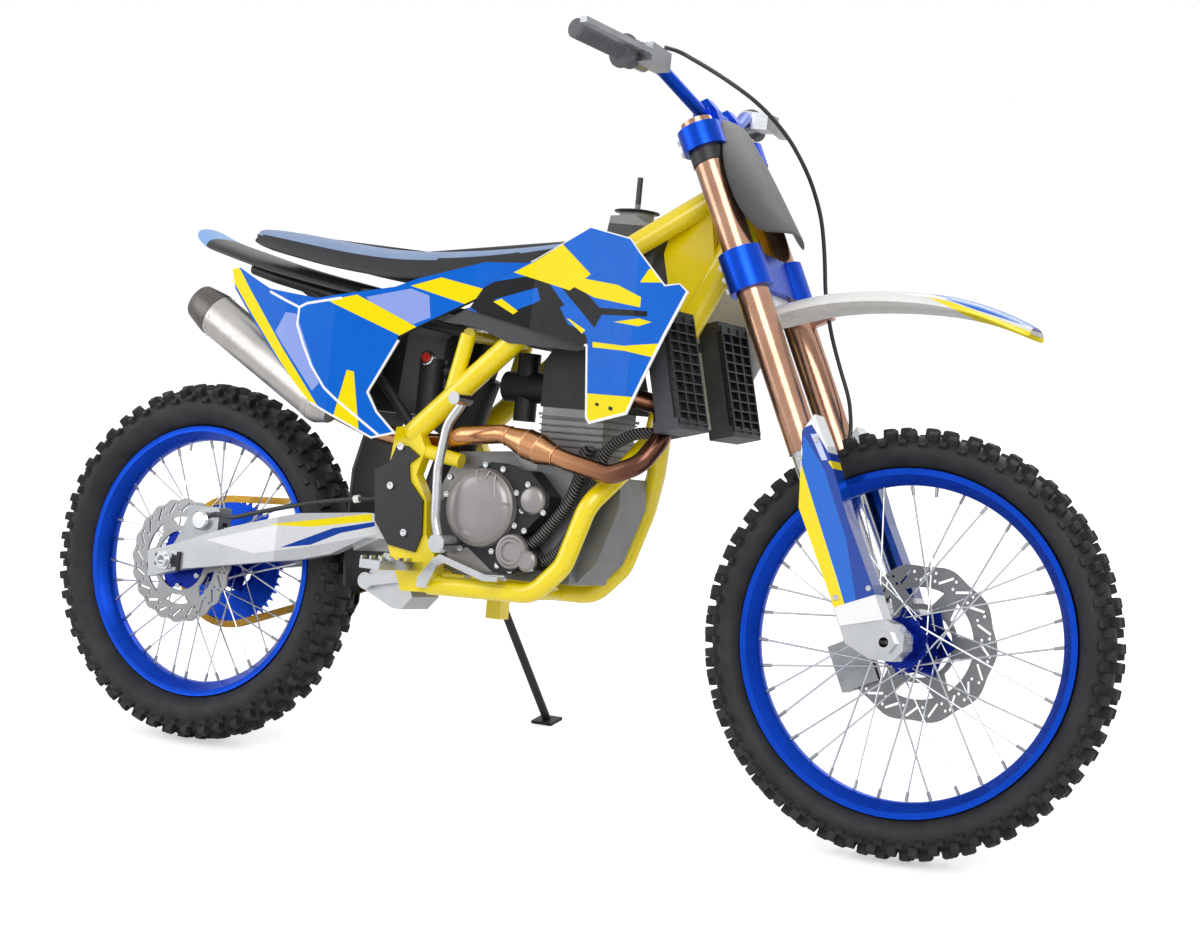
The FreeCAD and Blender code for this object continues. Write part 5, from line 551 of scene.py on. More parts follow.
SIDE_LIVERY = Livery("side_panel_stickers", BLUE, "005CC8", Surface.PLAIN, 0.3, specular=0.14, grain=6.0,
                     bump=0.01, blend=0.4, back="222326", marks=(
    Patch(LAVENDER, ((256, 811), (279, 809), (341, 688), (328, 674), (235, 775))),
    Patch(LAVENDER, ((418, 847), (501, 867), (537, 857), (543, 819), (512, 805), (439, 825))),
    Patch(YELLOW, ((90, 905), (126, 893), (343, 648), (318, 655), (97, 885))),
    Patch(YELLOW, ((344, 836), (400, 850), (520, 800), (489, 783))),
    Patch(YELLOW, ((500, 872), (557, 890), (668, 869), (611, 845))),
    Patch(YELLOW, ((394, 716), (408, 714), (430, 600), (375, 625))),
    Stroke(WHITE, 4.5, ((215, 846), (284, 821), (283, 790), (301, 753), (321, 719), (352, 682), (379, 662),
                        (466, 606))),
    Stroke(WHITE, 4.5, ((284, 821), (300, 829), (338, 836), (370, 842))),
    Stroke(WHITE, 7.0, ((491, 781), (439, 680), (459, 648), (498, 612), (452, 599), (328, 651))),
    Stroke(INK, 9.0, ((766, 921), (635, 857), (515, 794), (489, 779))),
))
SHROUD_LIVERY = Livery("shroud_stickers", BLUE, "005CC8", Surface.PLAIN, 0.3, specular=0.14, grain=6.0,
                       bump=0.01, blend=0.4, back="ECECEA", marks=(
    Patch(INK, ((600, 850), (620, 880), (760, 905), (872, 800), (880, 770), (700, 800))),
    Patch(BLUE, ((666, 857), (751, 881), (761, 859), (705, 838))),
    Patch(YELLOW, ((664, 853), (707, 833), (716, 839), (680, 859))),
    Patch(BLUE, ((807, 848), (845, 864), (897, 845), (861, 810), (828, 820))),
    Patch(YELLOW, ((815, 836), (861, 805), (880, 822), (830, 829))),
    Patch(INK, ((740, 935), (765, 945), (905, 842), (888, 815))),
    Patch(YELLOW, ((760, 910), (859, 897), (906, 897), (985, 868), (985, 851), (881, 866))),
    Patch(YELLOW, ((700, 905), (800, 955), (868, 905), (825, 877))),
    Patch(YELLOW, ((980, 892), (995, 914), (1033, 921), (1064, 914), (1066, 894))),
    Patch(INK, ((870, 850), (1000, 845), (1000, 836), (870, 838))),
    Patch(YELLOW, ((887, 792), (962, 787), (960, 779), (888, 783))),
    Patch(YELLOW, ((958, 787), (1042, 795), (1030, 769), (960, 779))),
    Patch(YELLOW, ((884, 706), (995, 704), (976, 670), (892, 652))),
    Patch(YELLOW, ((930, 826), (985, 820), (1010, 828), (985, 833))),
    Patch(INK, ((907, 692), (915, 690), (914, 685), (906, 687))),
    Patch(INK, ((938, 687), (947, 685), (946, 679), (937, 681))),
    Stroke(WHITE, 9.0, ((872, 784), (886, 665), (895, 655), (978, 675), (997, 718), (1038, 807),
                        (1075, 879))),
    Stroke(WHITE, 4.0, ((734, 926), (858, 985), (951, 965), (1029, 889), (1057, 893), (1075, 879))),
))
TANK_FINISH = Livery("moulded_fuel_tank", "3B3C3F", "2E2F32", Surface.MOULDED, 0.45, grain=1.4, bump=0.05,
                     marks=(
    Patch("8A8C8F", ((800, 1004), (925, 1004), (925, 1045), (800, 1045))),
))
GUARD_LIVERY = Livery("fork_guard_stickers", WHITE, "E4E5E8", Surface.PLAIN, 0.2, coat=0.5, grain=6.0,
                      bump=0.01, blend=0.4, marks=(
    Patch(DEEP_BLUE, ((2, 312), (12, 366), (34, 366), (62, 240), (62, 74), (-8, 78))),
    Patch(BLUE, ((-4, 310), (20, 365), (31, 355), (30, 290), (40, 243), (12, 78), (-7, 78))),
    Patch(YELLOW, ((-3, 313), (-36, 245), (-36, 78), (-8, 78))),
    Patch("C9D2F6", ((27, 352), (38, 349), (40, 303), (31, 306))),
    Patch(YELLOW, ((40, 300), (60, 300), (60, 283), (44, 287))),
    Patch(WHITE, ((-40, 76), (60, 70), (60, 30), (-40, 30))),
))
ARM_LIVERY = Livery("swingarm_stickers", "BFC1C4", "ADB0B4", Surface.BRUSHED, 0.34, 0.6, grain=1.2,
                    bump=0.004, stretch=(0.08, 1.0, 1.0), blend=0.5, marks=(
    Patch("DADBDE", ((90, 386), (230, 424), (430, 468), (440, 430), (300, 392), (200, 372))),
    Patch(YELLOW, ((229, 427), (427, 466), (429, 453), (313, 431))),
    Patch(DEEP_BLUE, ((257, 388), (316, 399), (374, 427), (358, 434))),
    Patch(DEEP_BLUE, ((356, 433), (434, 452), (435, 444), (372, 426))),
))
FENDER_LIVERY = Livery("front_fender_stickers", "ECECEA", "DEDDD8", Surface.MOULDED, 0.25, coat=0.35,
                       grain=5.0, bump=0.02, marks=(
    Patch(BLUE, ((1384, 914), (1445, 926), (1512, 912), (1600, 876), (1600, 858), (1500, 887), (1440, 901))),
    Patch(YELLOW, ((1420, 903), (1472, 895), (1540, 874), (1600, 857), (1600, 848), (1500, 872))),
))
TAIL_FINISH = Livery("tail_fender_plastic", "202124", "28292C", Surface.MOULDED, 0.36, grain=1.4, bump=0.03,
                     marks=(
    Patch("86B4EE", ((-90, 800), (-34, 800), (4, 1100), (-90, 1100))),
))
COVER_FINISH = Livery("engine_cover_castings", "2A2B2D", "202123", Surface.CAST, 0.42, 0.45, grain=1.3,
                      bump=0.10, marks=(
    Patch("8A8784", ((590, 385), (806, 385), (806, 420), (720, 452), (676, 436), (625, 446), (590, 470))),
    Round("8A8784", (675.0, 498.0), 68.5),
))


class Palette:
    """Builds each finish once and hands it out by name."""

    steered: tuple[str, ...] = ("bronze", "front_disc")

    def __init__(self) -> None:
        """Starts with nothing built."""
        self.built: dict[str, bpy.types.Material] = {}

    def get(self, name: str) -> bpy.types.Material:
        """A finish by its short name."""
        if name not in self.built:
            self.built[name] = FINISHES[name].build(STANCE.matrix(name in self.steered))
        return self.built[name]


PALETTE = Palette()


# Hand tools


class Bench:
    """Selects, shapes and finishes one object at a time."""

    @staticmethod
    def only(obj: Piece) -> None:
        """Makes an object the only one selected."""
        bpy.ops.object.select_all(action="DESELECT")
        obj.select_set(True)
        bpy.context.view_layer.objects.active = obj

    @staticmethod
    def edit() -> None:
        """Into edit mode with all selected."""
        bpy.ops.object.mode_set(mode="EDIT")
        bpy.ops.mesh.select_all(action="SELECT")

    @staticmethod
    def done() -> None:
        """Back to object mode."""
        bpy.ops.object.mode_set(mode="OBJECT")

    @staticmethod
    def added() -> Piece:
        """The primitive just added, its place taken into its mesh."""
        bpy.ops.object.transform_apply(location=True, rotation=True, scale=True)
        return bpy.context.active_object

    @staticmethod
    def faces(obj: Piece, test: Callable[[Vector], bool]) -> None:
        """Selects, in edit mode, the faces whose normal passes a test."""
        Bench.only(obj)
        bpy.ops.object.mode_set(mode="EDIT")
        bpy.ops.mesh.select_mode(type="FACE")
        bpy.ops.mesh.select_all(action="DESELECT")
        Bench.done()
        for face in obj.data.polygons:
            face.select = test(face.normal)
        bpy.ops.object.mode_set(mode="EDIT")

    @staticmethod
    def apply(obj: Piece, kind: str, **settings: object) -> None:
        """Adds a modifier and applies it."""
        Bench.only(obj)
        modifier = obj.modifiers.new(kind.lower(), kind)
        for key, value in settings.items():
            setattr(modifier, key, value)
        bpy.ops.object.modifier_apply(modifier=modifier.name)

    @staticmethod
    def smooth(obj: Piece, angle_deg: float) -> None:
        """Smooth shading with sharp edges kept."""
        Bench.only(obj)
        bpy.ops.object.shade_smooth_by_angle(angle=math.radians(angle_deg))

    @staticmethod
    def outward(obj: Piece) -> None:
        """Merges doubles and points all faces outward."""
        Bench.only(obj)
        Bench.edit()
        bpy.ops.mesh.remove_doubles(threshold=0.01)
        bpy.ops.mesh.normals_make_consistent(inside=False)
        Bench.done()

    @staticmethod
    def cylinder(start: Sequence[float], end: Sequence[float], radius: float, sides: int = 20) -> Piece:
        """A cylinder between two points."""
        a, b = Vector(start), Vector(end)
        turn = (b - a).to_track_quat("Z", "Y").to_euler()
        bpy.ops.mesh.primitive_cylinder_add(vertices=sides, radius=radius, depth=(b - a).length,
                                            location=(a + b) / 2, rotation=turn)
        return Bench.added()

    @staticmethod
    def box(low: Sequence[float], high: Sequence[float], bevel: float = 0.0, segments: int = 2) -> Piece:
        """A box between two corners, its edges rounded where a bevel is given."""
        a, b = Vector(low), Vector(high)
        bpy.ops.mesh.primitive_cube_add(size=1.0, location=(a + b) / 2)
        bpy.context.active_object.scale = b - a
        obj = Bench.added()
        if bevel:
            Bench.apply(obj, "BEVEL", width=bevel, segments=segments)
        return obj

    @staticmethod
    def ring(centre: Vector, axis: Vector, radius: float, thickness: float, sides: int, around: int) -> Piece:
        """A round ring about a line."""
        turn = axis.to_track_quat("Z", "Y").to_euler()
        bpy.ops.mesh.primitive_torus_add(major_segments=sides, minor_segments=around, major_radius=radius,
                                         minor_radius=thickness, location=centre, rotation=turn)
        return Bench.added()

    @staticmethod
    def plate(corners: Sequence[Flat], low: float, high: float) -> Piece:
        """A flat piece with a side-view outline between two depths.

        Args:
            corners: Outline as (x, z).
            low, high: The two depths along Y.

        Returns:
            The closed piece.
        """
        bpy.ops.mesh.primitive_circle_add(vertices=len(corners), radius=1.0, fill_type="NGON")
        obj = bpy.context.active_object
        for vertex, (x, z) in zip(obj.data.vertices, corners):
            vertex.co = (x, low, z)
        Bench.edit()
        bpy.ops.mesh.extrude_region_move(TRANSFORM_OT_translate={"value": (0, high - low, 0)})
        bpy.ops.mesh.select_all(action="SELECT")
        bpy.ops.mesh.normals_make_consistent(inside=False)
        Bench.done()
        return obj

    @staticmethod
    def turned(profile: Sequence[Flat], steps: int, centre: Point) -> Piece:
        """Spins a closed (radius, y) profile about the axle line.

        Args:
            profile: Corners of the section.
            steps: Facets round the axle.
            centre: Point on the axle.

        Returns:
            The closed ring.
        """
        bpy.ops.mesh.primitive_circle_add(vertices=len(profile), radius=1.0)
        obj = bpy.context.active_object
        for vertex, (radius, y) in zip(obj.data.vertices, profile):
            vertex.co = (centre[0] + radius, centre[1] + y, centre[2])
        Bench.edit()
        bpy.ops.mesh.spin(steps=steps, angle=TURN, center=centre, axis=LEFT)
        bpy.ops.mesh.select_all(action="SELECT")
        bpy.ops.mesh.remove_doubles(threshold=0.01)
        bpy.ops.mesh.normals_make_consistent(inside=False)
        Bench.done()
        return obj

    @staticmethod
    def lathe(profile: Sequence[Flat], centre: Sequence[float], axis: Sequence[float],
              steps: int = 40) -> Piece:
        """A turned piece: (radius, height) corners from the axis back to the axis, about any line."""
        obj = Bench.turned(profile, steps, (0.0, 0.0, 0.0))
        turn = Vector(axis).to_track_quat("Y", "Z").to_matrix().to_4x4()
        obj.data.transform(Matrix.Translation(Vector(centre)) @ turn)
        return obj

    @staticmethod
    def tube(points: Sequence[Sequence[float]], radius: float, sides: int) -> Piece:
        """A round tube along a smooth line through the points."""
        bpy.ops.curve.primitive_bezier_curve_add()
        obj = bpy.context.active_object
        data = obj.data
        spline = data.splines[0]
        spline.bezier_points.add(len(points) - 2)
        for knot, spot in zip(spline.bezier_points, points):
            knot.co = spot
            knot.handle_left_type = "AUTO"
            knot.handle_right_type = "AUTO"
        data.resolution_u = 6
        data.bevel_depth = radius
        data.bevel_resolution = sides // 4
        data.use_fill_caps = True
        Bench.only(obj)
        bpy.ops.object.convert(target="MESH")
        obj = bpy.context.active_object
        Bench.outward(obj)
        return obj

    @staticmethod
    def sheet(rows: Sequence[Sequence[Point]]) -> Piece:
        """A sheet of four-sided faces through rows of points."""
        bpy.ops.mesh.primitive_grid_add(x_subdivisions=len(rows[0]) - 1, y_subdivisions=len(rows) - 1,
                                        size=1.0)
        obj = bpy.context.active_object
        order = sorted(obj.data.vertices, key=lambda vertex: (round(vertex.co.y, 4), vertex.co.x))
        for vertex, spot in zip(order, (spot for row in rows for spot in row)):
            vertex.co = spot
        return obj

    @staticmethod
    def mirrored(half: Sequence[Point]) -> list[Point]:
        """A row from the right edge over the middle to the left edge, given its left half."""
        return [(x, -y, z) for x, y, z in reversed(half)] + list(half[1:])

    @staticmethod
    def copies(original: Piece, places: Iterable[Matrix]) -> Piece:
        """Repeats a piece, each copy with its own mesh, and joins them.

        Args:
            original: The piece, modelled at the middle of the drawing.
            places: Where each copy goes.

        Returns:
            One object with all the copies.
        """
        made = []
        for place in places:
            twin = original.copy()
            twin.data = original.data.copy()
            twin.data.transform(place)
            bpy.context.scene.collection.objects.link(twin)
            made.append(twin)
        bpy.data.objects.remove(original)
        return Bench.join(made)

    @staticmethod
    def join(pieces: Sequence[Piece]) -> Piece:
        """Joins pieces into one object."""
        bpy.ops.object.select_all(action="DESELECT")
        for piece in pieces:
            piece.select_set(True)
        bpy.context.view_layer.objects.active = pieces[0]
        if len(pieces) > 1:
            bpy.ops.object.join()
        return bpy.context.view_layer.objects.active

    @staticmethod
    def dress(obj: Piece, finish: bpy.types.Material | str) -> Piece:
        """Gives a piece one finish all over."""
        obj.data.materials.clear()
        obj.data.materials.append(PALETTE.get(finish) if isinstance(finish, str) else finish)
        return obj


@dataclass(frozen=True)
class Home:
    """A body that pieces ride on, and whether it turns with the handlebar."""

    body: str
    steered: bool = False

    def take(self, obj: Piece, name: str, slot: str, angle: float = 0.0, stands_for: str = "",
             place: Matrix | None = None) -> Piece:
        """Takes an upright piece in millimetres to its parked place.

        Args:
            obj: The piece.
            name: Its name.
            slot: The record's material slot; not used.
            angle: Edges under this many degrees are shaded smooth, none if zero.
            stands_for: The CAD node that it replaces.
            place: Another drawing's placement, such as the fork leg's.

        Returns:
            The same object.
        """
        if angle:
            Bench.smooth(obj, angle)
        obj.name = name
        obj.data.name = name
        obj.data.transform(place or STANCE.matrix(self.steered))
        obj.data.update()
        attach(obj, self.body)
        if stands_for:
            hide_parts(stands_for)
        log.info("%s: %d faces", name, len(obj.data.polygons))
        return obj


CHASSIS = Home("chassis")
STEERING = Home("steering", True)
FRONT_WHEEL = Home("front_wheel", True)
REAR_WHEEL = Home("rear_wheel")


# Wheels


@dataclass(frozen=True)
class KnobRow:
    """One ring of knobs to each side of a tyre.

    Args:
        across: Width of a knob as a share of the tyre's.
        along: Its length round the wheel.
        leans: How far even and odd knobs lean from the crown, in radians.
        leads: How far even and odd knobs lie ahead, in pitches.
        height: Share of the full height.
    """

    across: float
    along: float
    leans: Flat
    leads: Flat
    height: float = 1.0


@dataclass
class Wheel:
    """A wire wheel with a knobbly tyre.

    Args:
        label: front or rear.
        home: The body that it is.
        centre: Middle of the wheel, upright.
        tyre_radius, tyre_width, rim_radius, rim_width: Sizes of tyre and rim.
        pitches: Knob rows round the tyre.
        flange_radius, flange_y: Where the spokes hold the hub.
    """

    label: str
    home: Home
    centre: Point
    tyre_radius: float
    tyre_width: float
    rim_radius: float
    rim_width: float
    pitches: int
    flange_radius: float
    flange_y: float
    flange_half: float = 2.5
    knob_height: float = 13.0
    knob_root: float = 5.0
    knob_top: Point = (0.80, 0.82, 1.0)
    rows: tuple[KnobRow, ...] = (
        KnobRow(0.17, 19.0, (0.20, 0.30), (0.15, 0.0)),
        KnobRow(0.16, 17.0, (0.72, 0.80), (0.45, 0.45)),
        KnobRow(0.09, 15.0, (1.2, 1.12), (0.05, 0.05), 0.62))
    spoke_count: int = 36
    spoke_radius: float = 1.55
    spoke_gap: float = 3.2
    spoke_swing_deg: float = 60.0
    nipple_radius: float = 2.9
    nipple_length: float = 15.0
    rim_depth: float = 25.0

    def __post_init__(self) -> None:
        """Works out the section of the carcass under the knobs."""
        crown = self.tyre_radius - self.knob_height - 1.2
        bead = self.rim_radius - 2.0
        self.half_height = (crown - bead) / 2
        self.half_width = self.tyre_width / 2 * 0.93
        self.middle = (crown + bead) / 2

    def knob(self, row: KnobRow) -> Piece:
        """One tapered, bevelled rubber block, standing on Z = 0, sunk a little below it."""
        half_across, half_along = row.across * self.tyre_width / 2, row.along / 2
        block = Bench.box((-half_along, -half_across, -self.knob_root),
                          (half_along, half_across, self.knob_height))
        Bench.faces(block, lambda normal: normal.z > 0.9)
        bpy.ops.transform.resize(value=self.knob_top)
        bpy.ops.mesh.bevel(offset=1.1, segments=1)
        Bench.done()
        return block

    def knob_place(self, pitch: float, lean: float) -> Matrix:
        """Place of one knob: angle round the wheel from its top, and lean round the tyre's section."""
        sine, cosine = math.sin(lean), math.cos(lean)
        foot = Vector((0.0, self.half_width * sine, self.middle + self.half_height * cosine))
        tilt = Matrix.Rotation(-math.atan2(sine * self.half_height, cosine * self.half_width), 4, "X")
        about = Matrix.Translation(self.centre) @ Matrix.Rotation(pitch, 4, "Y")
        return about @ Matrix.Translation(foot) @ tilt

    def tyre(self) -> None:
        """Carcass with rows of knobs, in place of the CAD tyre."""
        bpy.ops.mesh.primitive_torus_add(major_segments=120, minor_segments=28, major_radius=self.middle,
                                         minor_radius=self.half_height, location=self.centre,
                                         rotation=(math.pi / 2, 0, 0))
        pieces = [Bench.added()]
        Bench.edit()
        bpy.ops.transform.resize(value=(1.0, self.half_width / self.half_height, 1.0),
                                 center_override=self.centre)
        Bench.done()
        for row in self.rows:
            flat = Matrix.Scale(row.height, 4, UP)
            pieces.append(Bench.copies(self.knob(row), [
                self.knob_place((k + row.leads[k % 2]) * TURN / self.pitches, side * row.leans[k % 2]) @ flat
                for k in range(self.pitches) for side in SIDES]))
        tyre = Bench.dress(Bench.join(pieces), "tyre")
        self.home.take(tyre, self.label + "_tyre_knobbly", "tyre_rubber", 32.0, self.label + "_tyre")

    def rim(self) -> None:
        """Rim with rolled edges and a drop centre."""
        r, half = self.rim_radius, self.rim_width / 2
        bed = r - self.rim_depth
        outside = [(r, half - 1.5), (r + 1.0, half + 0.5), (r - 2.0, half), (r - 9.0, half),
                   (r - 12.0, half * 0.86),
                   (bed + 2.0, half * 0.42), (bed, half * 0.3)]
        inside = [(r - 6.0, half - 4.0), (bed + 5.0, half * 0.3)]
        profile = ([(radius, -y) for radius, y in outside] + [(bed - 0.6, 0.0)] + outside[::-1] + inside
                   + [(radius, -y) for radius, y in reversed(inside)])
        rim = Bench.dress(Bench.turned(profile, 96, self.centre), "blue_metal")
        self.home.take(rim, self.label + "_rim_rolled", "blue_anodised", 30.0, self.label + "_rim")

    def spokes(self) -> None:
        """Round laced spokes with nipples at the rim."""
        rods, nipples = [], []
        centre = Vector(self.centre)
        hub_radius = self.flange_radius - self.spoke_gap
        rim_end = self.rim_radius - self.rim_depth - 0.9
        for k in range(self.spoke_count):
            angle = (k + 0.5) * TURN / self.spoke_count
            side, lead = SIDES[k % 2], SIDES[(k // 2) % 2]
            hub_y = side * (self.flange_y + lead * (self.flange_half + self.spoke_gap / 2 + 2.0))
            swung = angle + lead * math.radians(self.spoke_swing_deg)
            hub_end = centre + Vector((hub_radius * math.cos(swung), hub_y, hub_radius * math.sin(swung)))
            rim_side = centre + Vector((rim_end * math.cos(angle), side * self.spoke_gap * 1.5,
                                        rim_end * math.sin(angle)))
            rods.append(Bench.cylinder(hub_end, rim_side, self.spoke_radius, 8))
            back = (hub_end - rim_side).normalized()
            nipple_end = rim_side + back * self.nipple_length
            nipples.append(Bench.cylinder(rim_side, nipple_end, self.nipple_radius, 6))
        for pieces, finish in ((rods, "bright"), (nipples, "steel")):
            for piece in pieces:
                Bench.dress(piece, finish)
        self.home.take(Bench.join(rods + nipples), self.label + "_spokes_laced", "chrome_steel", 45.0,
                       self.label + "_spokes")

    def build(self) -> None:
        """Makes all the wheel's pieces."""
        self.tyre()
        self.rim()
        self.spokes()


@dataclass
class BrakeDisc:
    """Wave disc with six arms, slanted slots and round holes."""

    label: str
    home: Home
    centre: Point
    radius: float
    waves: int = 10
    bore: float = 56.0
    carrier: float = 9.0
    half: float = 2.0
    band: float = 0.30
    arms: int = 6
    gap: Flat = (0.14, 0.86)
    slots: int = 20
    slot_share: float = 0.105
    slot_deg: float = 48.0
    holes: tuple[Flat, ...] = ((0.80, 0.026), (0.90, -0.022))
    hole_radius: float = 2.6
    cut_half: float = 6.0

    def at(self, turn: float, radius: float) -> Flat:
        """A point of the side view at a share of a turn."""
        angle = TURN * turn
        return self.centre[0] + radius * math.cos(angle), self.centre[2] + radius * math.sin(angle)

    def wave(self, turn: float) -> float:
        """Edge radius at a share of a turn."""
        return self.radius * (0.98 + 0.02 * math.cos(TURN * turn * self.waves))

    def sector(self, corners: Sequence[Flat]) -> Piece:
        """A cutter with a side-view outline."""
        return Bench.plate(corners, self.centre[1] - self.cut_half, self.centre[1] + self.cut_half)

    def window(self, start: float, end: float) -> Piece:
        """The cutter of the window between two arms, narrower at its inner end."""
        arc = [start + (end - start) * k / 10 for k in range(11)]
        middle = (start + end) / 2
        outer = [self.at(turn, self.radius * (1.0 - self.band)) for turn in arc]
        inner = [self.at(middle + (turn - middle) * 0.6, self.bore + self.carrier) for turn in reversed(arc)]
        return self.sector(outer + inner)

    def build(self) -> None:
        """Cuts the windows, slots and holes out of a waved plate."""
        edge = [self.at(k / 160, self.wave(k / 160)) for k in range(160)]
        disc = Bench.plate(edge, self.centre[1] - self.half, self.centre[1] + self.half)
        cutters = [self.sector([self.at(k / 40, self.bore) for k in range(40)])]
        cutters += [self.window((k + self.gap[0]) / self.arms, (k + self.gap[1]) / self.arms)
                    for k in range(self.arms)]
        slot = self.radius * self.slot_share
        for k in range(self.slots):
            turn = k / self.slots
            box = Bench.box((-slot, -self.cut_half, -2.0), (slot, self.cut_half, 2.0))
            about = Matrix.Translation(self.centre) @ Matrix.Rotation(-TURN * turn, 4, "Y")
            out = Matrix.Translation((self.radius * (1.0 - self.band / 2), 0, 0))
            box.data.transform(about @ out @ Matrix.Rotation(math.radians(self.slot_deg), 4, "Y"))
            cutters.append(box)
            for reach, lead in self.holes:
                x, z = self.at(turn + lead, self.radius * reach)
                cutters.append(Bench.cylinder((x, self.centre[1] - self.cut_half, z),
                                              (x, self.centre[1] + self.cut_half, z), self.hole_radius, 10))
        cutter = Bench.join(cutters)
        Bench.apply(disc, "BOOLEAN", object=cutter, operation="DIFFERENCE", solver="EXACT")
        bpy.data.objects.remove(cutter)
        Bench.dress(disc, self.label)
        self.home.take(disc, self.label + "_waved", "steel", 30.0, self.label)


# Seat and fenders


@dataclass
class Saddle:
    """Long saddle: slate top, black sides, crowned across and dipped in the middle.

    Args:
        x, length, z, dip, half, depth: Rear end, length, lowest top, rise of the ends, half width and depth.
        stations: Shares of length, dip, depth, and of the half width at the top and at the foot.
        across: Shares of the half width, and of the fall from top to foot.
    """

    x: float = 28.0
    length: float = 794.0
    z: float = 943.0
    dip: float = 42.0
    half: float = 108.0
    depth: float = 75.0
    top_normal: float = 0.62
    stations: tuple[tuple[float, ...], ...] = (
        (0.00, 0.79, 0.30, 0.55, 0.64), (0.14, 0.79, 0.82, 0.66, 0.82), (0.30, 0.36, 0.90, 0.74, 0.93),
        (0.49, 0.00, 1.00, 0.76, 1.00), (0.65, 0.14, 1.00, 0.72, 0.90), (0.78, 0.36, 0.84, 0.64, 0.78),
        (0.90, 0.68, 0.55, 0.52, 0.62), (1.00, 1.00, 0.30, 0.38, 0.48))
    across: tuple[Flat, ...] = (
        (0.0, 0.0), (0.35, 0.01), (0.68, 0.05), (0.90, 0.16), (1.0, 0.34), (1.0, 0.62), (1.0, 1.0))

    def build(self) -> None:
        """Lofts the pad between its stations, crowns it and parks it."""
        rows = []
        for along, top, deep, narrow, wide in self.stations:
            half_row = [(self.x + along * self.length, share * (narrow + (wide - narrow) * fall) * self.half,
                         self.z + top * self.dip - deep * self.depth * fall) for share, fall in self.across]
            rows.append(Bench.mirrored(half_row))
        pad = Bench.sheet(rows)
        Bench.only(pad)
        Bench.edit()
        bpy.ops.mesh.region_to_loop()
        bpy.ops.mesh.edge_face_add()
        bpy.ops.mesh.select_all(action="SELECT")
        bpy.ops.mesh.normals_make_consistent(inside=False)
        Bench.done()
        Bench.apply(pad, "SUBSURF", levels=2, render_levels=2)
        Bench.dress(pad, "seat_side")
        pad.data.materials.append(PALETTE.get("seat_top"))
        for face in pad.data.polygons:
            if face.normal.z > self.top_normal:
                face.material_index = 1
        CHASSIS.take(pad, "seat_pad_crowned", "blue_seat_cover", 50.0, "seat")


@dataclass
class Fender:
    """A smooth arched fender.

    Args:
        label: front_fender or rear_fender.
        x, length, half: Rear end, length and half width.
        z, rise, skirt: Foot, rise of the crown and fall of the edge.
        stations: Shares of length, rise and half width.
        boss: Back, front, half width, foot and top of its mounting block, in fork leg coordinates.
    """

    label: str
    home: Home
    finish: Finish
    x: float
    length: float
    half: float
    z: float
    rise: float
    skirt: float
    stations: tuple[tuple[float, ...], ...]
    boss: tuple[float, ...] = ()
    thickness: float = 4.0
    across: tuple[Flat, ...] = ((0.0, 0.0), (0.4, 0.02), (0.82, 0.22), (0.97, 0.6), (1.0, 1.0))

    def build(self) -> None:
        """Shapes a sheet to the stations, thickens it and rounds it."""
        sheet = Bench.sheet([Bench.mirrored([
            (self.x + along * self.length, share * wide * self.half,
             self.z + crown * self.rise - fall * self.skirt)
            for share, fall in self.across]) for along, crown, wide in self.stations])
        Bench.outward(sheet)
        inward = -1.0 if sheet.data.polygons[0].normal.z > 0 else 1.0
        Bench.apply(sheet, "SOLIDIFY", thickness=self.thickness, offset=inward)
        Bench.apply(sheet, "SUBSURF", levels=2, render_levels=2)
        if self.boss:
            back, front, half, low, high = self.boss
            block = Bench.box((back, -half, low), (front, half, high))
            block.data.transform(STANCE.matrix(True).inverted() @ STANCE.leg_matrix())
            sheet = Bench.join([sheet, block])
        Bench.dress(sheet, self.finish.build(STANCE.matrix(self.home.steered)))
        self.home.take(sheet, self.label + "_smooth", "white_plastic", 50.0, self.label)


# Small fittings


@dataclass(frozen=True)
class Screw:
    """One kind of plated screw or nut head, repeated where it sits."""

    radius: float
    height: float
    sides: int = 12

    def head(self) -> Piece:
        """One head, standing on Z = 0 with a sunk socket."""
        bpy.ops.mesh.primitive_cylinder_add(vertices=self.sides, radius=self.radius, depth=self.height + 1.0,
                                            location=(0, 0, (self.height - 1.0) / 2))
        head = Bench.added()
        Bench.faces(head, lambda normal: normal.z > 0.9)
        bpy.ops.mesh.inset(thickness=self.radius * 0.18)
        bpy.ops.mesh.inset(thickness=self.radius * 0.25)
        bpy.ops.mesh.extrude_region_move(TRANSFORM_OT_translate={"value": (0, 0, -self.height * 0.55)})
        Bench.done()
        return head

    def row(self, name: str, home: Home, spots: Sequence[Sequence[float]], axis: Sequence[float]) -> None:
        """A set of equal heads facing one way."""
        turn = Vector(axis).to_track_quat("Z", "Y").to_matrix().to_4x4()
        heads = Bench.copies(self.head(), [Matrix.Translation(spot) @ turn for spot in spots])
        home.take(Bench.dress(heads, "bright"), name, "steel", 30.0)

    def circle(self, name: str, home: Home, count: int, centre: Point, radius: float, lead: float,
               axis: Point) -> None:
        """Heads on a circle in the side view, the first one this many radians on."""
        spots = [(centre[0] + radius * math.cos(k * TURN / count + lead), centre[1],
                  centre[2] + radius * math.sin(k * TURN / count + lead)) for k in range(count)]
        self.row(name, home, spots, axis)


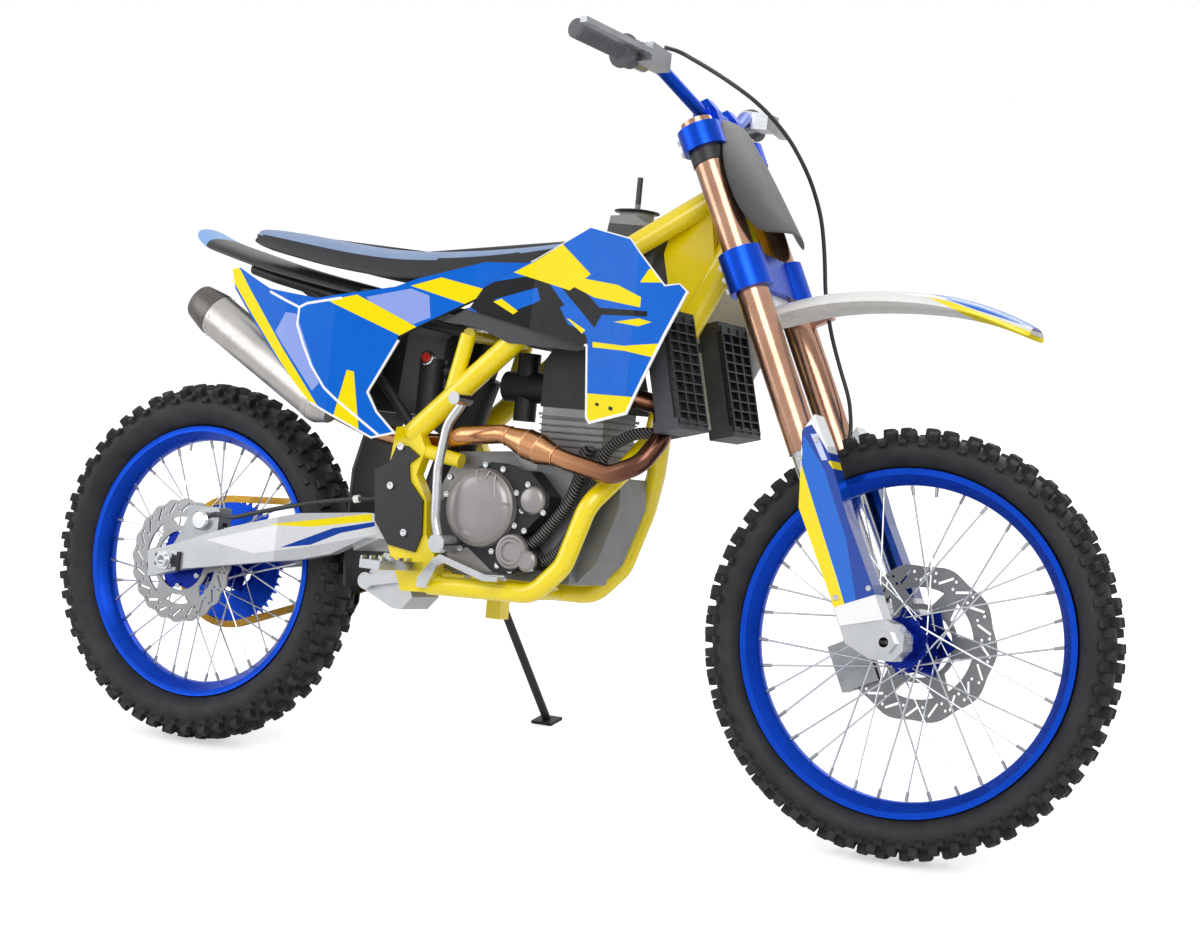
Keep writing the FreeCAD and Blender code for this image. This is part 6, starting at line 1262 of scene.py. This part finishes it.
@dataclass
class EngineTrim:
    """Turned lids, ribs, cooling fins, pipe welds and screws of the engine."""

    face: float = -117.0
    clutch_lid: Flat = (675.0, 498.0)
    clutch_section: tuple[Flat, ...] = (
        (0.0, 24.2), (36.0, 23.8), (50.0, 22.6), (59.0, 19.0), (64.5, 12.0), (67.5, 6.0), (67.8, -0.5),
        (0.0, -0.5))
    oil_lid: Flat = (775.0, 519.0)
    oil_section: tuple[Flat, ...] = ((0.0, 10.5), (18.0, 10.0), (22.5, 7.0), (25.0, 3.0), (25.0, -0.5),
                                     (0.0, -0.5))
    pump: Flat = (744.0, 428.0)
    pump_section: tuple[Flat, ...] = (
        (0.0, 9.0), (15.0, 9.0), (17.0, 12.5), (22.0, 12.5), (25.0, 9.0), (29.0, 8.5), (31.5, 4.0),
        (31.5, -0.5),
        (0.0, -0.5))
    outlet: Flat = (775.0, 415.0)
    outlet_section: tuple[Flat, ...] = ((0.0, 9.5), (14.0, 9.5), (18.0, 6.0), (18.5, -0.5), (0.0, -0.5))
    rib_lines: tuple[tuple[Flat, ...], ...] = (
        ((668, 561), (672, 549), (679, 541)), ((693, 562), (688, 549), (681, 541)),
        ((706, 554), (708, 536), (711, 520), (721, 511), (738, 508)))
    rib_rise: float = 22.0
    rib_fall: float = 6.0
    lid_radius: float = 67.0
    rib_radius: float = 2.4
    fin_low: Point = (739.0, -62.5, -1.4)
    fin_high: Point = (867.0, 62.5, 1.4)
    fin_foot: float = 583.0
    fin_pitch: float = 11.5
    fin_count: int = 8
    chamber: tuple[Point, Point] = ((840.85, -130.0, 591.4), (710.2, -127.4, 627.6))
    beads: tuple[Flat, ...] = ((0.18, 17.6), (0.42, 25.6), (0.62, 25.6), (0.92, 17.2))
    bead_radius: float = 1.2
    bolts: tuple[Flat, ...] = (
        (676, 572), (712, 567), (743, 529), (757, 500), (764, 545), (745, 473), (704, 425), (640, 424),
        (606, 545),
        (602, 515), (765, 466), (718, 402), (744, 396), (785, 404), (799, 500))
    flywheel: Point = (722.0, 60.0, 470.0)
    flywheel_circle: float = 71.0

    def lids(self) -> None:
        """Domed clutch lid, oil filter lid and pump housing."""
        made = [Bench.lathe(section, (x, self.face, z), RIGHT, steps) for (x, z), section, steps in (
            (self.clutch_lid, self.clutch_section, 72), (self.oil_lid, self.oil_section, 48),
            (self.pump, self.pump_section, 48), (self.outlet, self.outlet_section, 32))]
        CHASSIS.take(Bench.dress(Bench.join(made), "cover_grey"), "engine_cover_lids", "grey_cast", 35.0)

    def dome(self, x: float, z: float) -> float:
        """How far out the clutch lid's surface lies at a point of the side view."""
        share = math.dist((x, z), self.clutch_lid) / self.lid_radius
        return self.face - self.rib_rise + self.rib_fall * share ** 6

    def ribs(self) -> None:
        """Two cast ribs and an arc on the clutch lid, which follow its dome."""
        tubes = [Bench.tube([(x, self.dome(x, z), z) for x, z in line], self.rib_radius, 8)
                 for line in self.rib_lines]
        CHASSIS.take(Bench.dress(Bench.join(tubes), "cover_grey"), "clutch_lid_ribs", "grey_cast", 50.0)

    def fins(self) -> None:
        """Thin cooling fins round the cylinder."""
        fin = Bench.box(self.fin_low, self.fin_high, 1.0, 1)
        places = [Matrix.Translation((0, 0, self.fin_foot + self.fin_pitch * k))
                  for k in range(self.fin_count)]
        CHASSIS.take(Bench.dress(Bench.copies(fin, places), "casting"), "cylinder_fins", "grey_cast")

    def welds(self) -> None:
        """Bright weld beads round the chamber of the header."""
        a, b = (Vector(end) for end in self.chamber)
        rings = [Bench.ring(a.lerp(b, share), b - a, radius, self.bead_radius, 32, 6)
                 for share, radius in self.beads]
        CHASSIS.take(Bench.dress(Bench.join(rings), "weld"), "header_weld_beads", "heat_tinted_steel", 60.0)

    def build(self) -> None:
        """Makes the trim of the engine."""
        self.lids()
        self.ribs()
        self.fins()
        self.welds()
        Screw(5.2, 5.5).row("cover_bolts", CHASSIS, [(x, self.face + 0.3, z) for x, z in self.bolts], RIGHT)
        Screw(4.8, 5.0).circle("flywheel_bolts", CHASSIS, 8, self.flywheel, self.flywheel_circle, 0.4, LEFT)


@dataclass
class Silencer:
    """Oval brushed can with a tapered dark cap and rivets."""

    front: Point = (345.0, -118.0, 642.0)
    rear: Point = (22.0, -122.0, 826.0)
    half_height: float = 42.0
    half_width: float = 37.0
    cap_share: float = 0.86
    band_at: float = 36.0
    rivets: int = 10
    rivet_radius: float = 2.4
    rivet_at: Flat = (-6.0, 42.0)

    def oval(self) -> Matrix:
        """Placement that takes Z along the can and squashes it across."""
        along = (Vector(self.rear) - Vector(self.front)).normalized()
        across = Vector(LEFT)
        across = (across - along * across.dot(along)).normalized()
        turn = axes(across, along.cross(across), along)
        squash = Matrix.Diagonal((self.half_width, self.half_height, 1.0, 1.0))
        return Matrix.Translation(self.front) @ turn @ squash

    def shell(self, profile: Sequence[Flat], finish: str) -> Piece:
        """A length of the can as a turned shape of unit radius, squashed to the oval."""
        piece = Bench.lathe(profile, (0.0, 0.0, 0.0), UP, 72)
        piece.data.transform(self.oval())
        Bench.outward(piece)
        return Bench.dress(piece, finish)

    def build(self) -> None:
        """Can, band, cap, outlet and rivets."""
        length = math.dist(self.rear, self.front)
        cap, band = length * self.cap_share, self.band_at
        pieces = [
            self.shell([(0.0, 0.0), (0.60, 0.0), (0.66, 5.0), (0.93, 22.0), (0.985, 30.0), (0.985, 34.0),
                        (0.97, band),
                        (0.97, cap), (0.0, cap)], "silencer"),
            self.shell([(0.97, band), (0.995, band + 0.5), (0.995, band + 12.0), (0.97, band + 12.5)],
                       "silencer"),
            self.shell([(0.0, cap), (0.99, cap), (0.995, cap + 3.0), (0.96, cap + 14.0), (0.80, length - 4.0),
                        (0.74, length), (0.42, length), (0.40, length - 14.0), (0.0, length - 14.0)],
                        "can_cap"),
            self.shell([(0.38, length - 13.0), (0.40, length - 1.0), (0.36, length - 1.0),
                        (0.34, length - 13.0)],
                       "engine_black")]
        place = self.oval()
        heads = []
        for k in range(self.rivets):
            angle = TURN * k / self.rivets
            for along in (cap + self.rivet_at[0], self.rivet_at[1]):
                spot = place @ Vector((0.985 * math.cos(angle), 0.985 * math.sin(angle), along))
                out = (spot - place @ Vector((0.0, 0.0, along))).normalized()
                heads.append(Bench.cylinder(spot - out * 2.0, spot + out * 1.4, self.rivet_radius, 10))
        pieces.append(Bench.dress(Bench.join(heads), "bright"))
        CHASSIS.take(Bench.join(pieces), "silencer_oval_can", "bare_aluminium", 35.0, "silencer")


@dataclass
class Cockpit:
    """Grips and controls, number board, fork tube bands and tank cap."""

    bar_ahead: float = 6.0
    bar_height: float = 944.0
    half_length: float = 400.0
    sweep: float = 88.0
    rise: float = 62.0
    bend: Point = (0.47, 0.34, 0.76)
    grip_length: float = 125.0
    grip_core: float = 15.0
    grip_radius: float = 16.4
    grip_ribs: int = 15
    rib_pitch: float = 6.6
    housings: tuple[tuple[int, float, float], ...] = ((-1, 20.0, 24.0), (1, 12.0, 19.5))
    board_low: float = 700.0
    board_high: float = 925.0
    board_half: float = 128.0
    board_ahead: float = 78.0
    board_widths: tuple[float, ...] = (0.82, 1.0, 1.02, 1.0, 0.90, 0.70, 0.50)
    board_leans: tuple[float, ...] = (1.0, 0.93, 0.87, 0.80, 0.72, 0.62, 0.52)
    board_columns: int = 9
    band_low: float = 846.0
    band_high: float = 871.0
    cap_foot: Point = (859.0, 0.0, 1000.0)

    def bar(self, side: int, back: float) -> Vector:
        """A point on the bar, this far in from its end, as an upright bike point."""
        middle = STANCE.leg(self.bar_ahead, self.bar_height, 0.0)
        along, swept, raised = self.bend
        a = middle + Vector((-self.sweep * swept, side * self.half_length * along, self.rise * raised))
        b = middle + Vector((-self.sweep, side * self.half_length, self.rise))
        return b + (a - b).normalized() * back

    def grips(self) -> None:
        """Ribbed rubber grips with flanges."""
        profile = [(0.0, -0.9), (10.0, -0.9), (14.0, -0.3), (16.2, 2.0), (self.grip_radius, 6.0)]
        for k in range(self.grip_ribs):
            start = 9.0 + self.rib_pitch * k
            profile += [(self.grip_core, start), (self.grip_core, start + 2.2),
                        (self.grip_radius, start + 3.2), (self.grip_radius, start + 5.6)]
        profile += [(self.grip_radius, 110.0), (19.0, 113.0), (27.0, 117.0), (28.5, 119.5), (28.5, 122.5),
                    (26.0, 124.5), (0.0, 124.5)]
        made = [Bench.lathe(profile, self.bar(side, 0.0),
                            self.bar(side, self.grip_length) - self.bar(side, 0.0), 36)
                for side in SIDES]
        STEERING.take(Bench.dress(Bench.join(made), "grip"), "grips_ribbed", "black_rubber", 35.0, "grips")

    def controls(self) -> None:
        """Throttle housing on the right, switch on the left and the master cylinder block."""
        made = []
        for side, length, radius in self.housings:
            start = self.bar(side, self.grip_length + 1.0)
            made.append(Bench.lathe([(0.0, 0.0), (radius - 3.0, 0.0), (radius, 3.0), (radius, length - 3.0),
                                     (radius - 3.0, length), (0.0, length)],
                                    start, self.bar(side, self.grip_length + 1.0 + length) - start, 36))
        STEERING.take(Bench.dress(Bench.join(made), "grip"), "throttle_housing", "black_plastic", 35.0)
        block = Bench.join([Bench.box((-14.0, -22.0, -2.0), (30.0, 22.0, 22.0), 3.0, 3),
                            Bench.box((-12.0, -20.0, 22.0), (26.0, 20.0, 27.0), 3.0, 3)])
        run = (self.bar(-1, 0.0) - self.bar(-1, 100.0)).normalized()
        ahead = -STANCE.up_axis.cross(run).normalized()
        turn = axes(ahead, run, -run.cross(ahead))
        block.data.transform(Matrix.Translation(self.bar(-1, self.grip_length + 30.0)) @ turn)
        Bench.outward(block)
        STEERING.take(Bench.dress(block, "steel"), "front_master_cylinder", "bare_aluminium", 35.0)

    def board(self) -> None:
        """Dark number board, wrapped round the clamps and flared at its foot."""
        rows = []
        for k, (wide, lean) in enumerate(zip(self.board_widths, self.board_leans)):
            high = self.board_low + (self.board_high - self.board_low) * k / (len(self.board_widths) - 1)
            row = []
            for c in range(self.board_columns):
                share = 2.0 * c / (self.board_columns - 1) - 1.0
                fold = 1.0 - 0.52 * abs(share * wide) ** 1.8
                row.append((self.board_ahead * lean * fold - 2.5, share * wide * self.board_half, high))
            rows.append(row)
        sheet = Bench.sheet(rows)
        Bench.apply(sheet, "SOLIDIFY", thickness=3.0, offset=0.0)
        Bench.apply(sheet, "SUBSURF", levels=2, render_levels=2)
        strut = Bench.box((10.0, -10.0, 885.0), (self.board_ahead * 0.55, 10.0, 897.0))
        board = Bench.join([sheet, strut])
        Bench.outward(board)
        Bench.dress(board, "grey_plastic")
        STEERING.take(board, "number_board_curved", "black_plastic", 40.0, "number_plate",
                      STANCE.leg_matrix())

    def tube_bands(self) -> None:
        """Black protector bands on the fork tubes, close under the upper clamp."""
        made = []
        for side in SIDES:
            low, high = (STANCE.leg(0.0, z, side * STANCE.leg_half_spacing)
                         for z in (self.band_low, self.band_high))
            made.append(Bench.lathe([(0.0, 0.0), (28.0, 0.0), (28.8, 1.0), (28.8, 24.0), (28.0, 25.0),
                                     (0.0, 25.0)],
                                    low, high - low))
        STEERING.take(Bench.dress(Bench.join(made), "black_plastic"), "fork_tube_bands", "black_plastic",
                      35.0)

    def tank_cap(self) -> None:
        """Silver collar, grey cone and black flange of the filler."""
        sections = {
            "bright": [(0.0, -4.0), (24.0, -4.0), (24.0, 0.0), (31.0, 1.0), (31.0, 4.0), (23.0, 5.5),
                       (23.0, 9.0),
                       (0.0, 9.0)],
            "cap_grey": [(0.0, 8.0), (36.0, 8.0), (38.0, 10.0), (30.0, 16.0), (29.0, 27.0), (32.0, 30.0),
                         (0.0, 30.0)],
            "black_plastic": [(0.0, 29.5), (38.0, 29.5), (40.0, 31.0), (39.0, 33.0), (20.0, 36.0),
                              (0.0, 37.0)]}
        made = [Bench.dress(Bench.lathe(section, self.cap_foot, UP), finish) for finish,
                section in sections.items()]
        CHASSIS.take(Bench.join(made), "tank_cap_ringed", "black_plastic", 30.0)

    def build(self) -> None:
        """Makes the cockpit's pieces."""
        self.grips()
        self.controls()
        self.board()
        self.tube_bands()
        self.tank_cap()


@dataclass
class CoolerLouvres:
    """Slatted black guards in front of both radiators."""

    foot: Point = (1038.0, 0.0, 655.0)
    top: Point = (988.0, 0.0, 850.0)
    inner: float = 52.0
    outer: float = 157.0
    depth: float = 17.0
    slats: int = 11
    slat_deg: float = 28.0
    post_shares: tuple[float, ...] = (0.0, 0.33, 0.67, 1.0)

    def build(self) -> None:
        """One slat and one bar, repeated over both cores."""
        run = Vector(self.top) - Vector(self.foot)
        up = run.normalized()
        ahead = Vector((up.z, 0.0, -up.x))
        turn = axes(ahead, Vector(LEFT), up)
        start = Vector(self.foot) + ahead * (self.depth + 0.5)
        width = self.outer - self.inner
        middle = (self.inner + self.outer) / 2
        slat = Bench.box((0.0, -width / 2, -1.2), (9.0, width / 2, 1.2))
        slat.data.transform(Matrix.Rotation(math.radians(self.slat_deg), 4, "Y"))
        rises = [run * (0.08 + 0.84 * k / (self.slats - 1)) for k in range(self.slats)]
        slats = Bench.copies(slat, [Matrix.Translation(start + rise + Vector((0, side * middle, 0))) @ turn
                                    for side in SIDES for rise in rises])
        post = Bench.box((0.0, -2.0, run.length * 0.04), (8.0, 2.0, run.length * 0.96))
        outs = [self.inner + 2.0 + (width - 4.0) * share for share in self.post_shares]
        posts = Bench.copies(post, [Matrix.Translation(start + Vector((0, side * out, 0))) @ turn
                                    for side in SIDES for out in outs])
        CHASSIS.take(Bench.dress(Bench.join([slats, posts]), "black_plastic"), "radiator_louvres",
                     "black_plastic")


@dataclass
class RearEnd:
    """Ribbed mud flap, brake line on the arm, axle blocks and round caliper."""

    flap: tuple[Flat, ...] = ((382, 651), (367, 597), (352, 542), (350.5, 460), (352, 377), (357, 330),
                              (362.4, 330),
                              (357, 381), (355.5, 460), (357, 538), (372, 595), (387, 651))
    flap_half: float = 54.0
    rib_half: float = 1.5
    rib_height: float = 3.0
    rib_places: tuple[float, ...] = (-45.0, -27.0, -9.0, 9.0, 27.0, 45.0)
    line: tuple[Point, ...] = (
        (72.0, -99.0, 430.0), (100.0, -110.0, 435.0), (136.0, -116.0, 432.0), (191.0, -117.0, 445.0),
        (253.0, -112.0, 461.0), (320.0, -106.0, 476.0), (399.0, -101.0, 489.0), (440.0, -98.0, 494.0))
    line_radius: float = 4.2
    clip: tuple[Point, Point] = ((397.0, -101.2, 488.6), (407.0, -100.6, 490.6))
    clip_radius: float = 7.0
    piston: Point = (57.0, -98.0, 420.0)
    arm_face: float = 122.0

    def mud_flap(self) -> None:
        """Thin rubber sheet with upright ribs."""
        back = self.flap[:len(self.flap) // 2]
        rib = Bench.plate(list(back) + [(x - self.rib_height, z) for x, z in reversed(back)],
                          -self.rib_half, self.rib_half)
        ribs = Bench.copies(rib, [Matrix.Translation((0, y, 0)) for y in self.rib_places])
        flap = Bench.join([Bench.plate(self.flap, -self.flap_half, self.flap_half), ribs])
        Bench.dress(flap, "black_plastic")
        CHASSIS.take(flap, "mud_flap_ribbed", "black_rubber", stands_for="mud_flap")

    def axle_block(self, side: int, name: str) -> None:
        """The block on the end of one arm, in its dark slot, with the adjuster's plate."""
        pieces = []
        for back, front, half, out, bevel, finish in (
                (-24.0, 34.0, 11.0, 2.4, 1.0, "engine_black"), (-17.0, 17.0, 14.0, 5.0, 2.0, "arm_silver"),
                (30.0, 36.0, 18.0, 6.0, 0.0, "engine_black")):
            low, high = sorted((side * self.arm_face, side * (self.arm_face + out)))
            middle = STANCE.rear_axle_z
            pieces.append(Bench.dress(Bench.box((back, low, middle - half), (front, high, middle + half),
                                                bevel), finish))
        CHASSIS.take(Bench.join(pieces), "axle_block_" + name, "bare_aluminium")

    def build(self) -> None:
        """Makes the rear end's pieces."""
        self.mud_flap()
        line = Bench.dress(Bench.tube(self.line, self.line_radius, 12), "line")
        CHASSIS.take(line, "rear_brake_line", "black_rubber", 60.0)
        clip = Bench.dress(Bench.cylinder(*self.clip, self.clip_radius), "white_plastic")
        CHASSIS.take(clip, "brake_line_clip", "white_plastic")
        cap = Bench.lathe([(0.0, 9.0), (15.0, 9.0), (18.5, 5.5), (18.5, -14.0), (0.0, -14.0)], self.piston,
                          RIGHT)
        CHASSIS.take(Bench.dress(cap, "bright"), "rear_caliper_piston_cap", "steel", 35.0)
        self.axle_block(-1, "right")
        self.axle_block(1, "left")


@dataclass
class Fittings:
    """Screws of guards, clamps, discs and sprocket, and the damper's cap."""

    guard_face: float = 117.3
    guard_screws: tuple[Flat, ...] = ((497.0, 590.0), (483.0, 520.0), (520.0, 440.0))
    fork_guard_face: float = 129.0
    fork_guard_screws: tuple[Flat, ...] = ((-18.0, 92.0), (38.0, 88.0), (-2.0, 322.0), (34.0, 340.0))
    clamp_back: float = -36.0
    clamp_heights: tuple[float, ...] = (632.0, 652.0, 673.0, 880.0, 902.0)
    front_disc_y: float = 62.0
    rear_disc_y: float = -77.0
    sprocket_y: float = 78.0
    reservoir: Point = (498.0, -64.0, 752.0)
    reservoir_axis: Point = (0.0, -1.0, 0.25)

    def build(self) -> None:
        """Places every small fitting."""
        for side, axis, name in ((-1, RIGHT, "right"), (1, LEFT, "left")):
            Screw(6.5, 4.0, 14).row("guard_screws_" + name, CHASSIS,
                                    [(x, side * self.guard_face, z) for x, z in self.guard_screws], axis)
            Screw(4.5, 3.0, 14).row("fork_guard_screws_" + name, STEERING, [
                STANCE.leg(ahead, high, side * self.fork_guard_face) for ahead,
                high in self.fork_guard_screws], axis)
            Screw(5.0, 6.0).row("clamp_bolts_" + name, STEERING, [
                STANCE.leg(self.clamp_back, high, side * STANCE.leg_half_spacing)
                for high in self.clamp_heights],
                                -STANCE.ahead)
        rear, front = STANCE.rear_axle, STANCE.front_axle
        Screw(4.5, 3.0).circle("rear_disc_bolts", REAR_WHEEL, 6, (rear[0], self.rear_disc_y, rear[2]), 48.0,
                               0.5, RIGHT)
        Screw(4.5, 3.0).circle("front_disc_bolts", FRONT_WHEEL, 6, (front[0], self.front_disc_y, front[2]),
                               60.0, 0.5,
                               LEFT)
        Screw(5.0, 4.0, 6).circle("sprocket_bolts", REAR_WHEEL, 6, (rear[0], self.sprocket_y, rear[2]), 60.0,
                                  0.0, LEFT)
        cap = Bench.dress(Bench.lathe([(0.0, 7.0), (7.5, 7.0), (8.5, 5.5), (8.5, 3.0), (0.0, 3.0)],
                                      self.reservoir, self.reservoir_axis, 32), "red_cap")
        collar = Bench.dress(Bench.lathe([(0.0, 4.0), (12.0, 4.0), (14.0, 2.0), (14.0, -6.0), (0.0, -6.0)],
                                         self.reservoir, self.reservoir_axis, 32), "bright")
        CHASSIS.take(Bench.join([cap, collar]), "reservoir_cap", "steel", 35.0)


@dataclass
class CadDress:
    """Gives the CAD nodes that stay their finishes."""

    finishes: dict[str, str] = field(default_factory=lambda: {
        "frame_yellow": "frame",
        "engine_black": "subframe shock cylinder_head carburettor side_stand",
        "arm_silver": "shock_linkage swingarm_bridge",
        "casting": "engine_case cylinder",
        "cover_grey": "flywheel_cover",
        "cooler": "radiators",
        "hose": "coolant_hoses",
        "header": "exhaust_header",
        "silencer": "silencer",
        "black_plastic": "airbox mud_flap chain_guide frame_guards",
        "grey_plastic": "knee_panels number_plate",
        "white_plastic": "rear_fender",
        "gold": "chain",
        "steel": "front_sprocket rear_caliper hand_levers front_caliper",
        "bright": "footpegs foot_levers kick_starter rear_axle fork_sliders front_axle",
        "blue_metal": "triple_clamps handlebar rear_sprocket",
        "bronze": "fork_outers",
        "grip": "grips",
        "line": "brake_hose",
        "blue_hub": "front_hub rear_hub",
        "front_disc": "front_disc",
        "rear_disc": "rear_disc",
    })
    liveries: dict[str, Livery] = field(default_factory=lambda: {
        "side_panels": SIDE_LIVERY, "shrouds": SHROUD_LIVERY, "swingarm": ARM_LIVERY,
        "clutch_cover": COVER_FINISH,
        "fuel_tank": TANK_FINISH})

    def build(self) -> None:
        """Assigns every finish and the sticker sets."""
        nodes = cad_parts
        for finish, names in self.finishes.items():
            for name in names.split():
                Bench.dress(nodes[name], finish)
        for name, livery in self.liveries.items():
            Bench.dress(nodes[name], livery.build())
        Bench.dress(nodes["fork_guards"], GUARD_LIVERY.build(STANCE.leg_matrix()))
        log.info("dressed %d CAD nodes", len(nodes))


# Studio


@dataclass
class Studio:
    """Pale floor, soft lamps and the camera at the photograph's angle."""

    azimuth_deg: float = 29.4437
    elevation_deg: float = 11.469
    distance: float = 3.8527
    roll_deg: float = -1.2102
    lens: float = 69.3615
    target: Point = (0.9115 - 0.719143, -0.288799, 0.5995 + 0.0030)
    floor_size: float = 40.0
    shade: float = 0.5

    def camera(self) -> None:
        """Sets the camera where the photograph was taken from."""
        azimuth, elevation = math.radians(self.azimuth_deg), math.radians(self.elevation_deg)
        flat = math.cos(elevation)
        back = Vector((math.sin(azimuth) * flat, -math.cos(azimuth) * flat, math.sin(elevation)))
        right = (-back).cross(Vector(UP)).normalized()
        up = right.cross(-back)
        roll = math.radians(self.roll_deg)
        cosine, sine = math.cos(roll), math.sin(roll)
        right, up = cosine * right + sine * up, cosine * up - sine * right
        data = bpy.data.cameras.new("camera")
        data.lens = self.lens
        data.sensor_width = 36.0
        data.sensor_fit = "HORIZONTAL"
        data.clip_end = 100.0
        camera = bpy.data.objects.new("camera", data)
        spot = Vector(self.target) + back * self.distance
        camera.matrix_world = Matrix.Translation(spot) @ axes(right, up, back)
        bpy.context.scene.collection.objects.link(camera)
        bpy.context.scene.camera = camera

    def lamp(self, name: str, spot: Point, aim: Point, size: float, power: float) -> None:
        """One soft square lamp."""
        data = bpy.data.lights.new(name, "AREA")
        data.shape = "SQUARE"
        data.size = size
        data.energy = power
        lamp = bpy.data.objects.new(name, data)
        toward = Vector(aim) - Vector(spot)
        lamp.matrix_world = Matrix.Translation(spot) @ toward.to_track_quat("-Z", "Y").to_matrix().to_4x4()
        bpy.context.scene.collection.objects.link(lamp)

    def world(self) -> None:
        """Even grey light, seen as white by the camera and in reflections."""
        world = bpy.data.worlds.new("studio")
        bpy.context.scene.world = world
        world.use_nodes = True
        graph = Graph(world.node_tree)
        ray = graph.add("LightPath").outputs
        seen = graph.calc("MAXIMUM", ray["Is Camera Ray"], ray["Is Transmission Ray"])
        level = graph.ramp(seen, 0.0, 1.0, 0.55, 1.0)
        gloss = graph.ramp(ray["Is Glossy Ray"], 0.0, 1.0, 0.0, 0.35)
        back = graph.tree.nodes["Background"]
        back.inputs["Color"].default_value = (1.0, 1.0, 1.0, 1.0)
        graph.tree.links.new(graph.calc("ADD", level, gloss), back.inputs["Strength"])

    def floor(self) -> None:
        """A wide pale floor that shows white to the camera but keeps the bike's shadow."""
        bpy.ops.mesh.primitive_plane_add(size=self.floor_size, location=(0, 0, 0))
        floor = bpy.context.active_object
        floor.name = "floor"
        floor.data.name = "floor"
        material = bpy.data.materials.new("pale_studio_floor")
        material.use_nodes = True
        graph = Graph(material.node_tree)
        shader = graph.tree.nodes["Principled BSDF"]
        shader.inputs["Base Color"].default_value = linear("F2F2F2")
        shader.inputs["Roughness"].default_value = 0.7
        ray = graph.add("LightPath").outputs["Is Camera Ray"]
        dark, glow = (graph.add("Emission", None,
                                {"Color": (1.0, 1.0, 1.0, 1.0), "Strength": strength}).outputs[0]
                      for strength in (0.0, self.shade))
        seen = graph.add("MixShader", None, {0: ray, 1: dark, 2: glow}).outputs[0]
        both = graph.add("AddShader", None, {0: shader.outputs[0], 1: seen}).outputs[0]
        graph.tree.links.new(both, graph.tree.nodes["Material Output"].inputs["Surface"])
        Bench.dress(floor, material)

    def build(self) -> None:
        """Sets up the whole studio."""
        bpy.context.scene.view_settings.view_transform = "Standard"
        self.camera()
        self.world()
        self.floor()
        self.lamp("key_lamp", (2.2, -3.2, 3.4), (0.0, 0.0, 0.5), 2.6, 85.0)
        self.lamp("fill_lamp", (-3.2, -2.4, 2.2), (0.0, 0.0, 0.5), 2.4, 40.0)
        self.lamp("rim_lamp", (0.6, 3.2, 3.2), (0.0, 0.0, 0.6), 2.6, 50.0)


def main() -> None:
    """Builds everything in order."""
    logging.basicConfig(level=logging.INFO, format="%(name)s %(message)s")
    Studio().build()
    CadDress().build()
    front, rear = STANCE.front_axle, STANCE.rear_axle
    Wheel("front", FRONT_WHEEL, front, tyre_radius=350.0, tyre_width=88.0, rim_radius=280.0, rim_width=52.0,
          pitches=60,
          flange_radius=44.0, flange_y=32.0).build()
    Wheel("rear", REAR_WHEEL, rear, tyre_radius=340.0, tyre_width=112.0, rim_radius=255.0, rim_width=58.0,
          pitches=52,
          flange_radius=50.0, flange_y=33.0).build()
    BrakeDisc("front_disc", FRONT_WHEEL, (front[0], 60.0, front[2]), radius=131.0).build()
    BrakeDisc("rear_disc", REAR_WHEEL, (rear[0], -75.0, rear[2]), radius=117.0, waves=20).build()
    EngineTrim().build()
    Silencer().build()
    CoolerLouvres().build()
    Cockpit().build()
    RearEnd().build()
    Fittings().build()
    Saddle().build()
    Fender("rear_fender", CHASSIS, TAIL_FINISH, x=-63.0, length=420.0, half=96.0, z=865.4, rise=110.0,
           skirt=22.0,
           stations=((0.00, 1.00, 0.48), (0.10, 0.80, 0.74), (0.22, 0.70, 0.90), (0.48, 0.44, 0.98),
                     (0.77, 0.235, 1.00), (1.00, 0.09, 1.00))).build()
    Fender("front_fender", STEERING, FENDER_LIVERY, x=1125.0, length=465.0, half=80.0, z=858.0, rise=60.0,
           skirt=24.0,
           stations=((0.00, 0.20, 0.74), (0.16, 0.66, 0.78), (0.34, 0.92, 0.90), (0.60, 1.00, 1.00),
                     (0.82, 0.78, 0.90), (1.00, 0.22, 0.58)), boss=(-10.0, 10.0, 46.0, 586.0, 617.4)).build()


if __name__ == "__main__":
    main()
